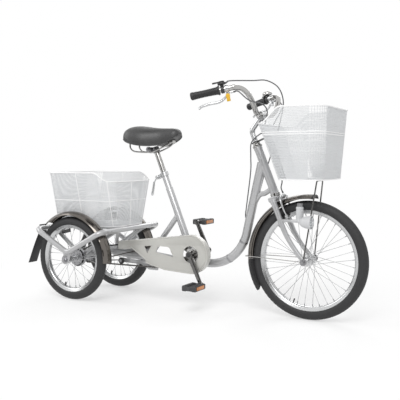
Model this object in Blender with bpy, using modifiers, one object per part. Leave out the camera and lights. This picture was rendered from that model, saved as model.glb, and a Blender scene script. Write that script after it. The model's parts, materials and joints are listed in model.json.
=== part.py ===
"""Adult tricycle with a leaning main frame: one small front wheel, two rear wheels in a loop frame.

Everything is drawn in a bench frame: x runs forward from the rear axle, y to the rider's left and z up
from the floor, in metres. The root empty then moves the model so that the origin lies under the middle
of its box.
"""
import math

import bmesh
import bpy
from mathutils import Matrix, Vector

# Clearances
GAP = 0.0003
RUNNING = 0.0005

# Wheels
WHEELBASE = 1.110
TRACK = 0.360
FRONT_TYRE_R = 0.2475
REAR_TYRE_R = 0.197
TYRE_W = 0.046
TYRE_H = 0.0385
RIM_W = TYRE_W * 0.63
RIM_H = 0.016
SPOKE_COUNT = 16
SPOKE_R = 0.0011
SPOKE_LEAN = math.radians(38)
FRONT_SEGMENTS = 28
REAR_SEGMENTS = 24
HUB_R = 0.013
HUB_FLANGE_R = 0.021
HUB_FLANGE_Y = 0.028
HUB_FLANGE_T = 0.003
HUB_HALF = 0.040
HUB_SIDES = 8
FRONT_AXLE_R = 0.005
FRONT_AXLE_HALF = 0.085
REAR_AXLE_R = 0.0075
NUT_T = 0.008
SIDE = Vector((0.0, 1.0, 0.0))
FRONT_AXLE = Vector((WHEELBASE, 0.0, FRONT_TYRE_R))
REAR_AXLE = Vector((0.0, 0.0, REAR_TYRE_R))

# Mudguards
FENDER_W = TYRE_W + 0.016
FENDER_T = 0.0012
FENDER_CROWN = 0.009
FRONT_FENDER_R = FRONT_TYRE_R + 0.0245
REAR_FENDER_R = REAR_TYRE_R + 0.025
FRONT_FENDER_ARC = (84.0, 183.0)
REAR_FENDER_ARC = (-2.0, 133.0)
FENDER_WIRE_R = 0.002

# Steering axis, which stands on the front wheel's mudguard and rake
HEAD_LEAN = math.radians(22.3)
HEAD_UP = Vector((-math.sin(HEAD_LEAN), 0.0, math.cos(HEAD_LEAN)))
HEAD_FORWARD = Vector((math.cos(HEAD_LEAN), 0.0, math.sin(HEAD_LEAN)))
FORK_REACH = FRONT_FENDER_R + 0.035
FORK_RAKE = 0.0383
HEAD_FOOT = FRONT_AXLE + HEAD_UP * FORK_REACH - HEAD_FORWARD * FORK_RAKE
HEAD_LENGTH = 0.210
HEAD_R = 0.0175
HEAD_CUP_R = 0.0205
HEAD_SKIRT = 0.004

# Main frame
MAIN_TUBE_R = 0.019
MAIN_TUBE_Z = 0.1985
MAIN_TUBE_BEND = 0.188
MAIN_TUBE_LEAN = math.radians(12.8)
MAIN_TUBE_CLEAR = 0.0062913
MAIN_TUBE_REACH = FRONT_FENDER_R + MAIN_TUBE_CLEAR + MAIN_TUBE_R
MAIN_TUBE_RISE = FRONT_AXLE.z - MAIN_TUBE_Z
MAIN_TUBE_BACK = MAIN_TUBE_REACH / math.cos(MAIN_TUBE_LEAN) + MAIN_TUBE_RISE * math.tan(MAIN_TUBE_LEAN)
MAIN_TUBE_CORNER_X = FRONT_AXLE.x - MAIN_TUBE_BACK
GUSSET_R = 0.011
CRANK_X = 0.588
CRANK_Z = MAIN_TUBE_Z + 0.0435
CRANK_AXIS = Vector((CRANK_X, 0.0, CRANK_Z))
BRACKET_SHELL_R = 0.0258
BRACKET_SHELL_HALF = 0.034
BRACKET_WALL = 0.006
CRANK_AXLE_R = 0.0085

# Seat tube, post and saddle
SEAT_LEAN = math.radians(22.2)
SEAT_UP = Vector((-math.sin(SEAT_LEAN), 0.0, math.cos(SEAT_LEAN)))
SEAT_TUBE_FOOT_X = CRANK_X - 0.0215
SEAT_TUBE_R = 0.016
SEAT_TUBE_Z = MAIN_TUBE_Z + 0.3365
SEAT_SLEEVE_R = 0.0145
SEAT_SLEEVE_Z = SEAT_TUBE_Z + 0.071
SEAT_POST_R = 0.0127
SEAT_POST_Z = SEAT_SLEEVE_Z + 0.116
STAY_R = 0.0125
STAY_TOP_Z = SEAT_TUBE_Z - 0.125
CLAMP_BOLT_R = 0.0035
CLAMP_LEVER_R = 0.0042
RAIL_WIRE_R = 0.0035
RAIL_BAR_R = 0.009
RAIL_SIDE = 0.024
RAIL_NOSE_SHARE = 0.859
SADDLE_LENGTH = 0.276
SADDLE_W = 0.205
SADDLE_FLOOR_Z = SEAT_POST_Z + 0.030
SADDLE_TOP_Z = SADDLE_FLOOR_Z + 0.068
SADDLE_BEHIND_POST = 0.140
SADDLE_SECTIONS = (
    # share of the length from the back, share of the width, drop of the top, skirt above the floor
    (0.00, 0.46, 0.030, 0.016),
    (0.06, 0.80, 0.010, 0.005),
    (0.16, 0.98, 0.001, -0.008),
    (0.30, 1.00, 0.000, -0.019),
    (0.44, 0.90, 0.005, -0.025),
    (0.57, 0.70, 0.009, -0.026),
    (0.69, 0.52, 0.011, -0.022),
    (0.81, 0.42, 0.012, -0.011),
    (0.92, 0.37, 0.014, 0.004),
    (1.00, 0.20, 0.028, 0.020),
)

# Lean pivot between the main frame and the rear frame
SWING_Z = MAIN_TUBE_Z + 0.0165
SWING_HOUSING_R = 0.030
SWING_HOUSING_X0 = 0.200
SWING_HOUSING_X1 = 0.345
SWING_WALL = 0.004
SWING_SHAFT_R = SWING_HOUSING_R - SWING_WALL - RUNNING
SWING_BLOCK_R = 0.024
SWING_BLOCK_X0 = 0.115

# Fork
STEERER_R = 0.0127
CROWN_D0 = 0.0105
CROWN_D1 = 0.030
CROWN_DEPTH = 0.034
FORK_LEG_R = 0.0125
FORK_TIP_R = 0.0085
FORK_CROWN_Y = TYRE_W / 2 + 0.023
FORK_TIP_Y = HUB_HALF + 0.012
FORK_STRAIGHT = 0.130
FORK_TIP_PAST_AXLE = 0.010
FORK_STEPS = 8

# Front brake, hung on a bolt through the fork's crown
CALIPER_D = (CROWN_D0 + CROWN_D1) / 2
CALIPER_BOLT_R = 0.003
CALIPER_EYES = {-1: 0.0250, 1: 0.0325}
CALIPER_EYE_T = 0.005
CALIPER_ARM_R = 0.0042
CALIPER_ARM_Y = TYRE_W / 2 + 0.0195
CALIPER_ARM_FORWARD = 0.0285
SHOE_D = FORK_REACH - (FRONT_TYRE_R - TYRE_H) + 0.0098
SHOE_T = 0.011

# Stem and bar
STEM_R = 0.0110
STEM_BEND_UP = HEAD_LENGTH + 0.080
BAR_CLAMP = HEAD_FOOT + HEAD_UP * (HEAD_LENGTH + 0.1198) + HEAD_FORWARD * 0.0683
BAR_CLAMP_R = 0.0175
BAR_CLAMP_HALF = 0.023
BAR_R = 0.0111
BAR_SIDES = 8
BAR_BENDS = (
    # offsets from the clamp along the left half of the bar
    Vector((0.0, 0.028, 0.0)),
    Vector((0.0015, 0.044, 0.001)),
    Vector((0.010, 0.085, 0.009)),
    Vector((0.015, 0.122, 0.038)),
    Vector((0.009, 0.155, 0.074)),
    Vector((-0.007, 0.187, 0.097)),
)
BAR_STRAIGHT = Vector((-0.0320, 0.2141, 0.0994))
BAR_BARE = 0.052
GRIP_R = 0.0160
GRIP_LENGTH = 0.118
GRIP_RIBS = 3
GRIP_DIR = Vector((-0.9176, 0.3464, -0.1966)).normalized()
GRIP_END = BAR_CLAMP + BAR_STRAIGHT + GRIP_DIR * (GRIP_LENGTH + BAR_BARE)
CLAMP_HALF = 0.0065
CLAMP_WALL = 0.004

# Hand controls, placed by how far they stand back from the bar's end
LEVER_BACK = GRIP_LENGTH + 0.027
LEVER_DROP = 0.0285
LEVER_R = 0.0052
LEVER_PIN_R = 0.0028
PERCH_T = 0.014
PERCH_BARREL = 0.022
SHIFT_BACK = GRIP_LENGTH + 0.010
SHIFT_POD_R = 0.0165
SHIFT_POD_TOP = BAR_R + 0.0170
BELL_BACK = GRIP_LENGTH + 0.010
BELL_R = 0.0225
BELL_FOOT_R = 0.006

# Bottle dynamo with its lamp, beside the front tyre
DYNAMO_AT = FRONT_AXLE + Vector((-0.024, -TYRE_W / 2 - 0.0245, FRONT_TYRE_R - 0.055))
DYNAMO_R = 0.0155
DYNAMO_HALF = 0.032
DYNAMO_NECK_R = 0.0035
LAMP_AT = DYNAMO_AT + Vector((0.042, -0.034, -0.028))
LAMP_R = 0.027
LAMP_PIN = DYNAMO_AT + Vector((-0.034, 0.0, -0.028))

# Crank drive
CRANK_LENGTH = 0.140
CRANK_ANGLE = math.radians(-65.5)
PITCH = 0.0127
CHAINRING_TEETH = 33
SPROCKET_TEETH = 16
CHAIN_Y = -0.060
CHAIN_T = 0.0066
CHAIN_INNER = 0.0019
CHAIN_OUTER = 0.0066
CHAINRING_STEPS = 18
SPROCKET_STEPS = 10
TOOTH_ROOT = 0.0042
TOOTH_TIP = 0.0014
PLATE_T = 0.0022
BOSS_R = 0.0165
CRANK_ARM_R = 0.0125
CRANK_ARM_Y = 0.0265 - CHAIN_Y
CRANK_ARM_T = 0.013
SPINDLE_R = 0.0052
PEDAL_Y = CRANK_ARM_Y + 0.0615
PEDAL_LENGTH = 0.096
PEDAL_WIDTH = 0.066
PEDAL_T = 0.024
PEDAL_TREAD = 0.019
PEDAL_BRIDGE = 0.009
PEDAL_BARREL = 0.0105
PULLEY_X = SWING_HOUSING_X0 - 0.002
PULLEY_R = 0.0165
PULLEY_PIN_R = 0.004
TENSION_Y0 = CHAIN_Y + 0.0155
TENSION_Y1 = CHAIN_Y + 0.0185

# Chain case
CASE_MARGIN = 0.0192
CASE_OUT_Y = CHAIN_Y - 0.0155
CASE_IN_Y = CHAIN_Y + 0.014
CASE_WALL = 0.0015
CASE_TAIL_X = CRANK_X - 0.398
CASE_LOW_X = CRANK_X - 0.241
CASE_TAIL_HALF = 0.017
CASE_HOLE_R = 0.039
CASE_TAB_R = 0.0045

# Rear frame: the loop tube stands off the rear mudguards
LOOP_R = 0.0125
LOOP_Y = TRACK / 2 + 0.062
LOOP_FRONT_X = REAR_FENDER_R * 0.9505
LOOP_REAR_X = -REAR_FENDER_R * 0.7658
LOOP_Z = REAR_AXLE.z + REAR_FENDER_R * 0.6171
LOOP_DIP_X = 0.021
LOOP_DIP_Z = REAR_AXLE.z + 0.035
LOOP_BEND = 0.034
INNER_Y = TRACK / 2 - 0.062
INNER_R = 0.010
INNER_BEND = 0.040
BEARING_R = 0.021
BEARING_T = 0.022
RAIL_R = 0.007
RAIL_Y = TRACK / 2 - 0.100
STRUT_R = 0.008
STRUT_TOP_Y = 0.040 - CHAIN_Y
PLATE_Y = TRACK / 2 + 0.0485
PLATE_WALL = 0.005
DRUM_R = 0.038
DRUM_Y0 = TRACK / 2 - 0.0325
DRUM_Y1 = TRACK / 2 - 0.046

# Rubber flaps
FLAP_W = FENDER_W - 0.004
FLAP_T = 0.003
FRONT_FLAP_END = 213.0
REAR_FLAP_TIP = Vector((LOOP_REAR_X - 0.088, 0.0, LOOP_Z - 0.176))

# Baskets: floor and rim loops, the band's share of the height, and the drop of the low side's rim
WIRE = 0.0042
STAY_WIRE_R = 0.003
FRONT_BASKET_Z0 = HEAD_FOOT.z + 0.066
FRONT_BASKET_H = HEAD_LENGTH + 0.075
FRONT_BASKET_DIP = 0.062
FRONT_BASKET_X0 = HEAD_FOOT.x + 0.060
FRONT_BASKET_X1 = HEAD_FOOT.x + 0.247
FRONT_BASKET_BACK_LEAN = 0.341
FRONT_BASKET_FRONT_LEAN = 0.060
FRONT_BASKET_HALF = 0.152
FRONT_BASKET_FLARE = 0.030
FRONT_BASKET_BAND = 0.64
BASKET_STAY_X = FRONT_BASKET_X1 - 0.052
REAR_BASKET_H = 0.253
REAR_BASKET_DIP = 0.042
REAR_BASKET_HALF = TRACK / 2 - 0.052
REAR_BASKET_FLARE = 0.060
REAR_BASKET_BAND = 0.48
RIM_DIP_RUN = 0.085

# Ends of the stays, stacked on the front axle from the fork outwards
STAY_EYE_0 = FORK_TIP_Y + FORK_TIP_R + GAP
STAY_EYE_1 = STAY_EYE_0 + 2 * FENDER_WIRE_R + 0.0004
STAY_EYE_2 = STAY_EYE_1 + GAP + 2 * STAY_WIRE_R + 0.0004

# Cables
CABLE_R = 0.0025

# The root empty moves the model's middle to the origin
BOX_MID_X = (WHEELBASE + FRONT_TYRE_R + REAR_FLAP_TIP.x) / 2.0

# Colour, roughness and metallic value of each finish
FINISHES = {
    "silver_paint": ((0.62, 0.63, 0.64), 0.35, 0.5),
    "champagne_paint": ((0.55, 0.53, 0.50), 0.40, 0.4),
    "chrome": ((0.75, 0.75, 0.76), 0.15, 1.0),
    "steel": ((0.45, 0.45, 0.46), 0.35, 1.0),
    "aluminium": ((0.72, 0.73, 0.74), 0.30, 1.0),
    "tyre_rubber": ((0.03, 0.03, 0.03), 0.75, 0.0),
    "black_plastic": ((0.03, 0.03, 0.03), 0.55, 0.0),
    "grey_plastic": ((0.60, 0.61, 0.62), 0.45, 0.0),
    "yellow_plastic": ((0.80, 0.55, 0.08), 0.45, 0.0),
    "white_wire": ((0.86, 0.87, 0.88), 0.45, 0.0),
    "saddle_vinyl": ((0.08, 0.08, 0.09), 0.55, 0.0),
}


def collection(name):
    """Make a collection in the scene."""
    made = bpy.data.collections.new(name)
    bpy.context.scene.collection.children.link(made)
    return made


def finish_material(name):
    """Make or fetch the material of a named finish."""
    found = bpy.data.materials.get(name)
    if found:
        return found
    colour, roughness, metallic = FINISHES[name]
    made = bpy.data.materials.new(name)
    made.use_nodes = True
    shader = made.node_tree.nodes["Principled BSDF"]
    shader.inputs["Base Color"].default_value = (*colour, 1.0)
    shader.inputs["Roughness"].default_value = roughness
    shader.inputs["Metallic"].default_value = metallic
    return made


def baked(source):
    """Replace an object by a plain welded mesh object of what it evaluates to."""
    graph = bpy.context.evaluated_depsgraph_get()
    mesh = bpy.data.meshes.new_from_object(source.evaluated_get(graph))
    bpy.data.objects.remove(source)
    work = bmesh.new()
    work.from_mesh(mesh)
    bmesh.ops.remove_doubles(work, verts=work.verts, dist=1e-6)
    bmesh.ops.recalc_face_normals(work, faces=work.faces)
    work.to_mesh(mesh)
    work.free()
    made = bpy.data.objects.new("work", mesh)
    bpy.context.scene.collection.objects.link(made)
    return made


def from_bmesh(work):
    """Turn a bmesh into a scene object."""
    bmesh.ops.recalc_face_normals(work, faces=work.faces)
    mesh = bpy.data.meshes.new("work")
    work.to_mesh(mesh)
    work.free()
    made = bpy.data.objects.new("work", mesh)
    bpy.context.scene.collection.objects.link(made)
    return made


def moved(obj, matrix):
    """Move an object's mesh."""
    obj.data.transform(matrix)
    if matrix.determinant() < 0:
        obj.data.flip_normals()
    return obj


def copied(obj, matrix):
    """Copy an object with its mesh moved."""
    made = bpy.data.objects.new("work", obj.data.copy())
    bpy.context.scene.collection.objects.link(made)
    return moved(made, matrix)


MIRROR_Y = Matrix.Diagonal((1.0, -1.0, 1.0, 1.0))


def boolean(target, other, operation):
    """Combine two closed objects into the first and remove the second."""
    modifier = target.modifiers.new("boolean", "BOOLEAN")
    modifier.operation = operation
    modifier.object = other
    graph = bpy.context.evaluated_depsgraph_get()
    mesh = bpy.data.meshes.new_from_object(target.evaluated_get(graph))
    target.modifiers.clear()
    target.data = mesh
    bpy.data.objects.remove(other)
    return target


def union(target, *others):
    """Weld closed objects into the first one."""
    for other in others:
        boolean(target, other, "UNION")
    return target


def cut(target, *cutters):
    """Take closed cutters out of an object."""
    for cutter in cutters:
        boolean(target, cutter, "DIFFERENCE")
    return target


def merged(objects):
    """Join objects that don't touch into one, as one operand for a Boolean."""
    work = bmesh.new()
    for obj in objects:
        work.from_mesh(obj.data)
        bpy.data.objects.remove(obj)
    return from_bmesh(work)


def tube(path, radius, sides=8, closed=False, taper=None):
    """A round tube along points, with flat filled ends."""
    curve = bpy.data.curves.new("tube", "CURVE")
    curve.dimensions = "3D"
    curve.bevel_depth = radius
    curve.bevel_resolution = (sides - 4) // 2
    curve.use_fill_caps = not closed
    spline = curve.splines.new("POLY")
    spline.points.add(len(path) - 1)
    for index, point in enumerate(path):
        spline.points[index].co = (*point, 1.0)
        spline.points[index].radius = taper[index] if taper else 1.0
    spline.use_cyclic_u = closed
    obj = bpy.data.objects.new("tube", curve)
    bpy.context.scene.collection.objects.link(obj)
    return baked(obj)


def rod(start, end, radius, sides=16, end_radius=None):
    """A straight cylinder or cone between two points."""
    start = Vector(start)
    end = Vector(end)
    along = end - start
    work = bmesh.new()
    bmesh.ops.create_cone(
        work, cap_ends=True, segments=sides, radius1=radius,
        radius2=radius if end_radius is None else end_radius, depth=along.length,
    )
    turn = along.to_track_quat("Z", "Y").to_matrix().to_4x4()
    bmesh.ops.transform(work, matrix=Matrix.Translation((start + end) / 2) @ turn, verts=work.verts)
    return from_bmesh(work)


def drill(start, end, radius, sides=14):
    """A cutter whose flats, not its corners, lie on the radius."""
    return rod(start, end, radius / math.cos(math.pi / sides), sides)


def block(size, centre, axes=None, bevel=0.0):
    """A box, with its edges bevelled where asked, along its own axes."""
    work = bmesh.new()
    bmesh.ops.create_cube(work, size=1.0)
    bmesh.ops.scale(work, vec=size, verts=work.verts)
    if bevel:
        bmesh.ops.bevel(work, geom=work.edges[:], offset=bevel, segments=1, affect="EDGES")
    place = Matrix.Translation(centre)
    if axes:
        place = place @ Matrix((axes[0], axes[1], axes[2])).transposed().to_4x4()
    bmesh.ops.transform(work, matrix=place, verts=work.verts)
    return from_bmesh(work)


def turned(profile, steps, centre, axis, closed=False):
    """A turned shape: (radius, height) points run round an axis through a centre."""
    mesh = bpy.data.meshes.new("profile")
    count = len(profile)
    edges = [(i, i + 1) for i in range(count - 1)]
    if closed:
        edges.append((count - 1, 0))
    mesh.from_pydata([(radius, 0.0, height) for radius, height in profile], edges, [])
    obj = bpy.data.objects.new("profile", mesh)
    bpy.context.scene.collection.objects.link(obj)
    screw = obj.modifiers.new("screw", "SCREW")
    screw.steps = steps
    screw.render_steps = steps
    screw.use_merge_vertices = True
    screw.merge_threshold = 1e-5
    made = baked(obj)
    half_step = Matrix.Rotation(math.pi / steps, 4, "Z")
    turn = Vector(axis).to_track_quat("Z", "Y").to_matrix().to_4x4()
    return moved(made, Matrix.Translation(centre) @ turn @ half_step)


def ring(inner, outer, start, end, steps=16):
    """A plain bush or washer between two points on its axis."""
    start = Vector(start)
    end = Vector(end)
    half = (end - start).length / 2
    inner = inner / math.cos(math.pi / steps)
    profile = [(outer, half), (outer, -half), (inner, -half), (inner, half)]
    return turned(profile, steps, (start + end) / 2, end - start, closed=True)


def plate(outline, thickness, holes=()):
    """A flat plate from a 2D outline and holes, on the XY plane."""
    curve = bpy.data.curves.new("plate", "CURVE")
    curve.dimensions = "2D"
    curve.fill_mode = "BOTH"
    curve.extrude = thickness / 2
    for points in (outline, *holes):
        spline = curve.splines.new("POLY")
        spline.points.add(len(points) - 1)
        for index, (u, v) in enumerate(points):
            spline.points[index].co = (u, v, 0.0, 1.0)
        spline.use_cyclic_u = True
    obj = bpy.data.objects.new("plate", curve)
    bpy.context.scene.collection.objects.link(obj)
    return baked(obj)


def side_plate(outline, y0, y1, holes=()):
    """A plate drawn in side view, (x, z), between two y values."""
    made = plate(outline, abs(y1 - y0), holes)
    upright = Matrix.Rotation(math.radians(90), 4, "X")
    return moved(made, Matrix.Translation((0.0, (y0 + y1) / 2, 0.0)) @ upright)


def arc(centre, radius, start, end, steps):
    """Points on an arc, with angles in degrees."""
    points = []
    for index in range(steps + 1):
        angle = math.radians(start + (end - start) * index / steps)
        points.append((centre[0] + radius * math.cos(angle), centre[1] + radius * math.sin(angle)))
    return points


def bent(points, radius, closed=False, steps=5):
    """A path of straight runs with round bends at its inner points."""
    points = [Vector(point) for point in points]
    count = len(points)
    path = [] if closed else [points[0]]
    for index in range(0 if closed else 1, count if closed else count - 1):
        corner = points[index]
        before = (points[index - 1] - corner).normalized()
        after = (points[(index + 1) % count] - corner).normalized()
        half = before.angle(after) / 2
        reach = radius / math.tan(half)
        middle = corner + (before + after).normalized() * (radius / math.sin(half))
        first = (corner + before * reach - middle).normalized()
        last = (corner + after * reach - middle).normalized()
        for step in range(steps + 1):
            path.append(middle + first.slerp(last, step / steps) * radius)
    if not closed:
        path.append(points[-1])
    return path


def smooth(points, steps=4):
    """A smooth curve through points chosen by hand."""
    points = [Vector(point) for point in points]
    ends = [2 * points[0] - points[1], *points, 2 * points[-1] - points[-2]]
    path = []
    for index in range(1, len(ends) - 2):
        a, b, c, d = ends[index - 1:index + 3]
        for step in range(steps):
            t = step / steps
            path.append(0.5 * (2 * b + (c - a) * t + (2 * a - 5 * b + 4 * c - d) * t * t
                               + (3 * b - a - 3 * c + d) * t ** 3))
    path.append(points[-1])
    return path


class Model:
    """The collections, the root empty and the empties that the moving groups hang on."""

    def __init__(self):
        self.parts = collection("adult_tricycle")
        self.root = bpy.data.objects.new("tricycle", None)
        self.root.location = (-BOX_MID_X, 0.0, 0.0)
        self.parts.objects.link(self.root)
        self.bodies = {}

    def body(self, name, anchor):
        """An empty on a joint's axis."""
        empty = bpy.data.objects.new(name + "_axis", None)
        empty.location = anchor
        empty.parent = self.root
        self.parts.objects.link(empty)
        self.bodies[name] = empty

    def add(self, obj, name, body, finish):
        """Name a finished piece, give it its material and hang it on its body."""
        empty = self.bodies[body]
        obj.name = name
        obj.data.name = name
        obj.data.transform(Matrix.Translation(-empty.location))
        obj.data.materials.clear()
        obj.data.materials.append(finish_material(finish))
        obj.data.shade_smooth()
        obj.data.set_sharp_from_angle(angle=math.radians(35))
        bpy.context.scene.collection.objects.unlink(obj)
        self.parts.objects.link(obj)
        obj.parent = empty


# Points on the main axes

def head_point(up, forward=0.0, side=0.0):
    """A point up the steering axis from the foot of the head tube."""
    return HEAD_FOOT + HEAD_UP * up + HEAD_FORWARD * forward + SIDE * side


def seat_point(z):
    """The point at a height on the seat tube's axis."""
    return Vector((SEAT_TUBE_FOOT_X, 0.0, MAIN_TUBE_Z)) + SEAT_UP * ((z - MAIN_TUBE_Z) / SEAT_UP.z)


def crossing(start, along, other_start, other_along):
    """How far along one line in the side view it meets another."""
    gap = Vector(other_start) - Vector(start)
    turn = along[0] * other_along[2] - along[2] * other_along[0]
    return (gap.x * other_along[2] - gap.z * other_along[0]) / turn


def bar_point(back, side, down=0.0):
    """A point back along the straight end of the bar, from its tip, on one side (1 left, -1 right)."""
    point = GRIP_END - GRIP_DIR * back
    return Vector((point.x, side * point.y, point.z - down))


def pitch_radius(teeth):
    """Pitch radius of a chain wheel."""
    return PITCH / (2 * math.sin(math.pi / teeth))


# Wheels

def tyre(centre, radius, segments):
    """A round tyre section, open towards the rim, with a flat facet on the floor."""
    section = TYRE_W / 2
    middle = radius - section
    seat = radius - TYRE_H + GAP
    open_angle = math.acos((middle - seat) / section)
    profile = []
    reach = 1 / math.cos(math.pi / segments)
    for index in range(7):
        angle = (math.pi - open_angle) * (1 - index / 3)
        profile.append(((middle + section * math.cos(angle)) * reach, section * math.sin(angle)))
    return turned(profile, segments, centre, SIDE, closed=True)


def wheel(centre, radius, segments, bore, drum=0.0):
    """Rim, spokes and hub, laced into one piece; drum is a brake drum's side, 1 left or -1 right."""
    rim_r = (radius - TYRE_H) / math.cos(math.pi / segments)
    half = RIM_W / 2
    rim = turned(
        [(rim_r, half), (rim_r, -half), (rim_r - RIM_H, -half * 0.6), (rim_r - RIM_H, half * 0.6)],
        segments, centre, SIDE, closed=True,
    )
    bore = bore / math.cos(math.pi / HUB_SIDES)
    outer = HUB_FLANGE_Y + HUB_FLANGE_T / 2
    inner = HUB_FLANGE_Y - HUB_FLANGE_T / 2
    side = [(bore, HUB_HALF), (HUB_R, HUB_HALF), (HUB_R, outer), (HUB_FLANGE_R, outer),
            (HUB_FLANGE_R, inner), (HUB_R, inner)]
    profile = side + [(r, -y) for r, y in reversed(side)]
    hub = turned(profile, HUB_SIDES, centre, SIDE, closed=True)
    spokes = []
    per_side = SPOKE_COUNT // 2
    for sign in (1, -1):
        for index in range(per_side):
            at_rim = 2 * math.pi * (index + (0.5 if sign > 0 else 0.0)) / per_side
            at_hub = at_rim - sign * SPOKE_LEAN
            foot = Vector((math.cos(at_hub), 0.0, math.sin(at_hub))) * (HUB_FLANGE_R - 0.003)
            head = Vector((math.cos(at_rim), 0.0, math.sin(at_rim))) * (rim_r - RIM_H + 0.002)
            run = [centre + foot + SIDE * sign * HUB_FLANGE_Y, centre + head + SIDE * sign * 0.003]
            spokes.append(tube(run, SPOKE_R, sides=4))
    laced = union(hub, merged(spokes), rim)
    if drum:
        start = centre + SIDE * drum * (HUB_HALF - 0.002 - (DRUM_Y0 - DRUM_Y1))
        end = centre + SIDE * drum * (TRACK / 2 - DRUM_Y1)
        laced = union(laced, ring(bore + 0.001, DRUM_R, start, end, 12))
    return laced


def front_axle():
    """The front axle with its two nuts."""
    half = SIDE * FRONT_AXLE_HALF
    axle = rod(FRONT_AXLE - half, FRONT_AXLE + half, FRONT_AXLE_R, 10)
    for sign in (1, -1):
        near = FRONT_AXLE + SIDE * sign * (STAY_EYE_2 + GAP)
        axle = union(axle, rod(near, near + SIDE * sign * NUT_T, FRONT_AXLE_R * 1.9, 6))
    return axle


def rear_axle():
    """The rear axle, right across, with a nut outside each guard plate."""
    half = SIDE * (PLATE_Y + 0.018)
    axle = rod(REAR_AXLE - half, REAR_AXLE + half, REAR_AXLE_R, 10)
    for sign in (1, -1):
        near = REAR_AXLE + SIDE * sign * (PLATE_Y + PLATE_WALL + GAP)
        axle = union(axle, rod(near, near + SIDE * sign * NUT_T, REAR_AXLE_R * 1.8, 6))
    return axle


# Main frame

def main_tube_lean():
    """Direction of the main tube's rising part."""
    return Vector((math.sin(MAIN_TUBE_LEAN), 0.0, math.cos(MAIN_TUBE_LEAN)))


def main_tube_corner():
    """Where the lines of the main tube's two straight parts would meet."""
    return Vector((MAIN_TUBE_CORNER_X, 0.0, MAIN_TUBE_Z))


def main_tube_at(z):
    """The point at a height on the main tube's rising part."""
    return main_tube_corner() + main_tube_lean() * ((z - MAIN_TUBE_Z) / math.cos(MAIN_TUBE_LEAN))


def main_tube_path():
    """The low step-through tube, from the lean pivot forward and up to the head tube."""
    corner = main_tube_corner()
    lean = main_tube_lean()
    rear = Vector((SWING_HOUSING_X1 - 0.012, 0.0, SWING_Z - 0.003))
    level = Vector((CRANK_X - 0.118, 0.0, MAIN_TUBE_Z))
    rise = crossing(corner, lean, HEAD_FOOT, HEAD_UP) - HEAD_R * 0.7
    return bent([rear, level, corner, corner + lean * rise], MAIN_TUBE_BEND, steps=6)


def case_tabs():
    """Where the two tabs hold the chain case: on the seat tube and on the stay behind it."""
    front_x = seat_point(CRANK_Z + case_r() - 0.0135).x
    foot = stay_foot()
    along = seat_point(STAY_TOP_Z) - foot
    tail = Vector((CASE_TAIL_X, 0.0, case_top(CASE_TAIL_X)))
    edge = Vector((front_x, 0.0, case_top(front_x))) - tail
    rear_x = foot.x + along.x * crossing(foot, along, tail, edge)
    return [Vector((x, 0.0, case_top(x) - CASE_WALL)) for x in (front_x, rear_x)]


def stay_foot():
    """Where the stay behind the seat tube meets the pivot's housing."""
    return Vector((SWING_HOUSING_X1 - 0.012, 0.0, SWING_Z + 0.006))


def main_frame():
    """All the welded tubes of the front half, with the bores that its bearings need."""
    tubes = tube(main_tube_path(), MAIN_TUBE_R, 12)
    low = main_tube_at(HEAD_FOOT.z - 0.008)
    gusset = smooth([head_point(0.028), head_point(0.020, -0.040), low + Vector((0.020, 0.0, 0.0)),
                     main_tube_at(low.z - 0.0546)], 3)
    head = rod(head_point(HEAD_SKIRT), head_point(HEAD_LENGTH + HEAD_SKIRT), HEAD_R, 14)
    lower_cup = rod(head_point(RUNNING - CROWN_D0), head_point(0.010), HEAD_CUP_R, 14)
    seat_tube = rod(seat_point(MAIN_TUBE_Z), seat_point(SEAT_TUBE_Z), SEAT_TUBE_R, 12)
    sleeve = rod(seat_point(SEAT_TUBE_Z - 0.03), seat_point(SEAT_SLEEVE_Z), SEAT_SLEEVE_R, 12)
    stay = rod(seat_point(STAY_TOP_Z), stay_foot(), STAY_R, 10)
    half = SIDE * BRACKET_SHELL_HALF
    shell = rod(CRANK_AXIS - half, CRANK_AXIS + half, BRACKET_SHELL_R, 14)
    swing = rod((SWING_HOUSING_X0, 0, SWING_Z), (SWING_HOUSING_X1, 0, SWING_Z), SWING_HOUSING_R, 14)
    frame = union(tubes, tube(gusset, GUSSET_R, 8), head, lower_cup, seat_tube, sleeve, stay, shell, swing)
    for tab in case_tabs():
        frame = union(frame, rod(tab - SIDE * 0.004, tab + SIDE * (CASE_IN_Y + GAP), CASE_TAB_R, 8))
    frame = union(frame, tension_bracket())
    swing_bore = (SWING_HOUSING_X1 - 0.030, 0, SWING_Z)
    return cut(
        frame,
        drill(head_point(-0.02), head_point(HEAD_LENGTH + 0.03), STEERER_R + 0.0012),
        drill(seat_point(SEAT_TUBE_Z - 0.16), seat_point(SEAT_SLEEVE_Z + 0.02), SEAT_POST_R + RUNNING, 12),
        drill(CRANK_AXIS - half * 1.2, CRANK_AXIS + half * 1.2, BRACKET_SHELL_R - BRACKET_WALL),
        drill((SWING_HOUSING_X0 - 0.01, 0, SWING_Z), swing_bore, SWING_HOUSING_R - SWING_WALL),
    )


def bottom_bracket():
    """The bearing sleeve inside the bottom bracket shell."""
    half = SIDE * (BRACKET_SHELL_HALF - 0.001)
    outer = BRACKET_SHELL_R - BRACKET_WALL - GAP
    return ring(CRANK_AXLE_R + GAP, outer, CRANK_AXIS - half, CRANK_AXIS + half, 12)


# Chain case: a pressed cover with its rim turned in towards the frame

def case_r():
    """Radius of the case's round end."""
    return pitch_radius(CHAINRING_TEETH) + CASE_MARGIN


def case_tail(side):
    """Height of the case's tail, above (1) or below (-1) the chain's upper run."""
    return chain_run_z(CASE_TAIL_X, 1) + side * CASE_TAIL_HALF


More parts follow.
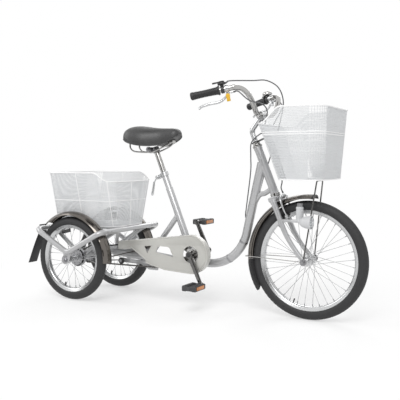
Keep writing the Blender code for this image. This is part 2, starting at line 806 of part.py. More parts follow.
def case_top(x):
    """Height of the case's top edge behind the round end, on the line that touches it."""
    tail_z = case_tail(1)
    rise = CRANK_Z + case_r() - tail_z
    reach = CRANK_X - CASE_TAIL_X
    lean = math.atan2(rise, reach) * 0.93
    touch_x = CRANK_X - case_r() * math.sin(lean)
    touch_z = CRANK_Z + case_r() * math.cos(lean)
    return touch_z + (x - touch_x) * (touch_z - tail_z) / (touch_x - CASE_TAIL_X)


def case_outline(inset):
    """Side view of the case, drawn in from its edge by an inset."""
    low_x = CASE_LOW_X + inset
    low_z = CRANK_Z - 0.056
    tail_low = case_tail(-1)
    return [
        (CASE_TAIL_X + inset, case_tail(1) - inset),
        *arc((CRANK_X, CRANK_Z), case_r() - inset, 97.0, -95.0, 12),
        (CRANK_X - 0.138, CRANK_Z - case_r() + 0.0065 + inset),
        (low_x, low_z + inset),
        (low_x, low_z + 0.018 - inset),
        (CASE_LOW_X - 0.081 + inset * 0.4, tail_low + 0.009 + inset),
        (CASE_LOW_X - 0.089, tail_low + 0.004 + inset),
        (CASE_TAIL_X + inset, tail_low + inset),
    ]


def chain_case():
    """The cover over the chain wheel and the front of the chain."""
    cover = side_plate(case_outline(0.0), CASE_OUT_Y, CASE_IN_Y)
    pocket = side_plate(case_outline(CASE_WALL), CASE_OUT_Y + CASE_WALL, CASE_IN_Y + 0.01)
    triangle = [(-0.246, 0.022), (-0.207, 0.027), (-0.231, -0.009)]
    window = [(-0.184, -0.003), (-0.176, 0.020), (-0.164, 0.028), *arc((-0.126, 0.004), 0.0245, 90, 5, 4),
              (-0.088, -0.013), (-0.096, -0.018)]
    through = SIDE * 0.010
    face = CRANK_AXIS + SIDE * CASE_OUT_Y
    hole = rod(face - through, face + through, CASE_HOLE_R, 18)
    openings = []
    for points in (triangle, window):
        outline = shifted(points, (CRANK_X, CRANK_Z))
        openings.append(side_plate(outline, CASE_OUT_Y - 0.010, CASE_OUT_Y + 0.006))
    low_x = CASE_LOW_X + 0.053
    slot_w = CHAIN_T + 0.006
    slots = [block((0.020, slot_w, 0.020), (CASE_TAIL_X, CHAIN_Y, chain_run_z(CASE_TAIL_X, 1))),
             block((0.120, slot_w, 0.016), (low_x, CHAIN_Y, chain_run_z(low_x, -1)))]
    return cut(cover, pocket, hole, *openings, *slots)


# Chain drive

def chain_loop(offset):
    """The chain's line round both chain wheels, moved out by an offset."""
    front = (CRANK_X, CRANK_Z)
    rear = (REAR_AXLE.x, REAR_AXLE.z)
    front_r = pitch_radius(CHAINRING_TEETH) + offset
    rear_r = pitch_radius(SPROCKET_TEETH) + offset
    span = Vector(front) - Vector(rear)
    tilt = math.degrees(math.atan2(span.y, span.x))
    wrap = math.degrees(math.acos((front_r - rear_r) / span.length))
    return (arc(front, front_r, tilt + 180 - wrap, tilt - 180 + wrap, CHAINRING_STEPS)
            + arc(rear, rear_r, tilt - 180 + wrap, tilt - 180 - wrap, SPROCKET_STEPS))


def chain_run_z(x, side, offset=(CHAIN_INNER + CHAIN_OUTER) / 2):
    """Height of the chain's straight runs at some x: 1 for the top run, -1 for the bottom one."""
    loop = chain_loop(offset)
    front = loop[CHAINRING_STEPS] if side < 0 else loop[0]
    rear = loop[CHAINRING_STEPS + 1] if side < 0 else loop[-1]
    return rear[1] + (front[1] - rear[1]) * (x - rear[0]) / (front[0] - rear[0])


def chain():
    """The roller chain as one band of links round both chain wheels."""
    half = CHAIN_T / 2
    return side_plate(chain_loop(CHAIN_OUTER), CHAIN_Y - half, CHAIN_Y + half, [chain_loop(CHAIN_INNER)])


def toothed(teeth):
    """Outline of a chain wheel."""
    radius = pitch_radius(teeth)
    points = []
    for tooth in range(teeth):
        for share, step in ((0.0, TOOTH_TIP), (0.5, -TOOTH_ROOT)):
            angle = 2 * math.pi * (tooth + share) / teeth
            points.append(((radius + step) * math.cos(angle), (radius + step) * math.sin(angle)))
    return points


def shifted(points, centre):
    """Move a 2D outline to a centre."""
    return [(u + centre[0], v + centre[1]) for u, v in points]


def chainring():
    """Chain wheel with five windows between its spider arms."""
    centre = (CRANK_X, CRANK_Z)
    rim = pitch_radius(CHAINRING_TEETH)
    windows = []
    for index in range(5):
        start = 72 * index + 14
        outer = arc(centre, rim * 0.78, start, start + 44, 3)
        inner = arc(centre, rim * 0.38, start + 36, start + 8, 1)
        windows.append(outer + inner)
    outline = shifted(toothed(CHAINRING_TEETH), centre)
    return side_plate(outline, CHAIN_Y - PLATE_T / 2, CHAIN_Y + PLATE_T / 2, windows)


def crank_arm(side):
    """One crank with its boss and pedal spindle; side is -1 right or 1 left."""
    end = crank_end(side)
    middle = SIDE * side * CRANK_ARM_Y
    inner = SIDE * side * (abs(CHAIN_Y) - PLATE_T / 2 - 0.004)
    outer = SIDE * side * (CRANK_ARM_Y + CRANK_ARM_T / 2)
    arm = rod(CRANK_AXIS + middle, end + middle, CRANK_ARM_R, 12, CRANK_ARM_R * 0.76)
    thin = Matrix.Diagonal((1.0, CRANK_ARM_T / (2 * CRANK_ARM_R), 1.0, 1.0))
    arm = moved(arm, Matrix.Translation(middle) @ thin @ Matrix.Translation(-middle))
    boss = rod(CRANK_AXIS + inner, CRANK_AXIS + outer, BOSS_R, 12)
    eye = rod(end + middle - SIDE * side * CRANK_ARM_T / 2, end + outer, CRANK_ARM_R, 12)
    spindle = rod(end + middle, end + SIDE * side * (PEDAL_Y + PEDAL_LENGTH / 2 - 0.004), SPINDLE_R, 10)
    arm = union(arm, boss, eye, spindle)
    if side > 0:
        return union(arm, crank_axle())
    end_of_bore = CRANK_AXIS - SIDE * (CRANK_ARM_Y + 0.004)
    hollow = drill(CRANK_AXIS - SIDE * 0.02, end_of_bore, CRANK_AXLE_R + GAP, 12)
    return cut(union(arm, chainring()), hollow)


def crank_end(side):
    """The pedal end of a crank, in the middle plane."""
    angle = CRANK_ANGLE if side < 0 else CRANK_ANGLE + math.pi
    return CRANK_AXIS + Vector((math.cos(angle), 0.0, math.sin(angle))) * CRANK_LENGTH


def crank_axle():
    """The bottom bracket axle, fixed in the left crank."""
    half = SIDE * (CRANK_ARM_Y + 0.003)
    return rod(CRANK_AXIS - half, CRANK_AXIS + half, CRANK_AXLE_R, 12)


def pedal_centre(side):
    """Middle of a pedal on its spindle."""
    return crank_end(side) + SIDE * side * PEDAL_Y


def pedal(side):
    """A block pedal: two tread bars, two end bridges and a barrel on the spindle."""
    long = PEDAL_LENGTH / 2
    wide = PEDAL_WIDTH / 2
    bevel = 0.006
    outline = []
    for sx, sy in ((1, -1), (1, 1), (-1, 1), (-1, -1)):
        corner = [(sx * (wide - bevel), sy * long), (sx * wide, sy * (long - bevel))]
        outline += corner if sx * sy < 0 else list(reversed(corner))
    holes = []
    for sign in (1, -1):
        near = sign * PEDAL_BARREL
        far = sign * (wide - PEDAL_TREAD)
        end = long - PEDAL_BRIDGE
        holes.append([(near, -end), (far, -end), (far, end), (near, end)])
    body = plate(outline, PEDAL_T, holes)
    bore = drill((0, -long - 0.01, 0), (0, long + 0.01, 0), SPINDLE_R + RUNNING, 10)
    return moved(cut(body, bore), Matrix.Translation(pedal_centre(side)))


def sprocket():
    """Rear chain wheel and freewheel body on the axle."""
    centre = (REAR_AXLE.x, REAR_AXLE.z)
    bore = arc(centre, REAR_AXLE_R + 0.004, 0, 315, 7)
    outline = shifted(toothed(SPROCKET_TEETH), centre)
    disc = side_plate(outline, CHAIN_Y - PLATE_T / 2, CHAIN_Y + PLATE_T / 2, [bore])
    inside = REAR_AXLE + SIDE * (CHAIN_Y - 0.009)
    outside = REAR_AXLE + SIDE * (CHAIN_Y + 0.012)
    return union(ring(REAR_AXLE_R + RUNNING, 0.019, inside, outside, 12), disc)


def pulley_centre():
    """Middle of the tension pulley, riding on the lower run of the chain."""
    return Vector((PULLEY_X, CHAIN_Y, chain_run_z(PULLEY_X, -1, CHAIN_INNER) + GAP + PULLEY_R))


def tension_pulley():
    """The roller on the slack run of the chain."""
    half = SIDE * 0.0045
    centre = pulley_centre()
    return ring(PULLEY_PIN_R + RUNNING, PULLEY_R, centre - half, centre + half, 12)


def tension_bracket():
    """Plate under the main frame that carries the pulley, with its bolt spacer and the pulley's pin."""
    centre = pulley_centre()
    x = SWING_HOUSING_X1
    z = MAIN_TUBE_Z
    outline = [(centre.x - 0.012, centre.z - 0.009), (x - 0.045, z - 0.0265), (x, z - 0.0485),
               (x + 0.051, z - 0.0485), (x + 0.051, z + 0.0075), (x, z + 0.0075), (x - 0.045, z - 0.0085),
               (centre.x - 0.006, centre.z + 0.011)]
    holes = [arc((x + along, z - 0.0355), 0.0042, 0, 315, 7) for along in (0.012, 0.039)]
    made = side_plate(outline, TENSION_Y0, TENSION_Y1, holes)
    pin_end = (centre.x, CHAIN_Y - 0.008, centre.z)
    pin = rod((centre.x, TENSION_Y1 - 0.0015, centre.z), pin_end, PULLEY_PIN_R, 10)
    bolt_x = x + 0.027
    bolt_z = main_tube_z(bolt_x)
    spacer = rod((bolt_x, TENSION_Y0 + 0.001, bolt_z), (bolt_x, -MAIN_TUBE_R / 2, bolt_z), 0.007, 10)
    return union(made, pin, spacer)


def main_tube_z(x):
    """Height of the main tube's axis behind the bottom bracket."""
    path = main_tube_path()
    for before, after in zip(path, path[1:]):
        if before.x <= x <= after.x:
            return before.z + (after.z - before.z) * (x - before.x) / (after.x - before.x)
    return MAIN_TUBE_Z


# Seat

def seat_back():
    """Direction straight back from the seat tube."""
    return Vector((-SEAT_UP.z, 0.0, SEAT_UP.x))


def seat_clamp():
    """Collar round the top of the seat tube, with two ears at the back and the clamp bolt."""
    top = seat_point(SEAT_SLEEVE_Z - 0.002)
    back = seat_back()
    collar = ring(SEAT_SLEEVE_R + GAP, SEAT_SLEEVE_R + 0.004, top - SEAT_UP * 0.020, top, 12)
    centre = top - SEAT_UP * 0.010 + back * (SEAT_SLEEVE_R + 0.015)
    for sign in (1, -1):
        ear = block((0.026, 0.006, 0.018), centre + SIDE * sign * 0.006, (back, SIDE, SEAT_UP))
        collar = union(collar, ear)
    pivot = clamp_pivot()
    return union(collar, rod(pivot + SIDE * 0.012, pivot - SIDE * 0.024, CLAMP_BOLT_R, 10))


def clamp_pivot():
    """Where the clamp bolt crosses the ears."""
    return seat_point(SEAT_SLEEVE_Z - 0.002) - SEAT_UP * 0.010 + seat_back() * (SEAT_SLEEVE_R + 0.020)


def clamp_lever():
    """Quick-release lever hanging from the clamp bolt."""
    pivot = clamp_pivot()
    hub = ring(CLAMP_BOLT_R + GAP, 0.0075, pivot - SIDE * 0.0105, pivot - SIDE * 0.0195, 12)
    offsets = [(-0.004, -0.015, -0.005), (-0.014, -0.0165, -0.022), (-0.018, -0.018, -0.052),
               (-0.024, -0.020, -0.086)]
    path = smooth([pivot + Vector(offset) for offset in offsets], 2)
    return union(hub, tube(path, CLAMP_LEVER_R, 6))


def seat_post():
    """Straight seat post in the seat tube."""
    return rod(seat_point(SEAT_TUBE_Z - 0.120), seat_point(SEAT_POST_Z), SEAT_POST_R, 12)


def saddle_clamp():
    """Clamp on top of the post that holds the saddle's rails."""
    top = seat_point(SEAT_POST_Z)
    collar = ring(SEAT_POST_R + GAP, SEAT_POST_R + 0.004, top - SEAT_UP * 0.026, top - SEAT_UP * 0.002, 12)
    middle = rail_bar()
    bar = rod(middle + SIDE * 0.030, middle - SIDE * 0.030, RAIL_BAR_R, 12)
    return union(collar, bar)


def rail_bar():
    """Middle of the clamp's cross bar, behind the post."""
    return seat_point(SEAT_POST_Z) - SEAT_UP * 0.012 - Vector((0.0245, 0.0, 0.0))


def saddle_x(share):
    """A place along the saddle, as a share of its length from the back."""
    return seat_point(SEAT_POST_Z).x - SADDLE_BEHIND_POST + share * SADDLE_LENGTH


def saddle_rails():
    """One bent wire: two rails from the nose to the back under the saddle."""
    mid = rail_bar()
    floor = SADDLE_FLOOR_Z
    low = mid.z - RAIL_BAR_R - GAP - RAIL_WIRE_R * 0.87
    back = saddle_x(0.09)
    half = [
        (saddle_x(RAIL_NOSE_SHARE), 0.008, floor - 0.010),
        (saddle_x(RAIL_NOSE_SHARE) - 0.035, RAIL_SIDE, floor - 0.030),
        (mid.x + 0.020, RAIL_SIDE, low),
        (mid.x, RAIL_SIDE, low),
        (mid.x - 0.020, RAIL_SIDE, low),
        (back + 0.024, RAIL_SIDE + 0.012, low + 0.004),
        (back + 0.002, RAIL_SIDE + 0.014, low + 0.020),
        (back, RAIL_SIDE + 0.014, floor - 0.008),
        (back, RAIL_SIDE + 0.014, floor - GAP),
    ]
    other = [(x, -y, z) for x, y, z in reversed(half)]
    return tube(smooth(other + half, 2), RAIL_WIRE_R, 6)


def saddle():
    """The padded saddle: a crowned top with drawn-in skirts, wide behind and narrow at the nose."""
    work = bmesh.new()
    rings = []
    for share, wide, drop, rise in SADDLE_SECTIONS:
        x = saddle_x(share)
        half = wide * SADDLE_W / 2
        top = SADDLE_TOP_Z - drop
        skirt = SADDLE_FLOOR_Z + rise
        side = [(0.42, 0.001), (0.78, 0.010), (0.97, 0.028), (1.0, 0.050)]
        right = [(half * across, max(top - down, skirt + 0.012)) for across, down in side]
        right += [(half * 0.93, skirt), (half * 0.80, skirt + 0.003), (half * 0.45, SADDLE_FLOOR_Z)]
        ring_points = [(0.0, top)] + right + [(0.0, SADDLE_FLOOR_Z)] + [(-y, z) for y, z in reversed(right)]
        rings.append([work.verts.new((x, y, z)) for y, z in ring_points])
    for before, after in zip(rings, rings[1:]):
        count = len(before)
        for index in range(count):
            following = (index + 1) % count
            work.faces.new((before[index], before[following], after[following], after[index]))
    work.faces.new(rings[0])
    work.faces.new(list(reversed(rings[-1])))
    return from_bmesh(work)


# Fork and steering

def fork_leg_path(side):
    """One blade: straight from the crown, then curving forward to the axle."""
    path = []
    taper = []
    start = CROWN_D0 + 0.008
    end = FORK_REACH + FORK_TIP_PAST_AXLE
    for index in range(FORK_STEPS + 1):
        share = index / FORK_STEPS
        down = start + (end - start) * share
        bow = FORK_RAKE * max(0.0, (down - FORK_STRAIGHT) / (FORK_REACH - FORK_STRAIGHT)) ** 2
        out = FORK_CROWN_Y + (FORK_TIP_Y - FORK_CROWN_Y) * share
        path.append(head_point(-down, bow, side * out))
        taper.append(1 + (FORK_TIP_R / FORK_LEG_R - 1) * share)
    return path, taper


def fork():
    """Steerer, crown and both blades, with the caliper bolt and the mudguard boss on the crown."""
    middle = (CROWN_D0 + CROWN_D1) / 2
    crown_size = (CROWN_DEPTH, FORK_CROWN_Y * 2 + 0.026, CROWN_D1 - CROWN_D0)
    crown = block(crown_size, head_point(-middle), (HEAD_FORWARD, SIDE, HEAD_UP), 0.005)
    steerer = rod(head_point(-middle), head_point(HEAD_LENGTH + 0.026), STEERER_R, 12)
    blades = []
    for side in (1, -1):
        path, taper = fork_leg_path(side)
        blades.append(tube(path, FORK_LEG_R, 8, taper=taper))
    bolt_end = CALIPER_EYES[1] + CALIPER_EYE_T + 0.007
    bolt = rod(head_point(-CALIPER_D, 0.010), head_point(-CALIPER_D, bolt_end), CALIPER_BOLT_R, 10)
    fall = HEAD_FOOT - FRONT_AXLE
    reach = FRONT_FENDER_R + FENDER_T / 2 + GAP
    ahead = fall.dot(HEAD_UP)
    boss_end = ahead - math.sqrt(ahead * ahead - fall.dot(fall) + reach * reach)
    boss = rod(head_point(-middle), head_point(0.0006 - boss_end), 0.004, 8)
    made = union(crown, steerer, *blades, bolt, boss, lamp_lug())
    across = SIDE * (FORK_TIP_Y + 0.03)
    return cut(made, drill(FRONT_AXLE - across, FRONT_AXLE + across, FRONT_AXLE_R + GAP, 12),
               drill(head_point(0.12), head_point(HEAD_LENGTH + 0.05), STEM_R + GAP, 12))


def headset_top():
    """Upper bearing cup and lock nut round the steerer."""
    steps = 12
    base = HEAD_LENGTH + HEAD_SKIRT + GAP
    bore = (STEERER_R + GAP) / math.cos(math.pi / steps)
    profile = [(HEAD_CUP_R, 0.0), (bore, 0.0), (bore, 0.021), (HEAD_CUP_R - 0.004, 0.021),
               (HEAD_CUP_R - 0.003, 0.010), (HEAD_CUP_R, 0.009)]
    return turned(profile, steps, head_point(base), HEAD_UP, closed=True)


def stem():
    """Quill stem that rises up the steering axis and then turns forward to the bar clamp."""
    path = bent([head_point(HEAD_LENGTH - 0.03), head_point(STEM_BEND_UP), BAR_CLAMP], 0.026, steps=4)
    half = SIDE * BAR_CLAMP_HALF
    made = union(tube(path, STEM_R, 10), rod(BAR_CLAMP - half, BAR_CLAMP + half, BAR_CLAMP_R, 12))
    return cut(made, drill(BAR_CLAMP - half * 1.5, BAR_CLAMP + half * 1.5, BAR_R + GAP, 12))


def handlebar():
    """The raised bar, bent up, out and back to the grips."""
    half = [BAR_CLAMP + bend for bend in BAR_BENDS]
    half += [bar_point(GRIP_LENGTH + back, 1) for back in (BAR_BARE, BAR_BARE - 0.008)]
    half.append(bar_point(0.006, 1))
    other = [Vector((point.x, -point.y, point.z)) for point in reversed(half)]
    return tube(smooth([*other, BAR_CLAMP, *half], 2), BAR_R, BAR_SIDES)


def grip(side):
    """Ribbed hand grip with a closed end."""
    steps = 8
    bore = (BAR_R + GAP) / math.cos(math.pi / steps)
    profile = [(0.0, 0.004), (GRIP_R - 0.003, 0.004), (GRIP_R, 0.0)]
    for index in range(GRIP_RIBS):
        z = -0.012 - index * (GRIP_LENGTH - 0.022) / GRIP_RIBS
        profile += [(GRIP_R - 0.0012, z), (GRIP_R, z - 0.022)]
    collar = GRIP_R + 0.003
    profile += [(collar, -GRIP_LENGTH + 0.008), (collar, -GRIP_LENGTH + 0.002), (bore, -GRIP_LENGTH + 0.002),
                (bore, -0.0055), (0.0, -0.0055)]
    direction = Vector((GRIP_DIR.x, side * GRIP_DIR.y, GRIP_DIR.z))
    return turned(profile, steps, bar_point(0.0, side), direction)


def lever_frame(side):
    """Directions at a brake lever: out along the bar, the hinge's axis, and down from the bar."""
    out = Vector((GRIP_DIR.x, side * GRIP_DIR.y, GRIP_DIR.z))
    hinge = out.cross(Vector((0, 0, 1))).normalized()
    down = hinge.cross(out).normalized()
    if down.z > 0:
        down = -down
    return out, hinge, down


def lever_pivot(side):
    """Where a brake lever hinges under the bar."""
    out, hinge, down = lever_frame(side)
    return bar_point(LEVER_BACK, side) + down * LEVER_DROP


def perch_mouth(side):
    """Where a cable leaves the barrel of a brake lever's clamp."""
    out, hinge, down = lever_frame(side)
    return bar_point(LEVER_BACK, side) - out * PERCH_BARREL + down * (BAR_R + 0.007)


def bar_clamp(at, out, half):
    """A ring that clamps a control on the bar."""
    return ring(BAR_R + GAP, BAR_R + CLAMP_WALL, at - out * half, at + out * half, 12)


def brake_perch(side):
    """Clamp round the bar with two cheeks that hold the lever's pin."""
    out, hinge, down = lever_frame(side)
    at = bar_point(LEVER_BACK, side)
    pivot = lever_pivot(side)
    axes = (out, hinge, down)
    top = BAR_R + 0.0015
    foot = LEVER_DROP + 0.006
    body = block((PERCH_T - 0.002, 0.018, foot - top), at + down * (top + foot) / 2, axes)
    slot_top = LEVER_DROP - 0.009
    slot = block((PERCH_T * 2, 0.0128, foot), at + down * (slot_top + foot / 2), axes)
    pin = rod(pivot - hinge * 0.009, pivot + hinge * 0.009, LEVER_PIN_R, 8)
    barrel_foot = at - out * (PERCH_T / 2 - 0.001) + down * (BAR_R + 0.004)
    barrel = rod(barrel_foot, perch_mouth(side), 0.0042, 8)
    return union(cut(union(bar_clamp(at, out, PERCH_T / 2), body), slot), pin, barrel)


def brake_lever(side):
    """Lever blade that swings up to the grip."""
    out, hinge, down = lever_frame(side)
    pivot = lever_pivot(side)
    hub = ring(LEVER_PIN_R + GAP, 0.0065, pivot - hinge * 0.0060, pivot + hinge * 0.0060, 10)
    steps = [(0.005, 0.0), (0.036, 0.016), (0.080, 0.0165), (0.112, 0.020), (0.126, 0.027)]
    path = smooth([pivot + out * along + down * drop for along, drop in steps], 2)
    return union(hub, tube(path, LEVER_R, 6))


def lock_tab():
    """Parking-brake catch on the outside of the right lever's clamp."""
    out, hinge, down = lever_frame(-1)
    pivot = lever_pivot(-1)
    outside = hinge if hinge.y < 0 else -hinge
    foot = pivot + outside * 0.0098
    hub = rod(foot, foot + outside * 0.007, 0.0085, 10)
    tab = block((0.015, 0.006, 0.024), foot + outside * 0.0035 + down * 0.011, (out, hinge, down), 0.002)
    return union(hub, tab)


def shifter_body():
    """Thumb shifter: a clamp round the bar with a round housing above it."""
    out, hinge, down = lever_frame(-1)
    at = bar_point(SHIFT_BACK, -1)
    neck = rod(at - down * (BAR_R + 0.002), at - down * (BAR_R + 0.011), 0.0060, 8)
    pod = rod(at - down * (SHIFT_POD_TOP - 0.0085), at - down * SHIFT_POD_TOP, SHIFT_POD_R, 12)
    return union(bar_clamp(at, out, CLAMP_HALF), neck, pod)


def shift_lever():
    """Thumb lever on top of the shifter."""
    out, hinge, down = lever_frame(-1)
    at = bar_point(SHIFT_BACK, -1) - down * (SHIFT_POD_TOP + GAP)
    disc = rod(at, at - down * 0.006, 0.0125, 12)
    thumb = block((0.030, 0.010, 0.0055), at - down * 0.003 + out * 0.022, (out, hinge, down), 0.0015)
    return union(disc, thumb)


def bell():
    """Bell dome on its clamp."""
    out, hinge, down = lever_frame(1)
    at = bar_point(BELL_BACK, 1)
    foot = rod(at - down * (BAR_R + 0.002), at - down * (BAR_R + 0.014), BELL_FOOT_R, 10)
    dome = [(0.0, 0.016), (BELL_R * 0.45, 0.0145), (BELL_R * 0.8, 0.009), (BELL_R, 0.0), (BELL_R, -0.002),
            (0.0, -0.002)]
    cup = turned(dome, 12, at - down * (BAR_R + 0.015), -down)
    return union(bar_clamp(at, out, CLAMP_HALF), foot, cup)


def bell_pivot():
    """Where the bell's striker turns."""
    out, hinge, down = lever_frame(1)
    return bar_point(BELL_BACK, 1) - down * (BAR_R + 0.0100)


def bell_lever():
    """Thumb striker that turns round the bell's foot."""
    out, hinge, down = lever_frame(1)
    at = bell_pivot()
    collar = ring(BELL_FOOT_R + GAP, 0.0095, at - down * 0.0022, at + down * 0.0022, 12)
    thumb = block((0.024, 0.007, 0.0036), at + out * 0.020, (out, hinge, down), 0.001)
    return union(collar, thumb)


# Front brake and lamp

def caliper_arm(side):
    """One arm of the front brake, from its eye on the bolt down round the tyre to its shoe."""
    depth = CALIPER_EYES[side]
    bolt = head_point(-CALIPER_D, depth)
    eye_ring = ring(CALIPER_BOLT_R + GAP, 0.0085, bolt, bolt + HEAD_FORWARD * CALIPER_EYE_T, 10)
    mid = depth + CALIPER_EYE_T / 2
    ahead = CALIPER_ARM_FORWARD
    shoe_y = RIM_W / 2 + 0.0035
    shoe_up = -SHOE_D + 0.001
    arm = tube(smooth([
        head_point(-CALIPER_D, mid, side * 0.005),
        head_point(-CALIPER_D - 0.004, mid, side * (CALIPER_ARM_Y - 0.0145)),
        head_point(-CALIPER_D - 0.018, ahead, side * (CALIPER_ARM_Y - 0.001)),
        head_point(-CALIPER_D - 0.055, ahead, side * CALIPER_ARM_Y),
        head_point(shoe_up, ahead, side * (CALIPER_ARM_Y - 0.009)),
    ], 2), CALIPER_ARM_R, 6)
    shoe = block((0.042, SHOE_T, SHOE_T), head_point(-SHOE_D, 0.0135, side * (shoe_y + SHOE_T / 2)),
                 (HEAD_FORWARD, SIDE, HEAD_UP), 0.002)
    stud = rod(head_point(shoe_up, ahead, side * (shoe_y + 0.004)),
               head_point(shoe_up, ahead, side * (CALIPER_ARM_Y - 0.009)), 0.0035, 8)
    return union(eye_ring, arm, shoe, stud)


def dynamo_lamp():
    """Bottle dynamo and head lamp in one moulded body."""
    up = Vector((0, 0, DYNAMO_HALF))
    body = rod(DYNAMO_AT - up, DYNAMO_AT + up, DYNAMO_R, 12)
    neck = rod(DYNAMO_AT + up, DYNAMO_AT + up + Vector((0, 0, 0.006)), DYNAMO_NECK_R, 10)
    web_foot = Vector((DYNAMO_AT.x + 0.002, DYNAMO_AT.y - 0.010, LAMP_AT.z))
    web = rod(web_foot, LAMP_AT + Vector((0.004, 0.002, 0.0)), 0.010, 10)
    profile = [(0.0, 0.026), (LAMP_R * 0.60, 0.0245), (LAMP_R, 0.020), (LAMP_R * 0.85, -0.008),
               (LAMP_R * 0.44, -0.028), (0.0, -0.030)]
    shade = turned(profile, 12, LAMP_AT, Vector((1, 0, 0)))
    lug = rod(LAMP_PIN - Vector((0.004, 0, 0)), (DYNAMO_AT.x - 0.008, DYNAMO_AT.y, LAMP_PIN.z), 0.0065, 10)
    return union(body, neck, web, shade, lug)


def dynamo_roller():
    """Drive wheel on top of the dynamo, beside the tyre's shoulder."""
    top = DYNAMO_AT + Vector((0.0, 0.0, DYNAMO_HALF))
    up = Vector((0.0, 0.0, 1.0))
    return ring(DYNAMO_NECK_R + RUNNING, 0.0110, top + up * GAP, top + up * 0.0135, 12)


def lamp_lug():
    """Arm on the right fork blade, ending in the pin that the dynamo tilts on."""
    path, taper = fork_leg_path(-1)
    nearest = min(path, key=lambda point: abs(point.z - LAMP_PIN.z))
    return rod((nearest.x, LAMP_PIN.y, LAMP_PIN.z), LAMP_PIN - Vector((0.004 + GAP, 0, 0)), 0.0060, 10)


# Mudguards

def guard(centre, radius, degrees):
    """A rolled mudguard: a crowned strip swept round the wheel, with a wall."""
    work = bmesh.new()
    half = FENDER_W / 2
    shoulder = (half * 0.55, -FENDER_CROWN * 0.22)
    strip = [(-half, -FENDER_CROWN), (-shoulder[0], shoulder[1]), (0.0, 0.0), shoulder,
             (half, -FENDER_CROWN)]
    steps = max(6, round((degrees[1] - degrees[0]) / 9))
    rows = []
    for index in range(steps + 1):
        angle = math.radians(degrees[0] + (degrees[1] - degrees[0]) * index / steps)
        out = Vector((math.cos(angle), 0.0, math.sin(angle)))
        rows.append([work.verts.new(centre + out * (radius + rise) + SIDE * y) for y, rise in strip])
    for before, after in zip(rows, rows[1:]):
        for index in range(len(strip) - 1):
            work.faces.new((before[index], before[index + 1], after[index + 1], after[index]))
    obj = from_bmesh(work)
    wall = obj.modifiers.new("wall", "SOLIDIFY")
    wall.thickness = FENDER_T
    wall.offset = 0.0
    return baked(obj)


def front_flap():
    """Rubber flap that carries the front mudguard's curve down."""
    start = FRONT_FENDER_ARC[1] + 0.12
    outer = arc((FRONT_AXLE.x, FRONT_AXLE.z), FRONT_FENDER_R, start, FRONT_FLAP_END, 6)
    inner = arc((FRONT_AXLE.x, FRONT_AXLE.z), FRONT_FENDER_R - FLAP_T, FRONT_FLAP_END, start, 6)
    return side_plate(outer + inner, -FLAP_W / 2, FLAP_W / 2)


def rear_flap(side):
    """Straight rubber flap bolted behind the loop tube."""
    back = LOOP_REAR_X - LOOP_R - GAP
    tip = REAR_FLAP_TIP
    outline = [(back, LOOP_Z + 0.016), (back - FLAP_T, LOOP_Z + 0.016), (back - FLAP_T, LOOP_Z - 0.012),
               (tip.x, tip.z), (tip.x + FLAP_T, tip.z - 0.001), (back, LOOP_Z - 0.014)]
    middle = side * TRACK / 2
    return side_plate(outline, middle - FLAP_W / 2, middle + FLAP_W / 2)


def eye(side, out0, out1):
    """Washer-shaped end of a stay on the front axle."""
    near = FRONT_AXLE + SIDE * side * out0
    far = FRONT_AXLE + SIDE * side * out1
    return ring(FRONT_AXLE_R + RUNNING, FRONT_AXLE_R + 0.0042, near, far, 8)


def front_fender_stay():
    """Wire from both ends of the axle round the back of the mudguard."""
    out0 = STAY_EYE_0
    out1 = STAY_EYE_1
    middle = (out0 + out1) / 2
    back = FRONT_AXLE.x - FRONT_FENDER_R - FENDER_T / 2 - GAP - FENDER_WIRE_R
    half = FENDER_W / 2 + FENDER_WIRE_R + 0.0008
    z = FRONT_AXLE.z + 0.002
    left = [Vector((back, half, z)), Vector((back + 0.060, half + 0.004, z)),
            FRONT_AXLE + Vector((-0.0070, middle, 0.0))]
    right = [Vector((point.x, -point.y, point.z)) for point in reversed(left)]
    wire = tube(bent(right + left, 0.006, steps=2), FENDER_WIRE_R, 6)
    return union(wire, eye(1, out0, out1), eye(-1, out0, out1))


def basket_stay():
    """U-shaped rod from both ends of the axle up under the basket."""
    out0 = STAY_EYE_1 + GAP
    out1 = STAY_EYE_2
    middle = (out0 + out1) / 2
    top = FRONT_BASKET_Z0 - WIRE / 2 - GAP - STAY_WIRE_R
    half = FENDER_W / 2 + 0.006
    foot = FRONT_AXLE + Vector((0.0005, 0.0, 0.0072))
    corners = [foot - SIDE * middle, Vector((BASKET_STAY_X, -half, top)), Vector((BASKET_STAY_X, half, top)),
               foot + SIDE * middle]
    wire = tube(bent(corners, 0.010, steps=2), STAY_WIRE_R, 6)
    return union(wire, eye(1, out0, out1), eye(-1, out0, out1))


# Baskets

def rounded_loop(x0, x1, half, corner, z_of):
    """Points round a rounded rectangle, with a height for each point."""
    points = []
    spots = []
    for start, sx, sy in ((0, 1, 1), (90, -1, 1), (180, -1, -1), (270, 1, -1)):
        centre = ((x1 if sx > 0 else x0) - sx * corner, sy * (half - corner))
        spots.append(arc(centre, corner, start, start + 90, 2))
    for index, spot in enumerate(spots):
        points += spot
        following = spots[(index + 1) % 4][0]
        runs = 3 if index % 2 == 0 else 2
        for run in range(1, runs):
            points.append(tuple(Vector(spot[-1]).lerp(Vector(following), run / runs)))
    return [Vector((x, y, z_of(x))) for x, y in points]


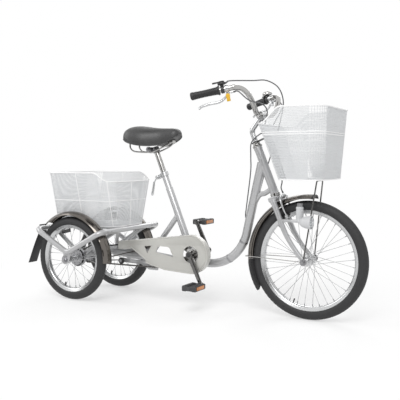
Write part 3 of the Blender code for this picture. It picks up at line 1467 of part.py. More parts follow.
def basket(floor, rim, band):
    """A wire basket: a cage between a floor loop and a rim loop with a band, made into wires."""
    work = bmesh.new()
    rows = []
    for share in (0.0, band, 1.0):
        rows.append([work.verts.new(low.lerp(high, share)) for low, high in zip(floor, rim)])
    count = len(floor)
    for before, after in zip(rows, rows[1:]):
        for index in range(count):
            following = (index + 1) % count
            work.faces.new((before[index], before[following], after[following], after[index]))
    base = rows[0]
    half = count // 2 - 1
    for index in range(half - 1):
        opposite = 2 * half - index
        work.faces.new((base[index], base[opposite], base[opposite - 1], base[index + 1]))
    work.faces.new((base[count - 1], base[2 * half], base[0]))
    work.faces.new((base[half - 1], base[half + 1], base[half]))
    obj = from_bmesh(work)
    wires = obj.modifiers.new("wires", "WIREFRAME")
    wires.thickness = WIRE
    wires.use_boundary = True
    wires.use_even_offset = True
    wires.use_relative_offset = False
    wires.offset = 0.0
    return baked(obj)


def front_basket():
    """Basket over the front wheel, its back wall laid along the head tube and lower at the back."""
    low_h = FRONT_BASKET_H - FRONT_BASKET_DIP
    corner = FRONT_BASKET_X1 - BASKET_STAY_X
    floor = rounded_loop(
        FRONT_BASKET_X0, FRONT_BASKET_X1, FRONT_BASKET_HALF, corner, lambda x: FRONT_BASKET_Z0,
    )
    rim_x0 = FRONT_BASKET_X0 - FRONT_BASKET_BACK_LEAN * low_h
    rim_x1 = FRONT_BASKET_X1 + FRONT_BASKET_FRONT_LEAN * FRONT_BASKET_H

    def rim_height(x):
        share = min(1.0, max(0.0, (x - rim_x0 - 0.023) / RIM_DIP_RUN))
        return FRONT_BASKET_Z0 + low_h + FRONT_BASKET_DIP * share

    rim = rounded_loop(rim_x0, rim_x1, FRONT_BASKET_HALF + FRONT_BASKET_FLARE, 0.055, rim_height)
    return basket(floor, rim, FRONT_BASKET_BAND)


def rear_basket():
    """Basket between the rear wheels, lower at its front wall."""
    z0 = LOOP_Z + LOOP_R + GAP + WIRE / 2
    floor = rounded_loop(LOOP_REAR_X + 0.020, LOOP_FRONT_X - 0.006, REAR_BASKET_HALF, 0.040, lambda x: z0)
    rim_x1 = LOOP_FRONT_X + 0.007

    def rim_height(x):
        share = min(1.0, max(0.0, (rim_x1 - 0.003 - x) / RIM_DIP_RUN))
        return z0 + REAR_BASKET_H - REAR_BASKET_DIP * (1 - share)

    rim_half = REAR_BASKET_HALF + REAR_BASKET_FLARE
    rim = rounded_loop(LOOP_REAR_X + 0.010, rim_x1, rim_half, 0.060, rim_height)
    return basket(floor, rim, REAR_BASKET_BAND)


def basket_bracket():
    """Strap from under the lock nut forward to the front basket's back wall."""
    thick = 0.003
    lower = head_point(HEAD_LENGTH + HEAD_SKIRT + GAP + 0.0215)
    strap = ring(STEERER_R + GAP, 0.0185, lower, lower + HEAD_UP * thick, 12)
    wall = Vector((FRONT_BASKET_X0 - WIRE / 2 - 0.001, 0.0, FRONT_BASKET_Z0))
    wall_up = Vector((-FRONT_BASKET_BACK_LEAN, 0.0, 1.0))
    reach = crossing(lower, HEAD_FORWARD, wall, wall_up)
    start = 0.0145
    centre = lower + HEAD_UP * thick / 2 + HEAD_FORWARD * (start + reach) / 2
    tongue = block((reach - start, 0.026, thick), centre, (HEAD_FORWARD, SIDE, HEAD_UP))
    return union(strap, tongue)


# Rear frame

def rear_frame():
    """The welded rear half: loop tube, axle carriers, basket rails, guard plates and the lean shaft."""
    corners = []
    for side in (-1, 1):
        run = [Vector((x, side * LOOP_Y, z)) for x, z in (
            (LOOP_FRONT_X, LOOP_Z), (LOOP_DIP_X, LOOP_DIP_Z), (LOOP_REAR_X, LOOP_Z))]
        corners += run if side < 0 else list(reversed(run))
    frame = tube(bent(corners, LOOP_BEND, closed=True, steps=2), LOOP_R, 8, closed=True)
    for side in (-1, 1):
        frame = union(frame, *axle_carrier(side), *pivot_struts(side), guard_plate(side), guard_boss(side))
    block_end = rod((SWING_BLOCK_X0, 0, SWING_Z), (SWING_HOUSING_X0 - 0.002, 0, SWING_Z), SWING_BLOCK_R, 12)
    shaft_end = (SWING_HOUSING_X1 - 0.040, 0, SWING_Z)
    shaft = rod((SWING_HOUSING_X0 - 0.01, 0, SWING_Z), shaft_end, SWING_SHAFT_R, 12)
    frame = union(frame, block_end, shaft)
    across = SIDE * (LOOP_Y + 0.03)
    return cut(frame, drill(REAR_AXLE - across, REAR_AXLE + across, REAR_AXLE_R + RUNNING, 12))


def axle_carrier(side):
    """Bent tube that hangs an axle bearing under the loop, the bearing, and a rail for the basket."""
    line = SIDE * side * INNER_Y
    top = LOOP_Z - 0.002
    run = bent([Vector((LOOP_FRONT_X, 0.0, top)) + line, REAR_AXLE + Vector((0.0, 0.0, 0.004)) + line,
                Vector((LOOP_REAR_X, 0.0, top)) + line], INNER_BEND, steps=3)
    half = SIDE * BEARING_T / 2
    bearing = rod(REAR_AXLE + line - half, REAR_AXLE + line + half, BEARING_R, 12)
    rail_z = LOOP_Z + LOOP_R - RAIL_R
    rail = rod((LOOP_REAR_X, side * RAIL_Y, rail_z), (LOOP_FRONT_X, side * RAIL_Y, rail_z), RAIL_R, 6)
    return tube(run, INNER_R, 6), bearing, rail


def pivot_struts(side):
    """Two tubes from the lean pivot's block: up to the loop and back to the axle carrier."""
    up = rod((LOOP_FRONT_X - 0.004, side * STRUT_TOP_Y, LOOP_Z - 0.006),
             (SWING_BLOCK_X0 + 0.015, side * 0.010, SWING_Z + 0.014), STRUT_R, 6)
    back = rod((SWING_BLOCK_X0 + 0.010, side * 0.006, SWING_Z - 0.002),
               (0.006, side * (INNER_Y - 0.004), REAR_AXLE.z + 0.004), STRUT_R, 6)
    return up, back


def guard_plate(side):
    """Plate under the loop's dip that takes the end of the axle."""
    foot = REAR_AXLE.z
    top = LOOP_DIP_Z + 0.012
    outline = [(-0.022, foot - 0.014), (-0.010, foot - 0.022), (0.010, foot - 0.022), (0.022, foot - 0.014),
               (LOOP_DIP_X + 0.019, top), (LOOP_DIP_X - 0.019, top)]
    return side_plate(outline, side * PLATE_Y, side * (PLATE_Y + PLATE_WALL))


def guard_boss(side):
    """Short post from the loop to the mudguard."""
    top = Vector((LOOP_FRONT_X, 0.0, LOOP_Z))
    toward = (top - REAR_AXLE).normalized()
    middle = SIDE * side * TRACK / 2
    end = REAR_AXLE + toward * (REAR_FENDER_R + FENDER_T / 2 + GAP)
    return rod(top + middle, end + middle, 0.005, 6)


def brake_cover():
    """Fixed cup over the band brake on the right wheel's inner side."""
    outer = DRUM_R + 0.006
    seat = INNER_Y + BEARING_T / 2 + GAP
    back = seat - DRUM_Y0
    bore = REAR_AXLE_R + 0.004
    profile = [(bore, 0.0), (bore, 0.002), (outer - 0.002, 0.002), (outer - 0.002, -back), (outer, -back),
               (outer, 0.0)]
    return turned(profile, 12, REAR_AXLE - SIDE * seat, -SIDE, closed=True)


# Cables

def from_bar(*offsets):
    """Points given from the middle of the bar's clamp."""
    return [BAR_CLAMP + Vector(offset) for offset in offsets]


def from_head(*offsets):
    """Points given from the foot of the head tube."""
    return [HEAD_FOOT + Vector(offset) for offset in offsets]


def from_lever(side):
    """The first two points of a cable that leaves a brake lever's clamp."""
    out, hinge, down = lever_frame(side)
    start = perch_mouth(side) - out * 0.0008
    return [start, start - out * 0.020 + down * 0.002]


def front_brake_cable():
    """From the right lever, forward over the bar and down behind the basket to the front brake."""
    eye_top = head_point(-CALIPER_D + 0.0112, CALIPER_EYES[1] + 0.003, 0.0)
    points = from_lever(-1)
    points += from_bar((0.021, -0.178, 0.050), (0.044, -0.100, 0.040), (0.044, -0.048, 0.012),
                       (0.029, -0.034, -0.048))
    points += from_head((-0.012, -0.030, 0.203), (0.016, -0.030, 0.123), (0.038, -0.020, 0.063))
    points += [eye_top + HEAD_UP * 0.025, eye_top]
    return tube(smooth(points, 2), CABLE_R, 6)


def shift_cable():
    """From the thumb shifter, over the top and down behind the basket to the frame's left side."""
    out, hinge, down = lever_frame(-1)
    start = bar_point(SHIFT_BACK, -1) - down * (SHIFT_POD_TOP - 0.0042) - out * (SHIFT_POD_R + 0.0016)
    points = [start, start - out * 0.018 + Vector((0, 0, 0.004))]
    points += from_bar((0.022, -0.150, 0.130), (0.054, -0.080, 0.136), (0.078, -0.010, 0.112),
                       (0.082, 0.034, 0.057), (0.066, 0.044, -0.018))
    points += from_head((-0.020, 0.040, 0.223), (-0.043, 0.036, 0.143), (-0.065, 0.0285, 0.073))
    points.append(main_tube_at(HEAD_FOOT.z + 0.003) + Vector((0.009, MAIN_TUBE_R + CABLE_R + 0.001, 0.0)))
    return tube(smooth(points, 2), CABLE_R, 6)


def rear_brake_cable():
    """From the left lever round the stem, down the main tube's left side and under it to the rear brake."""
    beside = MAIN_TUBE_R + CABLE_R + 0.0012
    points = from_lever(1)
    points += from_bar((0.022, 0.178, 0.054), (0.049, 0.110, 0.042), (0.049, 0.060, 0.002),
                       (0.024, 0.026, -0.058), (-0.006, -0.010, -0.078), (-0.034, -0.032, -0.113))
    points += from_head((-0.100, -0.030, 0.163), (-0.102, -0.026, 0.093))
    points += [main_tube_point(0.235) + Vector((-beside * 0.80, -beside * 0.70, 0.014)),
               main_tube_point(0.205) + Vector((-beside * 1.04, 0.0, 0.0)),
               main_tube_point(0.170) + Vector((-beside * 0.72, beside * 0.74, 0.0))]
    for length in (0.110, 0.020, -0.070, -0.150, -0.270):
        points.append(main_tube_point(length) + SIDE * beside)
    low = SWING_Z - SWING_HOUSING_R - 0.006
    under = MAIN_TUBE_Z - MAIN_TUBE_R - 0.0035
    cover = REAR_AXLE - SIDE * (DRUM_Y0 + INNER_Y + BEARING_T / 2) / 2
    points += [
        Vector((SWING_HOUSING_X1 + 0.075, 0.014, under)),
        Vector((SWING_HOUSING_X1 + 0.015, 0.0, under + 0.001)),
        Vector((SWING_HOUSING_X0, -0.016, low)),
        Vector((SWING_BLOCK_X0 + 0.015, -0.050, low)),
        Vector((SWING_BLOCK_X0 - 0.030, 0.013 - INNER_Y, low + 0.003)),
        cover + Vector((DRUM_R + 0.022, 0.0, -0.012)),
        cover + Vector((DRUM_R + 0.0068, 0.0, -0.006)),
    ]
    return tube(smooth(points, 2), CABLE_R, 6)


def main_tube_point(length):
    """A point on the main tube's axis, measured from the middle of its bend: up is positive."""
    corner = main_tube_corner()
    half = math.radians(90) / 2 - MAIN_TUBE_LEAN / 2
    reach = MAIN_TUBE_BEND * math.tan(half)
    turn = MAIN_TUBE_BEND * half
    if length >= turn:
        return corner + main_tube_lean() * (reach + length - turn)
    if length <= -turn:
        return corner - Vector((1.0, 0.0, 0.0)) * (reach - length - turn)
    centre = corner + Vector((-reach, 0.0, MAIN_TUBE_BEND))
    angle = -math.pi / 2 + half + length / MAIN_TUBE_BEND
    return centre + Vector((math.cos(angle), 0.0, math.sin(angle))) * MAIN_TUBE_BEND


def build():
    """Make every piece and hang it on its body."""
    model = Model()
    right_wheel = REAR_AXLE - SIDE * TRACK / 2
    left_wheel = REAR_AXLE + SIDE * TRACK / 2
    anchors = {
        "main_frame": Vector((SWING_HOUSING_X0, 0.0, SWING_Z)),
        "rear_frame": Vector((0.0, 0.0, 0.0)),
        "steering": HEAD_FOOT,
        "front_wheel": FRONT_AXLE,
        "right_wheel": right_wheel,
        "left_wheel": left_wheel,
        "crank": CRANK_AXIS,
        "sprocket": REAR_AXLE + SIDE * CHAIN_Y,
        "pedal_right": pedal_centre(-1),
        "pedal_left": pedal_centre(1),
        "pulley": pulley_centre(),
        "seat": seat_point(SEAT_SLEEVE_Z),
        "clamp_lever": clamp_pivot(),
        "brake_lever_right": lever_pivot(-1),
        "brake_lever_left": lever_pivot(1),
        "lock_tab": lever_pivot(-1),
        "shift_lever": bar_point(SHIFT_BACK, -1),
        "bell_lever": bell_pivot(),
        "caliper_right": head_point(-CALIPER_D, CALIPER_EYES[-1]),
        "caliper_left": head_point(-CALIPER_D, CALIPER_EYES[1]),
        "dynamo": LAMP_PIN,
        "dynamo_roller": DYNAMO_AT,
    }
    for name, anchor in anchors.items():
        model.body(name, anchor)

    add = model.add
    add(main_frame(), "main_frame", "main_frame", "silver_paint")
    add(bottom_bracket(), "bottom_bracket", "main_frame", "steel")
    add(chain_case(), "chain_case", "main_frame", "champagne_paint")
    add(chain(), "chain", "main_frame", "steel")
    add(seat_clamp(), "seat_clamp", "main_frame", "aluminium")
    add(tension_pulley(), "tension_pulley", "pulley", "black_plastic")
    add(clamp_lever(), "seat_clamp_lever", "clamp_lever", "aluminium")
    add(seat_post(), "seat_post", "seat", "chrome")
    add(saddle_clamp(), "saddle_clamp", "seat", "steel")
    add(saddle_rails(), "saddle_rails", "seat", "chrome")
    add(saddle(), "saddle", "seat", "saddle_vinyl")

    add(fork(), "fork", "steering", "silver_paint")
    add(headset_top(), "headset_top", "steering", "chrome")
    add(stem(), "stem", "steering", "aluminium")
    add(handlebar(), "handlebar", "steering", "chrome")
    add(front_axle(), "front_axle", "steering", "steel")
    add(front_basket(), "front_basket", "steering", "white_wire")
    add(basket_bracket(), "basket_bracket", "steering", "black_plastic")
    add(basket_stay(), "basket_stay", "steering", "chrome")
    add(guard(FRONT_AXLE, FRONT_FENDER_R, FRONT_FENDER_ARC), "front_fender", "steering", "chrome")
    add(front_fender_stay(), "front_fender_stay", "steering", "chrome")
    add(front_flap(), "front_flap", "steering", "black_plastic")
    add(front_brake_cable(), "front_brake_cable", "steering", "black_plastic")
    add(shift_cable(), "shift_cable", "steering", "black_plastic")
    add(rear_brake_cable(), "rear_brake_cable", "steering", "black_plastic")
    for side, hand in ((-1, "right"), (1, "left")):
        add(grip(side), "grip_" + hand, "steering", "black_plastic")
        add(brake_perch(side), "brake_perch_" + hand, "steering", "aluminium")
        add(brake_lever(side), "brake_lever_" + hand, "brake_lever_" + hand, "aluminium")
        add(caliper_arm(side), "caliper_arm_" + hand, "caliper_" + hand, "aluminium")
    add(lock_tab(), "parking_lock", "lock_tab", "yellow_plastic")
    add(shifter_body(), "shifter_body", "steering", "black_plastic")
    add(shift_lever(), "shift_lever", "shift_lever", "black_plastic")
    add(bell(), "bell", "steering", "aluminium")
    add(bell_lever(), "bell_lever", "bell_lever", "black_plastic")
    add(dynamo_lamp(), "dynamo_lamp", "dynamo", "grey_plastic")
    add(dynamo_roller(), "dynamo_roller", "dynamo_roller", "steel")

    add(tyre(FRONT_AXLE, FRONT_TYRE_R, FRONT_SEGMENTS), "front_tyre", "front_wheel", "tyre_rubber")
    front_laced = wheel(FRONT_AXLE, FRONT_TYRE_R, FRONT_SEGMENTS, FRONT_AXLE_R + RUNNING)
    add(front_laced, "front_wheel", "front_wheel", "aluminium")

    for side, hand in ((-1, "right"), (1, "left")):
        add(crank_arm(side), "crank_" + hand, "crank", "chrome")
        add(pedal(side), "pedal_" + hand, "pedal_" + hand, "black_plastic")
    add(sprocket(), "sprocket", "sprocket", "steel")

    add(rear_frame(), "rear_frame", "rear_frame", "silver_paint")
    add(rear_basket(), "rear_basket", "rear_frame", "white_wire")
    add(brake_cover(), "brake_cover", "rear_frame", "steel")
    add(rear_axle(), "rear_axle", "right_wheel", "steel")
    for side, hand, centre in ((-1, "right", right_wheel), (1, "left", left_wheel)):
        body = hand + "_wheel"
        add(tyre(centre, REAR_TYRE_R, REAR_SEGMENTS), hand + "_tyre", body, "tyre_rubber")
        laced = wheel(centre, REAR_TYRE_R, REAR_SEGMENTS, REAR_AXLE_R + RUNNING, 1 if side < 0 else 0)
        add(laced, hand + "_wheel", body, "aluminium")
        add(guard(centre, REAR_FENDER_R, REAR_FENDER_ARC), "rear_fender_" + hand, "rear_frame", "chrome")
        add(rear_flap(side), "rear_flap_" + hand, "rear_frame", "black_plastic")


for old in list(bpy.data.objects):
    bpy.data.objects.remove(old)
build()
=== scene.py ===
"""Looks of the adult tricycle: every finish, the laced wheels, the wire baskets, the saddle and the cables.

All sizes are in metres in a bench frame: x runs forward from the rear axle, y to the rider's left and z up.
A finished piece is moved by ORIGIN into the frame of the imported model.
"""
from __future__ import annotations

import json
import logging
import math
from dataclasses import dataclass
from enum import Enum
from typing import Callable, Sequence

import bmesh
import bpy
from mathutils import Matrix, Vector

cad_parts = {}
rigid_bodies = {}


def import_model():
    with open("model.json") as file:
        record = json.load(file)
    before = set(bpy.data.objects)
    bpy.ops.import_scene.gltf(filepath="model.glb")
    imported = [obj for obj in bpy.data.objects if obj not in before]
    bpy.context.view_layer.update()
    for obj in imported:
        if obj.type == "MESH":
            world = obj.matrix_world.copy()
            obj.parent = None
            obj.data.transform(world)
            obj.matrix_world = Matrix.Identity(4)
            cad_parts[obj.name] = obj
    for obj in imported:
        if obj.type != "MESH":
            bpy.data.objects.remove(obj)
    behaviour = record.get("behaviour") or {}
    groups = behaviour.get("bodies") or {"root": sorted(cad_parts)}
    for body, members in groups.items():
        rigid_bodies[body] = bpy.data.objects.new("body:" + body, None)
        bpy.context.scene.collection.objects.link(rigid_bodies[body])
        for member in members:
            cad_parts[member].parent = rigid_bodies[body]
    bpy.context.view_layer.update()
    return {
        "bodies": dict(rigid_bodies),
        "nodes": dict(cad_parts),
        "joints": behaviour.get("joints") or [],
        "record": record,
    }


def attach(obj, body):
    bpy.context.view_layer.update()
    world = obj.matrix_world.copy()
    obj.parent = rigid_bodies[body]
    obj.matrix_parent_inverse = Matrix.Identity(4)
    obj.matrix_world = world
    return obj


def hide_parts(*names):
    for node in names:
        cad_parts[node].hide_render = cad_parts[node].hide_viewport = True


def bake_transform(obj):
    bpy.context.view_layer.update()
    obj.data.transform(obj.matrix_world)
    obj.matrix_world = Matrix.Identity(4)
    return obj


LOG = logging.getLogger("tricycle")
ORIGIN = Vector((-0.54975, 0.0, 0.0))
X = Vector((1.0, 0.0, 0.0))
SIDE = Vector((0.0, 1.0, 0.0))
UP = Vector((0.0, 0.0, 1.0))
GAP = 0.0003
Profile = Sequence[tuple[float, float]]
WHITE = (1.0, 1.0, 1.0, 1.0)


def feed(tree: bpy.types.NodeTree, made: bpy.types.Node, inputs: dict[str | int, object]) -> bpy.types.Node:
    """Link each socket that is given to an input of a node, and set each plain value.

    Args:
        tree: Node tree of the node.
        made: The node.
        inputs: What goes into its inputs, by name or number.

    Returns:
        The node.
    """
    for name, value in inputs.items():
        if isinstance(value, bpy.types.NodeSocket):
            tree.links.new(value, made.inputs[name])
        else:
            made.inputs[name].default_value = value
    return made


def node(tree: bpy.types.NodeTree, kind: str, inputs: dict[str | int, object],
         **options: str) -> bpy.types.Node:
    """Add a shader node.

    Args:
        tree: Node tree to add to.
        kind: Its type, without the word that all types start with.
        inputs: What goes into its inputs, by name or number.
        options: Settings of the node itself.

    Returns:
        The node.
    """
    made = tree.nodes.new("ShaderNode" + kind)
    for name, value in options.items():
        setattr(made, name, value)
    return feed(tree, made, inputs)


class Grain(Enum):
    """The kind of fine detail that a finish shows."""

    FLAKE = "flake"
    BRUSHED = "brushed"
    LEATHER = "leather"
    MOULDED = "moulded"


@dataclass(frozen=True)
class Finish:
    """One surface: its colour, gloss, and the fine detail that its nodes add.

    Attributes:
        name: Material name.
        slot: The record's material slot that it belongs to.
        colour: Linear base colour.
        roughness: Middle roughness.
        metallic: Metallic value.
        grain: Kind of fine detail.
        scale: Size of the fine detail, in 1/m.
        bump: Height of the fine detail, in metres.
        swing: How far the detail darkens and lightens the colour.
        rough_swing: How far the detail moves the roughness.
        coat: Clear coat weight.
        worn: How much raised edges lighten from handling.
        clear: Transmission weight.
    """

    name: str
    slot: str
    colour: tuple[float, float, float]
    roughness: float
    metallic: float = 0.0
    grain: Grain = Grain.MOULDED
    scale: float = 900.0
    bump: float = 0.00002
    swing: float = 0.06
    rough_swing: float = 0.08
    coat: float = 0.0
    worn: float = 0.0
    clear: float = 0.0

    def material(self) -> bpy.types.Material:
        """Make or fetch the node material.

        Returns:
            The material.
        """
        found = bpy.data.materials.get(self.name)
        if found:
            return found
        made = bpy.data.materials.new(self.name)
        made.use_nodes = True
        tree = made.node_tree
        place = node(tree, "TexCoord", {}).outputs["Object"]
        fine = self._fine(tree, place)
        cloud = node(tree, "TexNoise", {"Scale": 14.0, "Detail": 4.0, "Vector": place})
        both = node(tree, "Mix", {"Factor": 0.5, "A": fine, "B": cloud.outputs["Fac"]}).outputs["Result"]
        spread = node(tree, "MapRange", {
            "Value": both, "From Min": 0.3, "From Max": 0.7,
            "To Min": max(0.02, self.roughness - self.rough_swing),
            "To Max": min(1.0, self.roughness + self.rough_swing)})
        bump = node(tree, "Bump", {"Strength": 0.6, "Distance": self.bump, "Height": fine})
        feed(tree, tree.nodes["Principled BSDF"], {
            "Base Color": self._colour(tree, both), "Metallic": self.metallic, "Coat Weight": self.coat,
            "Coat Roughness": 0.08, "Transmission Weight": self.clear, "Roughness": spread.outputs["Result"],
            "Normal": bump.outputs["Normal"]})
        return made

    def _fine(self, tree: bpy.types.NodeTree, place: bpy.types.NodeSocket) -> bpy.types.NodeSocket:
        """Make the fine detail of this finish.

        Args:
            tree: Node tree of the material.
            place: Its texture coordinates.

        Returns:
            A value from 0 to 1.
        """
        stretch = (0.04, 1.0, 1.0) if self.grain is Grain.BRUSHED else (1.0, 1.0, 1.0)
        spot = node(tree, "Mapping", {"Scale": stretch, "Vector": place}).outputs["Vector"]
        if self.grain is Grain.LEATHER:
            cells = node(tree, "TexVoronoi", {"Scale": self.scale, "Vector": spot}, feature="SMOOTH_F1")
            return cells.outputs["Distance"]
        flake = self.grain is Grain.FLAKE
        noise = node(tree, "TexNoise", {"Scale": self.scale, "Detail": 2.0 if flake else 5.0,
                                        "Roughness": 0.8 if flake else 0.55, "Vector": spot})
        return noise.outputs["Fac"]

    def _colour(self, tree: bpy.types.NodeTree, value: bpy.types.NodeSocket) -> bpy.types.NodeSocket:
        """Vary the colour with the detail, and lighten raised edges where the finish is worn.

        Args:
            tree: Node tree of the material.
            value: The detail's value.

        Returns:
            The colour.
        """
        ramp = node(tree, "ValToRGB", {"Fac": value})
        for element, spot, share in zip(ramp.color_ramp.elements, (0.3, 0.7), (-1.0, 1.0)):
            element.position = spot
            element.color = (*[min(1.0, c * (1.0 + share * self.swing)) for c in self.colour], 1.0)
        if not self.worn:
            return ramp.outputs["Color"]
        raised = node(tree, "NewGeometry", {}).outputs["Pointiness"]
        edge = node(tree, "MapRange", {"Value": raised, "From Min": 0.53, "From Max": 0.62,
                                       "To Max": self.worn})
        paler = (*[min(1.0, 0.25 + c) for c in self.colour], 1.0)
        mix = node(tree, "Mix", {0: edge.outputs["Result"], 6: ramp.outputs["Color"], 7: paler},
                   data_type="RGBA")
        return mix.outputs[2]

    def dress(self, obj: bpy.types.Object) -> bpy.types.Object:
        """Give a piece this finish."""
        obj.data.materials.clear()
        obj.data.materials.append(self.material())
        return obj


class Look(Enum):
    """The finishes of this tricycle."""

    SILVER = Finish("silver_lacquer", "silver_paint", (0.45, 0.452, 0.458), 0.30, 0.45, Grain.FLAKE, 2600.0,
                    0.000004, 0.07, 0.05, coat=0.6, worn=0.25)
    CHAMPAGNE = Finish("warm_silver_lacquer", "champagne_paint", (0.52, 0.515, 0.485), 0.36, 0.35,
                       Grain.FLAKE,
                       2600.0, 0.000004, 0.06, 0.06, coat=0.4, worn=0.25)
    CHROME = Finish("bright_plate", "chrome", (0.46, 0.455, 0.445), 0.10, 1.0, Grain.MOULDED, 420.0, 0.000002,
                    0.05, 0.05)
    DARK_CHROME = Finish("dark_plate", "chrome", (0.16, 0.157, 0.153), 0.16, 1.0, Grain.MOULDED, 420.0,
                         0.000002,
                         0.08, 0.06)
    STAINLESS = Finish("rolled_stainless", "chrome", (0.16, 0.147, 0.134), 0.10, 1.0, Grain.BRUSHED, 900.0,
                       0.000006, 0.10, 0.06)
    STEEL = Finish("plain_steel", "steel", (0.34, 0.34, 0.35), 0.32, 1.0, Grain.MOULDED, 700.0, 0.000008,
                   0.12,
                   0.10)
    CHAIN = Finish("oiled_steel", "steel", (0.12, 0.115, 0.11), 0.34, 0.9, Grain.MOULDED, 900.0, 0.00001,
                   0.25,
                   0.12)
    ALLOY = Finish("satin_aluminium", "aluminium", (0.58, 0.585, 0.59), 0.26, 1.0, Grain.BRUSHED, 1400.0,
                   0.000005, 0.06, 0.07)
    TYRE = Finish("tread_rubber", "tyre_rubber", (0.024, 0.024, 0.025), 0.66, 0.0, Grain.MOULDED, 1300.0,
                  0.00004,
                  0.30, 0.12)
    RUBBER = Finish("flap_rubber", "black_plastic", (0.017, 0.017, 0.018), 0.52, 0.0, Grain.MOULDED, 700.0,
                    0.00005, 0.25, 0.12, worn=0.06)
    BLACK = Finish("moulded_black", "black_plastic", (0.020, 0.020, 0.021), 0.42, 0.0, Grain.MOULDED, 1500.0,
                   0.00003, 0.18, 0.10, worn=0.08)
    PEDAL = Finish("pedal_plastic", "black_plastic", (0.045, 0.045, 0.047), 0.50, 0.0, Grain.MOULDED, 900.0,
                   0.00004, 0.20, 0.10, worn=0.10)
    CABLE = Finish("cable_sheath", "black_plastic", (0.10, 0.10, 0.105), 0.38, 0.0, Grain.MOULDED, 1500.0,
                   0.00001,
                   0.12, 0.08)
    GREY = Finish("moulded_grey", "grey_plastic", (0.56, 0.565, 0.575), 0.40, 0.0, Grain.MOULDED, 1500.0,
                  0.00002,
                  0.06, 0.08, worn=0.10)
    YELLOW = Finish("moulded_yellow", "yellow_plastic", (0.70, 0.42, 0.03), 0.36, 0.0, Grain.MOULDED, 1500.0,
                    0.00002, 0.06, 0.08)
    ORANGE = Finish("amber_reflector", "yellow_plastic", (0.60, 0.20, 0.025), 0.18, 0.0, Grain.LEATHER, 420.0,
                    0.00025, 0.30, 0.05, coat=0.6)
    LENS = Finish("clear_lens", "grey_plastic", (0.80, 0.82, 0.84), 0.07, 0.0, Grain.LEATHER, 260.0, 0.0002,
                  0.04, 0.03, clear=0.75)
    SMOKED = Finish("smoked_reflector", "black_plastic", (0.010, 0.010, 0.0105), 0.16, 0.0, Grain.LEATHER,
                    420.0,
                    0.00025, 0.30, 0.05, coat=0.6)
    WIRE = Finish("white_wire_coat", "white_wire", (0.70, 0.71, 0.72), 0.38, 0.0, Grain.MOULDED, 1500.0,
                  0.00002,
                  0.03, 0.08)
    ROD = Finish("white_rod_coat", "white_wire", (0.90, 0.90, 0.90), 0.30, 0.0, Grain.MOULDED, 1500.0,
                 0.00002,
                 0.02, 0.06)
    VINYL = Finish("grained_vinyl", "saddle_vinyl", (0.045, 0.045, 0.0455), 0.42, 0.0, Grain.LEATHER, 620.0,
                   0.00022, 0.22, 0.08, worn=0.05)


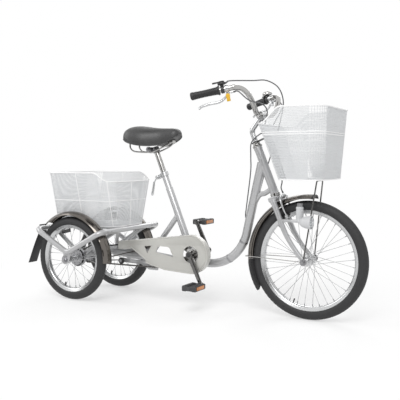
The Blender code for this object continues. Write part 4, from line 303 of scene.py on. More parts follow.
class Shape:
    """A mesh under construction in the bench frame, made of closed shells."""

    def __init__(self) -> None:
        """Start with no faces."""
        self.work = bmesh.new()

    def grid(self, rows: Sequence[Sequence[Vector]], loop: bool = False) -> Shape:
        """Skin rows of points, each row a ring.

        Args:
            rows: Rings of points with the same count.
            loop: Join the last ring to the first; otherwise both ends are closed with a face.

        Returns:
            This shape.
        """
        skin = [[self.work.verts.new(point) for point in row] for row in rows]
        count = len(skin[0])
        pairs = list(zip(skin, skin[1:]))
        if loop:
            pairs.append((skin[-1], skin[0]))
        for before, after in pairs:
            for index in range(count):
                following = (index + 1) % count
                self.work.faces.new((before[index], before[following], after[following], after[index]))
        if not loop:
            self.work.faces.new(skin[0])
            self.work.faces.new(list(reversed(skin[-1])))
        return self

    def tube(self, path: Sequence[Vector], radius: float, sides: int = 14, closed: bool = False,
             taper: Sequence[float] | None = None, flat: float = 1.0) -> Shape:
        """A round tube along points, turned evenly so that it doesn't twist.

        Args:
            path: Points of the centreline.
            radius: Radius of the tube.
            sides: Points round the tube.
            closed: Join the end to the start.
            taper: Share of the radius at each point.
            flat: Share of the radius across the tube's own second direction.

        Returns:
            This shape.
        """
        points = [Vector(point) for point in path]
        count = len(points)
        frames = []
        normal = None
        for index, point in enumerate(points):
            before = points[index - 1] if index or closed else point
            after = points[(index + 1) % count] if index < count - 1 or closed else point
            along = (after - before).normalized()
            if normal is None:
                normal = along.cross(SIDE if abs(along.y) < 0.9 else UP)
            normal = (normal - along * normal.dot(along)).normalized()
            frames.append((point, normal, along.cross(normal)))
        twist = 0.0
        if closed:
            first = frames[0][1]
            along = (points[1] - points[-1]).normalized()
            last = (normal - along * normal.dot(along)).normalized()
            twist = math.atan2(first.cross(last).dot(along), first.dot(last))
        rows = []
        for index, (point, normal, across) in enumerate(frames):
            size = radius * (taper[index] if taper else 1.0)
            turn = -twist * index / count
            angles = [turn + 2 * math.pi * step / sides for step in range(sides)]
            rows.append([point + (normal * math.cos(a) + across * (math.sin(a) * flat)) * size
                         for a in angles])
        return self.grid(rows, closed)

    def lathe(self, profile: Profile, centre: Vector, axis: Vector, steps: int = 32,
              loop: bool = False) -> Shape:
        """A turned shape.

        Args:
            profile: Radius and height of each point.
            centre: Where height 0 lies.
            axis: Direction of the height.
            steps: Points round the axis.
            loop: Join the profile's end to its start.

        Returns:
            This shape.
        """
        turn = Vector(axis).to_track_quat("Z", "Y").to_matrix()
        angles = [2 * math.pi * step / steps for step in range(steps)]
        rows = []
        for radius, height in profile:
            spots = [Vector((radius * math.cos(a), radius * math.sin(a), height)) for a in angles]
            rows.append([Vector(centre) + turn @ spot for spot in spots])
        return self.grid(rows, loop)

    def rod(self, start: Vector, end: Vector, radius: float, end_radius: float | None = None, sides: int = 24,
            edge: float = 0.0006) -> Shape:
        """A straight round bar or cone with broken edges."""
        start = Vector(start)
        along = Vector(end) - start
        length = along.length
        tip = radius if end_radius is None else end_radius
        profile = [(radius - edge, 0.0), (radius, edge), (tip, length - edge), (tip - edge, length)]
        return self.lathe(profile, start, along, sides)

    def ring(self, inner: float, outer: float, start: Vector, end: Vector, sides: int = 28,
             edge: float = 0.0005) -> Shape:
        """A bush or washer between two points on its axis, with broken edges."""
        start = Vector(start)
        along = Vector(end) - start
        length = along.length
        profile = [(inner, 0.0), (outer - edge, 0.0), (outer, edge), (outer, length - edge),
                   (outer - edge, length), (inner, length)]
        return self.lathe(profile, start, along, sides, loop=True)

    def box(self, size: Sequence[float], centre: Vector, axes: Sequence[Vector] | None = None,
            bevel: float = 0.001, segments: int = 3) -> Shape:
        """A block with rounded edges along its own axes."""
        made = bmesh.ops.create_cube(self.work, size=1.0)["verts"]
        place = Matrix.Translation(centre)
        if axes:
            place = place @ Matrix((axes[0], axes[1], axes[2])).transposed().to_4x4()
        bmesh.ops.transform(self.work, matrix=place @ Matrix.Diagonal((*size, 1.0)), verts=made)
        edges = list({edge for vert in made for edge in vert.link_edges})
        bmesh.ops.bevel(self.work, geom=edges, offset=bevel, segments=segments, profile=0.6, affect="EDGES")
        return self

    def plate(self, outline: Profile, y0: float, y1: float, holes: Sequence[Profile] = (),
              edge: float = 0.0005, place: Matrix | None = None) -> Shape:
        """A flat plate with holes and rounded edges, drawn in side view between two y values.

        Args:
            outline: Points of the edge, x and z.
            y0: One face.
            y1: The other face.
            holes: Outlines of the holes.
            edge: Radius of the edges.
            place: A move to make after that.

        Returns:
            This shape.
        """
        curve = bpy.data.curves.new("plate", "CURVE")
        curve.dimensions = "2D"
        curve.fill_mode = "BOTH"
        curve.extrude = abs(y1 - y0) / 2 - edge
        curve.bevel_depth = edge
        curve.bevel_resolution = 1
        curve.offset = -edge
        for points in (outline, *holes):
            spline = curve.splines.new("POLY")
            spline.points.add(len(points) - 1)
            for index, (u, v) in enumerate(points):
                spline.points[index].co = (u, v, 0.0, 1.0)
            spline.use_cyclic_u = True
        holder = bpy.data.objects.new("plate", curve)
        bpy.context.scene.collection.objects.link(holder)
        mesh = bpy.data.meshes.new_from_object(holder.evaluated_get(bpy.context.evaluated_depsgraph_get()))
        upright = Matrix.Translation((0.0, (y0 + y1) / 2, 0.0)) @ Matrix.Rotation(math.radians(90), 4, "X")
        mesh.transform((place or Matrix.Identity(4)) @ upright)
        self.work.from_mesh(mesh)
        bpy.data.objects.remove(holder)
        bpy.data.curves.remove(curve)
        bpy.data.meshes.remove(mesh)
        return self

    def slab(self, outline: Sequence[Vector], y0: float, y1: float) -> Shape:
        """A thin flat shape between two distances along y from its outline."""
        return self.grid([[point + SIDE * y for point in outline] for y in (y0, y1)])

    def weld(self, start: Vector, along: Vector, radius: float, other: Vector, other_along: Vector,
             other_radius: float, bead: float = 0.0017) -> Shape:
        """A weld bead where a tube runs into another.

        Args:
            start: A point on the tube's axis, outside the other.
            along: Direction of the tube, towards the other.
            radius: Radius of the tube.
            other: A point on the other's axis.
            other_along: Direction of the other's axis.
            other_radius: Radius of the other.
            bead: Radius of the bead.

        Returns:
            This shape.
        """
        first = along.cross(SIDE if abs(along.y) < 0.9 else UP).normalized()
        second = along.cross(first)
        spin = other_along.normalized()
        slope = along - spin * along.dot(spin)
        ring = []
        for step in range(40):
            angle = 2 * math.pi * step / 40
            spot = start + (first * math.cos(angle) + second * math.sin(angle)) * radius
            gap = spot - other
            gap = gap - spin * gap.dot(spin)
            half = gap.dot(slope)
            inside = half * half - slope.dot(slope) * (gap.dot(gap) - other_radius ** 2)
            ring.append(spot + along * ((-half - math.sqrt(max(0.0, inside))) / slope.dot(slope)))
        return self.tube(ring, bead, 8, closed=True)

    def made(self, name: str, look: Look, angle: float = 35.0) -> bpy.types.Object:
        """Turn the shape into a dressed object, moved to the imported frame.

        Args:
            name: Name of the piece.
            look: Its finish.
            angle: Edges sharper than this stay sharp, in degrees.

        Returns:
            The new object.
        """
        bmesh.ops.remove_doubles(self.work, verts=self.work.verts, dist=1e-7)
        bmesh.ops.recalc_face_normals(self.work, faces=self.work.faces)
        mesh = bpy.data.meshes.new(name)
        self.work.to_mesh(mesh)
        self.work.free()
        mesh.transform(Matrix.Translation(ORIGIN))
        mesh.shade_smooth()
        mesh.set_sharp_from_angle(angle=math.radians(angle))
        obj = bpy.data.objects.new(name, mesh)
        bpy.context.scene.collection.objects.link(obj)
        return look.value.dress(obj)

    def piece(self, name: str, look: Look, body: str, *nodes: str, angle: float = 35.0) -> bpy.types.Object:
        """Finish the shape as a piece that rides on a body and stands for some nodes.

        Args:
            name: Name of the piece.
            look: Its finish.
            body: The body that it moves with.
            nodes: Nodes that it stands for.
            angle: Edges sharper than this stay sharp, in degrees.

        Returns:
            The new object.
        """
        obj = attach(self.made(name, look, angle), body)
        if nodes:
            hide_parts(*nodes)
        LOG.info("%s rides on %s, %d faces", name, body, len(obj.data.polygons))
        return obj


def bending(made: bpy.types.Object, bodies: tuple[str, str], start: Vector, end: Vector, *nodes: str) -> None:
    """Bake a piece that lies between two bodies which a joint holds together, and hide the nodes that it stands
    for; it is not made to bend.

    Args:
        made: The piece.
        bodies: The two bodies that it lies between, named in the log.
        start: Where it would start to bend, in the bench frame; not used.
        end: Where it would stop; not used.
        nodes: Nodes that it stands for.
    """
    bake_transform(made)
    if nodes:
        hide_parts(*nodes)
    LOG.info("%s bends between %s and %s", made.name, *bodies)


def arc(centre: Sequence[float], radius: float, start: float, end: float,
        steps: int) -> list[tuple[float, float]]:
    """Points on an arc, with angles in degrees."""
    points = []
    for index in range(steps + 1):
        angle = math.radians(start + (end - start) * index / steps)
        points.append((centre[0] + radius * math.cos(angle), centre[1] + radius * math.sin(angle)))
    return points


def bent(points: Sequence[Sequence[float]], radius: float, closed: bool = False,
         steps: int = 10) -> list[Vector]:
    """A path of straight runs with round bends at its inner points."""
    spots = [Vector(point) for point in points]
    count = len(spots)
    path = [] if closed else [spots[0]]
    for index in range(0 if closed else 1, count if closed else count - 1):
        corner = spots[index]
        before = (spots[index - 1] - corner).normalized()
        after = (spots[(index + 1) % count] - corner).normalized()
        half = before.angle(after) / 2
        reach = radius / math.tan(half)
        middle = corner + (before + after).normalized() * (radius / math.sin(half))
        first = (corner + before * reach - middle).normalized()
        last = (corner + after * reach - middle).normalized()
        path += [middle + first.slerp(last, step / steps) * radius for step in range(steps + 1)]
    return path if closed else path + [spots[-1]]


def smooth(points: Sequence[Sequence[float]], steps: int = 6) -> list[Vector]:
    """A smooth curve through given points."""
    spots = [Vector(point) for point in points]
    ends = [2 * spots[0] - spots[1], *spots, 2 * spots[-1] - spots[-2]]
    path = []
    for index in range(1, len(ends) - 2):
        a, b, c, d = ends[index - 1:index + 3]
        for step in range(steps):
            t = step / steps
            path.append(0.5 * (2 * b + (c - a) * t + (2 * a - 5 * b + 4 * c - d) * t * t
                               + (3 * b - a - 3 * c + d) * t ** 3))
    return path + [spots[-1]]


def mirrored(points: Sequence[Sequence[float]]) -> list[Vector]:
    """The same points on the other side, in the opposite order."""
    return [Vector((x, -y, z)) for x, y, z in reversed(points)]


def round_point(centre: Vector, radius: float, angle: float, y: float = 0.0) -> Vector:
    """A point round a cross axis: angle in radians up from forward."""
    return centre + Vector((radius * math.cos(angle), y, radius * math.sin(angle)))


@dataclass(frozen=True)
class Layout:
    """The tricycle's main axes.

    Attributes:
        front_r: Radius over the front tyre.
        rear_r: Radius over a rear tyre.
        track: Distance between the rear wheels' middles.
        wheelbase: Distance between the axles.
        head_lean: Lean of the steering axis, in degrees.
        seat_lean: Lean of the seat tube, in degrees.
        fork_reach: From the axle up along the fork to the foot of the head tube.
        fork_rake: How far the axle stands in front of the steering axis.
        main_z: Height of the main tube's low part.
        crank_x: Place of the cranks' axle.
        front_guard_r: Radius of the front mudguard.
        rear_guard_r: Radius of the rear mudguards.
        basket_lift: Floor of the front basket over the foot of the head tube.
        basket_lean: How far the front basket's back wall leans back for each metre up.
        caliper_d: How far the front brake's bolt lies below the head tube.
    """

    front_r: float = 0.2475
    rear_r: float = 0.197
    track: float = 0.360
    wheelbase: float = 1.110
    head_lean: float = 22.3
    seat_lean: float = 22.2
    fork_reach: float = 0.307
    fork_rake: float = 0.0383
    main_z: float = 0.1985
    crank_x: float = 0.588
    front_guard_r: float = 0.272
    rear_guard_r: float = 0.222
    basket_lift: float = 0.066
    basket_lean: float = 0.341
    caliper_d: float = 0.02025

    @property
    def front_axle(self) -> Vector:
        """Middle of the front wheel."""
        return Vector((self.wheelbase, 0.0, self.front_r))

    @property
    def rear_axle(self) -> Vector:
        """Middle of the rear axle."""
        return Vector((0.0, 0.0, self.rear_r))

    @property
    def head_up(self) -> Vector:
        """Direction up the steering axis."""
        lean = math.radians(self.head_lean)
        return Vector((-math.sin(lean), 0.0, math.cos(lean)))

    @property
    def head_forward(self) -> Vector:
        """Direction forward from the steering axis."""
        lean = math.radians(self.head_lean)
        return Vector((math.cos(lean), 0.0, math.sin(lean)))

    @property
    def head_foot(self) -> Vector:
        """Foot of the head tube."""
        return self.head(0.0)

    @property
    def crank(self) -> Vector:
        """Middle of the bottom bracket."""
        return Vector((self.crank_x, 0.0, self.main_z + 0.0435))

    @property
    def seat_up(self) -> Vector:
        """Direction up the seat tube."""
        lean = math.radians(self.seat_lean)
        return Vector((-math.sin(lean), 0.0, math.cos(lean)))

    def head(self, up: float, forward: float = 0.0, side: float = 0.0) -> Vector:
        """A point up the steering axis from the foot of the head tube."""
        foot = self.front_axle + self.head_up * self.fork_reach - self.head_forward * self.fork_rake
        return foot + self.head_up * up + self.head_forward * forward + SIDE * side

    def seat(self, z: float) -> Vector:
        """The point at a height on the seat tube's axis."""
        foot = Vector((self.crank_x - 0.0215, 0.0, self.main_z))
        return foot + self.seat_up * ((z - self.main_z) / self.seat_up.z)


@dataclass
class Studio:
    """The camera of the photograph, a pale floor and soft light.

    Attributes:
        camera_at: Where the camera stands.
        pitch: Camera tilt from straight down, in degrees.
        yaw: Camera turn, in degrees.
        lens: Focal length in millimetres.
        ambient: Strength of the light from all round.
        aim_z: Height at which the lamps and cards aim.
        card_colour: Colour of the cards.
    """

    camera_at: tuple[float, float, float] = (1.41525, -2.44, 0.655)
    pitch: float = 86.45
    yaw: float = 29.33
    lens: float = 55.9
    ambient: float = 0.52
    aim_z: float = 0.45
    card_colour: tuple[float, float, float] = (0.03, 0.028, 0.025)

    def _aim(self, at: Sequence[float]) -> Vector:
        """Direction from a place to the tricycle's middle."""
        return Vector((0.0, 0.0, self.aim_z)) - Vector(at)

    def build(self) -> None:
        """Set the camera, the floor, the world, the lamps and the grey cards."""
        scene = bpy.context.scene
        scene.view_settings.view_transform = "Standard"
        camera = bpy.data.objects.new("camera", bpy.data.cameras.new("camera"))
        camera.data.lens = self.lens
        camera.location = self.camera_at
        camera.rotation_euler = (math.radians(self.pitch), 0.0, math.radians(self.yaw))
        scene.collection.objects.link(camera)
        scene.camera = camera
        self._floor()
        self._world()
        self._lamp("key", (1.2, -3.2, 3.6), 2.6, 110.0)
        self._lamp("fill", (-3.4, -1.4, 2.4), 2.6, 40.0)
        self._lamp("back", (-0.6, 3.2, 3.0), 2.6, 45.0)
        self._card("near_card", (0.9, -5.4, 1.1), (9.0, 1.5))
        self._card("left_card", (-5.4, -0.6, 0.9), (6.0, 1.3))
        self._card("top_card", (0.3, -1.0, 5.6), (2.2, 2.2))
        self._card("far_card", (-1.6, 5.2, 1.0), (10.0, 1.7))

    @staticmethod
    def _staged(name: str, corners: Sequence[Sequence[float]], at: Sequence[float]) -> bpy.types.Object:
        """A flat face of the studio with a plain material of its own.

        Args:
            name: Name of the face.
            corners: Its corners round its middle.
            at: Its middle.

        Returns:
            The object.
        """
        work = bmesh.new()
        work.faces.new([work.verts.new(corner) for corner in corners])
        mesh = bpy.data.meshes.new(name)
        work.to_mesh(mesh)
        work.free()
        made = bpy.data.materials.new(name)
        made.use_nodes = True
        mesh.materials.append(made)
        obj = bpy.data.objects.new(name, mesh)
        obj.location = at
        bpy.context.scene.collection.objects.link(obj)
        return obj

    def _floor(self) -> None:
        """A large pale floor that takes the shadow near the wheels and turns plain white further off."""
        round_edge = [(u, v, 0.0) for u, v in arc((0.0, 0.0), 40.0, 0.0, 356.25, 95)]
        floor = self._staged("pale_floor", round_edge, (0.0, 0.0, -0.0005))
        tree = floor.active_material.node_tree
        shader = feed(tree, tree.nodes["Principled BSDF"],
                      {"Base Color": WHITE, "Roughness": 1.0, "Specular IOR Level": 0.0})
        place = node(tree, "TexCoord", {}).outputs["Object"]
        reach = node(tree, "VectorMath", {0: place}, operation="LENGTH")
        fade = node(tree, "MapRange", {"Value": reach.outputs["Value"], "From Min": 0.2, "From Max": 1.6,
                                       "To Min": 0.35}, interpolation_type="SMOOTHSTEP")
        glow = node(tree, "Emission", {}).outputs["Emission"]
        mix = node(tree, "MixShader", {"Fac": fade.outputs["Result"], 1: shader.outputs["BSDF"], 2: glow})
        feed(tree, tree.nodes["Material Output"], {"Surface": mix.outputs["Shader"]})

    def _world(self) -> None:
        """White to the camera and in reflections, and an even softer light on the surfaces."""
        world = bpy.data.worlds.new("studio")
        world.use_nodes = True
        tree = world.node_tree
        rays = node(tree, "LightPath", {}).outputs
        seen = node(tree, "Math", {0: rays["Is Camera Ray"], 1: rays["Is Glossy Ray"]}, operation="MAXIMUM")
        also = node(tree, "Math", {0: seen.outputs["Value"], 1: rays["Is Transmission Ray"]},
                    operation="MAXIMUM")
        level = node(tree, "MapRange", {"Value": also.outputs["Value"], "To Min": self.ambient})
        feed(tree, tree.nodes["Background"], {"Color": WHITE, "Strength": level.outputs["Result"]})
        bpy.context.scene.world = world

    def _lamp(self, name: str, at: tuple[float, float, float], size: float, power: float) -> None:
        """A soft square lamp aimed at the tricycle.

        Args:
            name: Name of the lamp.
            at: Where it hangs.
            size: Side of the square.
            power: Power in watts.
        """
        lamp = bpy.data.lights.new(name, "AREA")
        lamp.size = size
        lamp.energy = power
        holder = bpy.data.objects.new(name, lamp)
        holder.location = at
        holder.rotation_euler = self._aim(at).to_track_quat("-Z", "Y").to_euler()
        bpy.context.scene.collection.objects.link(holder)

    def _card(self, name: str, at: tuple[float, float, float], size: tuple[float, float]) -> None:
        """A dark card that only shows in reflections, as a studio's unlit side does.

        Args:
            name: Name of the card.
            at: Its middle.
            size: Width and height.
        """
        half = [(u * size[0] / 2, v * size[1] / 2, 0.0) for u, v in ((-1, -1), (1, -1), (1, 1), (-1, 1))]
        card = self._staged(name, half, at)
        card.rotation_euler = self._aim(at).to_track_quat("Z", "Y").to_euler()
        card.visible_camera = False
        card.visible_diffuse = False
        card.visible_shadow = False
        tree = card.active_material.node_tree
        feed(tree, tree.nodes["Principled BSDF"], {"Base Color": (*self.card_colour, 1.0)})


@dataclass
class Wheel:
    """One laced wheel: tyre, rim, spokes, hub and valve.

    Attributes:
        name: Name of its body and laced node.
        tyre: Name of its tyre node.
        centre: Middle of the wheel.
        radius: Radius over the tyre.
        spokes: Number of spokes.
        blocks: Tread blocks round the tyre.
        bore: Radius of the hub's bore.
        drum: Side of a brake drum, 1 left, or 0 for none.
        reflector: Angle of a reflector on the spokes, in degrees, or 0 for none.
    """

    name: str
    tyre: str
    centre: Vector
    radius: float
    spokes: int
    blocks: int
    bore: float
    drum: int = 0
    reflector: float = 0.0
    width: float = 0.046
    height: float = 0.0385
    flange_r: float = 0.0205
    flange_y: float = 0.028
    hub_half: float = 0.040

    def build(self) -> None:
        """Make all pieces of the wheel."""
        self._tyre()
        self._rim()
        self._spokes()
        self._hub()
        self._valve()
        if self.reflector:
            self._reflector()

    @property
    def rim_r(self) -> float:
        """Radius at which the tyre sits on the rim."""
        return self.radius - self.height

    def _tyre(self) -> None:
        """The tyre, with a middle rib, slanted tread blocks and a line on each wall."""
        section = self.width / 2
        middle = self.radius - section
        open_angle = math.acos((middle - self.rim_r) / section)
        reach = math.pi - open_angle
        count = 30
        rows = []
        per_block = 5
        for step in range(self.blocks * per_block):
            turn = 2 * math.pi * step / (self.blocks * per_block)
            row = []
            for index in range(count + 1):
                angle = reach * (1 - 2 * index / count)
                size = section - self._cut(math.degrees(angle), step % per_block)
                row.append(round_point(self.centre, middle + size * math.cos(angle), turn,
                                       size * math.sin(angle)))
            rows.append(row)
        Shape().grid(rows, loop=True).piece(self.tyre + "_tread", Look.TYRE, self.name, self.tyre, angle=50.0)

    @staticmethod
    def _cut(angle: float, step: int) -> float:
        """Depth of the tread at an angle across the tyre.

        Args:
            angle: Angle from the crown, in degrees.
            step: Step within the block.

        Returns:
            Depth below the tread's top.
        """
        wide = abs(angle)
        if wide < 9.0:
            return 0.0
        if wide < 17.0:
            return 0.0011
        if wide < 58.0:
            slanted = step + (1 if wide > 38.0 else 0)
            return 0.0012 if slanted % 5 == 0 else 0.0
        if wide < 66.0:
            return 0.0010
        return 0.0003 if 100.0 < wide < 108.0 else 0.0006

    def _rim(self) -> None:
        """The box rim, with lips at the tyre and a rounded inner wall."""
        r = self.rim_r
        half = [(r + 0.0035, 0.0148), (r + 0.0042, 0.0156), (r + 0.0034, 0.0163), (r - 0.0010, 0.0158),
                (r - 0.0035, 0.0140), (r - 0.0095, 0.0128), (r - 0.0135, 0.0105), (r - 0.0158, 0.0060),
                (r - 0.0163, 0.0)]
        well = [(r - 0.002, 0.0), (r - 0.002, 0.0110), (r, 0.0140)]
        outer = half + [(a, -b) for a, b in reversed(half[:-1])]
        inside = [(a, -b) for a, b in reversed(well[1:])] + well
        Shape().lathe(outer + inside, self.centre, SIDE, 120, loop=True).piece(
            self.name + "_rim", Look.ALLOY, self.name, self.name)

    def _spokes(self) -> None:
        """Spokes laced across each other on both flanges, with an elbow at the hub and a nipple at the rim."""
        wires = Shape()
        nipples = Shape()
        lean = math.radians(62.0 if self.spokes > 30 else 52.0)
        for number in range(self.spokes):
            side = 1 if number % 2 else -1
            crossing = 1 if (number // 2) % 2 else -1
            at_rim = 2 * math.pi * (number + 0.5) / self.spokes
            at_hub = at_rim + crossing * lean
            flange = side * (self.flange_y + crossing * 0.0022)
            foot = round_point(self.centre, self.flange_r - 0.003, at_hub, side * self.flange_y)
            elbow = round_point(self.centre, self.flange_r - 0.002, at_hub - crossing * 0.04, flange)
            seat = round_point(self.centre, self.rim_r - 0.0155, at_rim, side * 0.0025)
            wires.tube([foot, elbow, seat], 0.00105, 6)
            toward = (elbow - seat).normalized()
            nipples.tube([seat - toward * 0.002, seat + toward * 0.009, seat + toward * 0.012], 0.0019, 8,
                         taper=[1.15, 1.0, 0.6])
        wires.piece(self.name + "_spokes", Look.ALLOY, self.name)
        nipples.piece(self.name + "_nipples", Look.STEEL, self.name)

    def _hub(self) -> None:
        """Barrel with two flanges and bearing covers, and the brake drum where there is one."""
        half = [(self.bore, self.hub_half), (0.0098, self.hub_half), (0.0108, self.hub_half - 0.001),
                (0.0112, 0.0335), (0.0145, 0.0330), (0.0150, self.flange_y + 0.0030),
                (self.flange_r, self.flange_y + 0.0014), (self.flange_r + 0.0006, self.flange_y),
                (self.flange_r, self.flange_y - 0.0014), (0.0150, self.flange_y - 0.0030), (0.0115, 0.0200),
                (0.0105, 0.0100)]
        profile = half + [(r, -y) for r, y in reversed(half)]
        Shape().lathe(profile, self.centre, SIDE, 40, loop=True).piece(self.name + "_hub", Look.ALLOY,
                                                                       self.name)
        if self.drum:
            drum = Shape()
            outer = 0.038
            start = self.centre + SIDE * self.drum * 0.0245
            end = self.centre + SIDE * self.drum * 0.0458
            drum.ring(self.bore + 0.001, outer, start, end, 40)
            drum.piece(self.name + "_drum", Look.STEEL, self.name)

    def _valve(self) -> None:
        """The valve with its cap, pointing in from the rim."""
        angle = math.radians(250.0)
        start = round_point(self.centre, self.rim_r - 0.012, angle)
        toward = (self.centre - start).normalized()
        stem = Shape().rod(start, start + toward * 0.012, 0.0032, 0.0026, 12)
        stem.rod(start + toward * 0.011, start + toward * 0.020, 0.0033, 0.0030, 12)
        stem.piece(self.name + "_valve", Look.BLACK, self.name)

    def _reflector(self) -> None:
        """A smoked reflector clipped across the spokes on the outside."""
        angle = math.radians(self.reflector)
        at = round_point(self.centre, self.rim_r - 0.0275, angle, -0.0060)
        outward = (round_point(self.centre, 1.0, angle) - self.centre).normalized()
        axes = (outward.cross(SIDE), SIDE, outward)
        shape = Shape().box((0.055, 0.006, 0.018), at, axes, 0.0026, 4)
        for along in (-0.018, -0.006, 0.006, 0.018):
            shape.box((0.0100, 0.0030, 0.0130), at + axes[0] * along - SIDE * 0.0022, axes, 0.0012)
        shape.piece(self.name + "_reflector", Look.SMOKED, self.name)


@dataclass
class Mudguard:
    """A rolled mudguard with a creased crown and beaded edges.

    Attributes:
        node: The node that it stands for.
        body: The body that it rides on.
        centre: Middle of its wheel.
        radius: Radius of the crown.
        start: First angle, in degrees up from forward.
        end: Last angle.
        capped: Whether its first end wears a rubber cap.
    """

    node: str
    body: str
    centre: Vector
    radius: float
    start: float
    end: float
    capped: bool = False
    width: float = 0.062
    crown: float = 0.0155
    wall: float = 0.0012
    steps: int = 72

    def build(self) -> None:
        """Roll the sheet and bead its edges."""
        shape = Shape()
        section = self._section()
        shape.grid([[round_point(self.centre, self.radius + rise, angle, y) for y, rise in section]
                    for angle in self.angles()])
        for side in (1, -1):
            edge = [round_point(self.centre, self.radius - self.crown, angle,
                                side * (self.width / 2 - 0.0006))
                    for angle in self.angles()]
            shape.tube(edge, 0.0014, 8)
        shape.piece(self.node + "_rolled", Look.STAINLESS, self.body, self.node)
        if self.capped:
            half = len(section) // 2
            thick = [(y * 1.01, rise + (0.0009 if index < half else -0.0009))
                     for index, (y, rise) in enumerate(section)]
            turns = [math.radians(self.start + step) for step in (-0.25, 0.0, 1.0, 2.0)]
            cap = Shape().grid([[round_point(self.centre, self.radius + rise, turn, y) for y, rise in thick]
                                for turn in turns])
            cap.piece(self.node + "_cap", Look.BLACK, self.body)

    def angles(self) -> list[float]:
        """Angles of the rows, in radians."""
        return [math.radians(self.start + (self.end - self.start) * step / self.steps)
                for step in range(self.steps + 1)]

    def _section(self) -> list[tuple[float, float]]:
        """Side and rise of the points round the sheet's section."""
        outer = []
        for index in range(33):
            share = -1 + index / 16
            rise = -self.crown * abs(share) ** 2.3
            if 0.50 < abs(share) < 0.66:
                rise -= 0.0005
            if abs(share) < 0.14:
                rise += 0.0004
            outer.append((share * self.width / 2, rise + self.wall / 2))
        return outer + [(y, rise - self.wall) for y, rise in reversed(outer)]


@dataclass
class Flaps:
    """The rubber flaps: one that carries on the front mudguard, and one behind each rear wheel.

    Attributes:
        layout: Main axes.
        width: Width of a flap.
        wall: Thickness of the rubber.
    """

    layout: Layout
    width: float = 0.058
    wall: float = 0.003
    top: tuple[float, float] = (-0.1845, 0.350)
    knee: tuple[float, float] = (-0.1845, 0.321)
    tip: tuple[float, float] = (-0.2566, 0.1585)

    def build(self) -> None:
        """Make the three flaps."""
        centre = self.layout.front_axle
        rows = []
        for step in range(25):
            share = step / 24
            angle = math.radians(183.1 + (213.0 - 183.1) * share)
            half = self.width / 2 * self._rounded(share)
            radius = self.layout.front_guard_r - self.wall / 2
            rows.append(self._row(lambda y, rise: round_point(centre, radius + rise - self._fall(y), angle,
                                                              y), half))
        shape = Shape().grid(rows)
        for side in (1, -1):
            low = self.layout.front_guard_r - 0.0016 - self._fall(0.014)
            run = [round_point(centre, low, math.radians(185 + step), side * 0.014) for step in range(23)]
            shape.tube(run, 0.0020, 8)
        shape.piece("front_flap_moulded", Look.RUBBER, "steering", "front_flap")
        for side, hand in ((-1, "right"), (1, "left")):
            self._rear(side, hand)

    def _fall(self, y: float) -> float:
        """How far the front flap falls away at the edges, as its mudguard does."""
        return 0.0115 * abs(2 * y / self.width) ** 2.3

    @staticmethod
    def _rounded(share: float) -> float:
        """Share of the width left towards the rounded lower end."""
        past = max(0.0, (share - 0.78) / 0.22)
        return max(0.30, math.sqrt(max(0.0, 1.0 - past ** 2.4)))

    def _row(self, at: Callable[[float, float], Vector], half: float) -> list[Vector]:
        """One ring of points across a flap."""
        outer = []
        for index in range(13):
            share = -1 + index / 6
            outer.append((share * half, self.wall / 2 - 0.0011 * abs(share) ** 3))
        return [at(y, rise) for y, rise in outer] + [at(y, -rise) for y, rise in reversed(outer)]

    def _rear(self, side: int, hand: str) -> None:
        """A flap behind a rear wheel, bolted to the loop tube."""
        top, knee, tip = Vector((*self.top, 0.0)), Vector((*self.knee, 0.0)), Vector((*self.tip, 0.0))
        line = smooth([top, knee, knee.lerp(tip, 0.45) + Vector((-0.002, 0.0, 0.0)), tip], 8)
        middle = side * self.layout.track / 2
        rows = []
        for index, spot in enumerate(line):
            share = index / (len(line) - 1)
            along = (line[min(index + 1, len(line) - 1)] - line[max(index - 1, 0)]).normalized()
            back = Vector((-along.y, 0.0, along.x)) * -1.0
            half = self.width / 2 * (0.86 + 0.14 * share)
            point = Vector((spot.x, middle, spot.y))
            rows.append(self._row(lambda y, rise: point + SIDE * y - back * rise, half))
        shape = Shape().grid(rows)
        for y in (-0.021, 0.0, 0.021):
            run = [Vector((spot.x - 0.0012, middle + y, spot.y)) for spot in line[7:-1]]
            shape.tube(run, 0.0014, 6)
        shape.piece("rear_flap_%s_moulded" % hand, Look.RUBBER, "rear_frame", "rear_flap_" + hand)
        bolts = Shape()
        for y in (-0.016, 0.016):
            head = Vector((self.top[0] - self.wall / 2, middle + y, 0.334))
            bolts.lathe([(0.0, 0.0036), (0.0034, 0.0030), (0.0052, 0.0012), (0.0058, 0.0), (0.0, 0.0)],
                        head, -X, 18)
        bolts.piece("rear_flap_%s_bolts" % hand, Look.CHROME, "rear_frame")


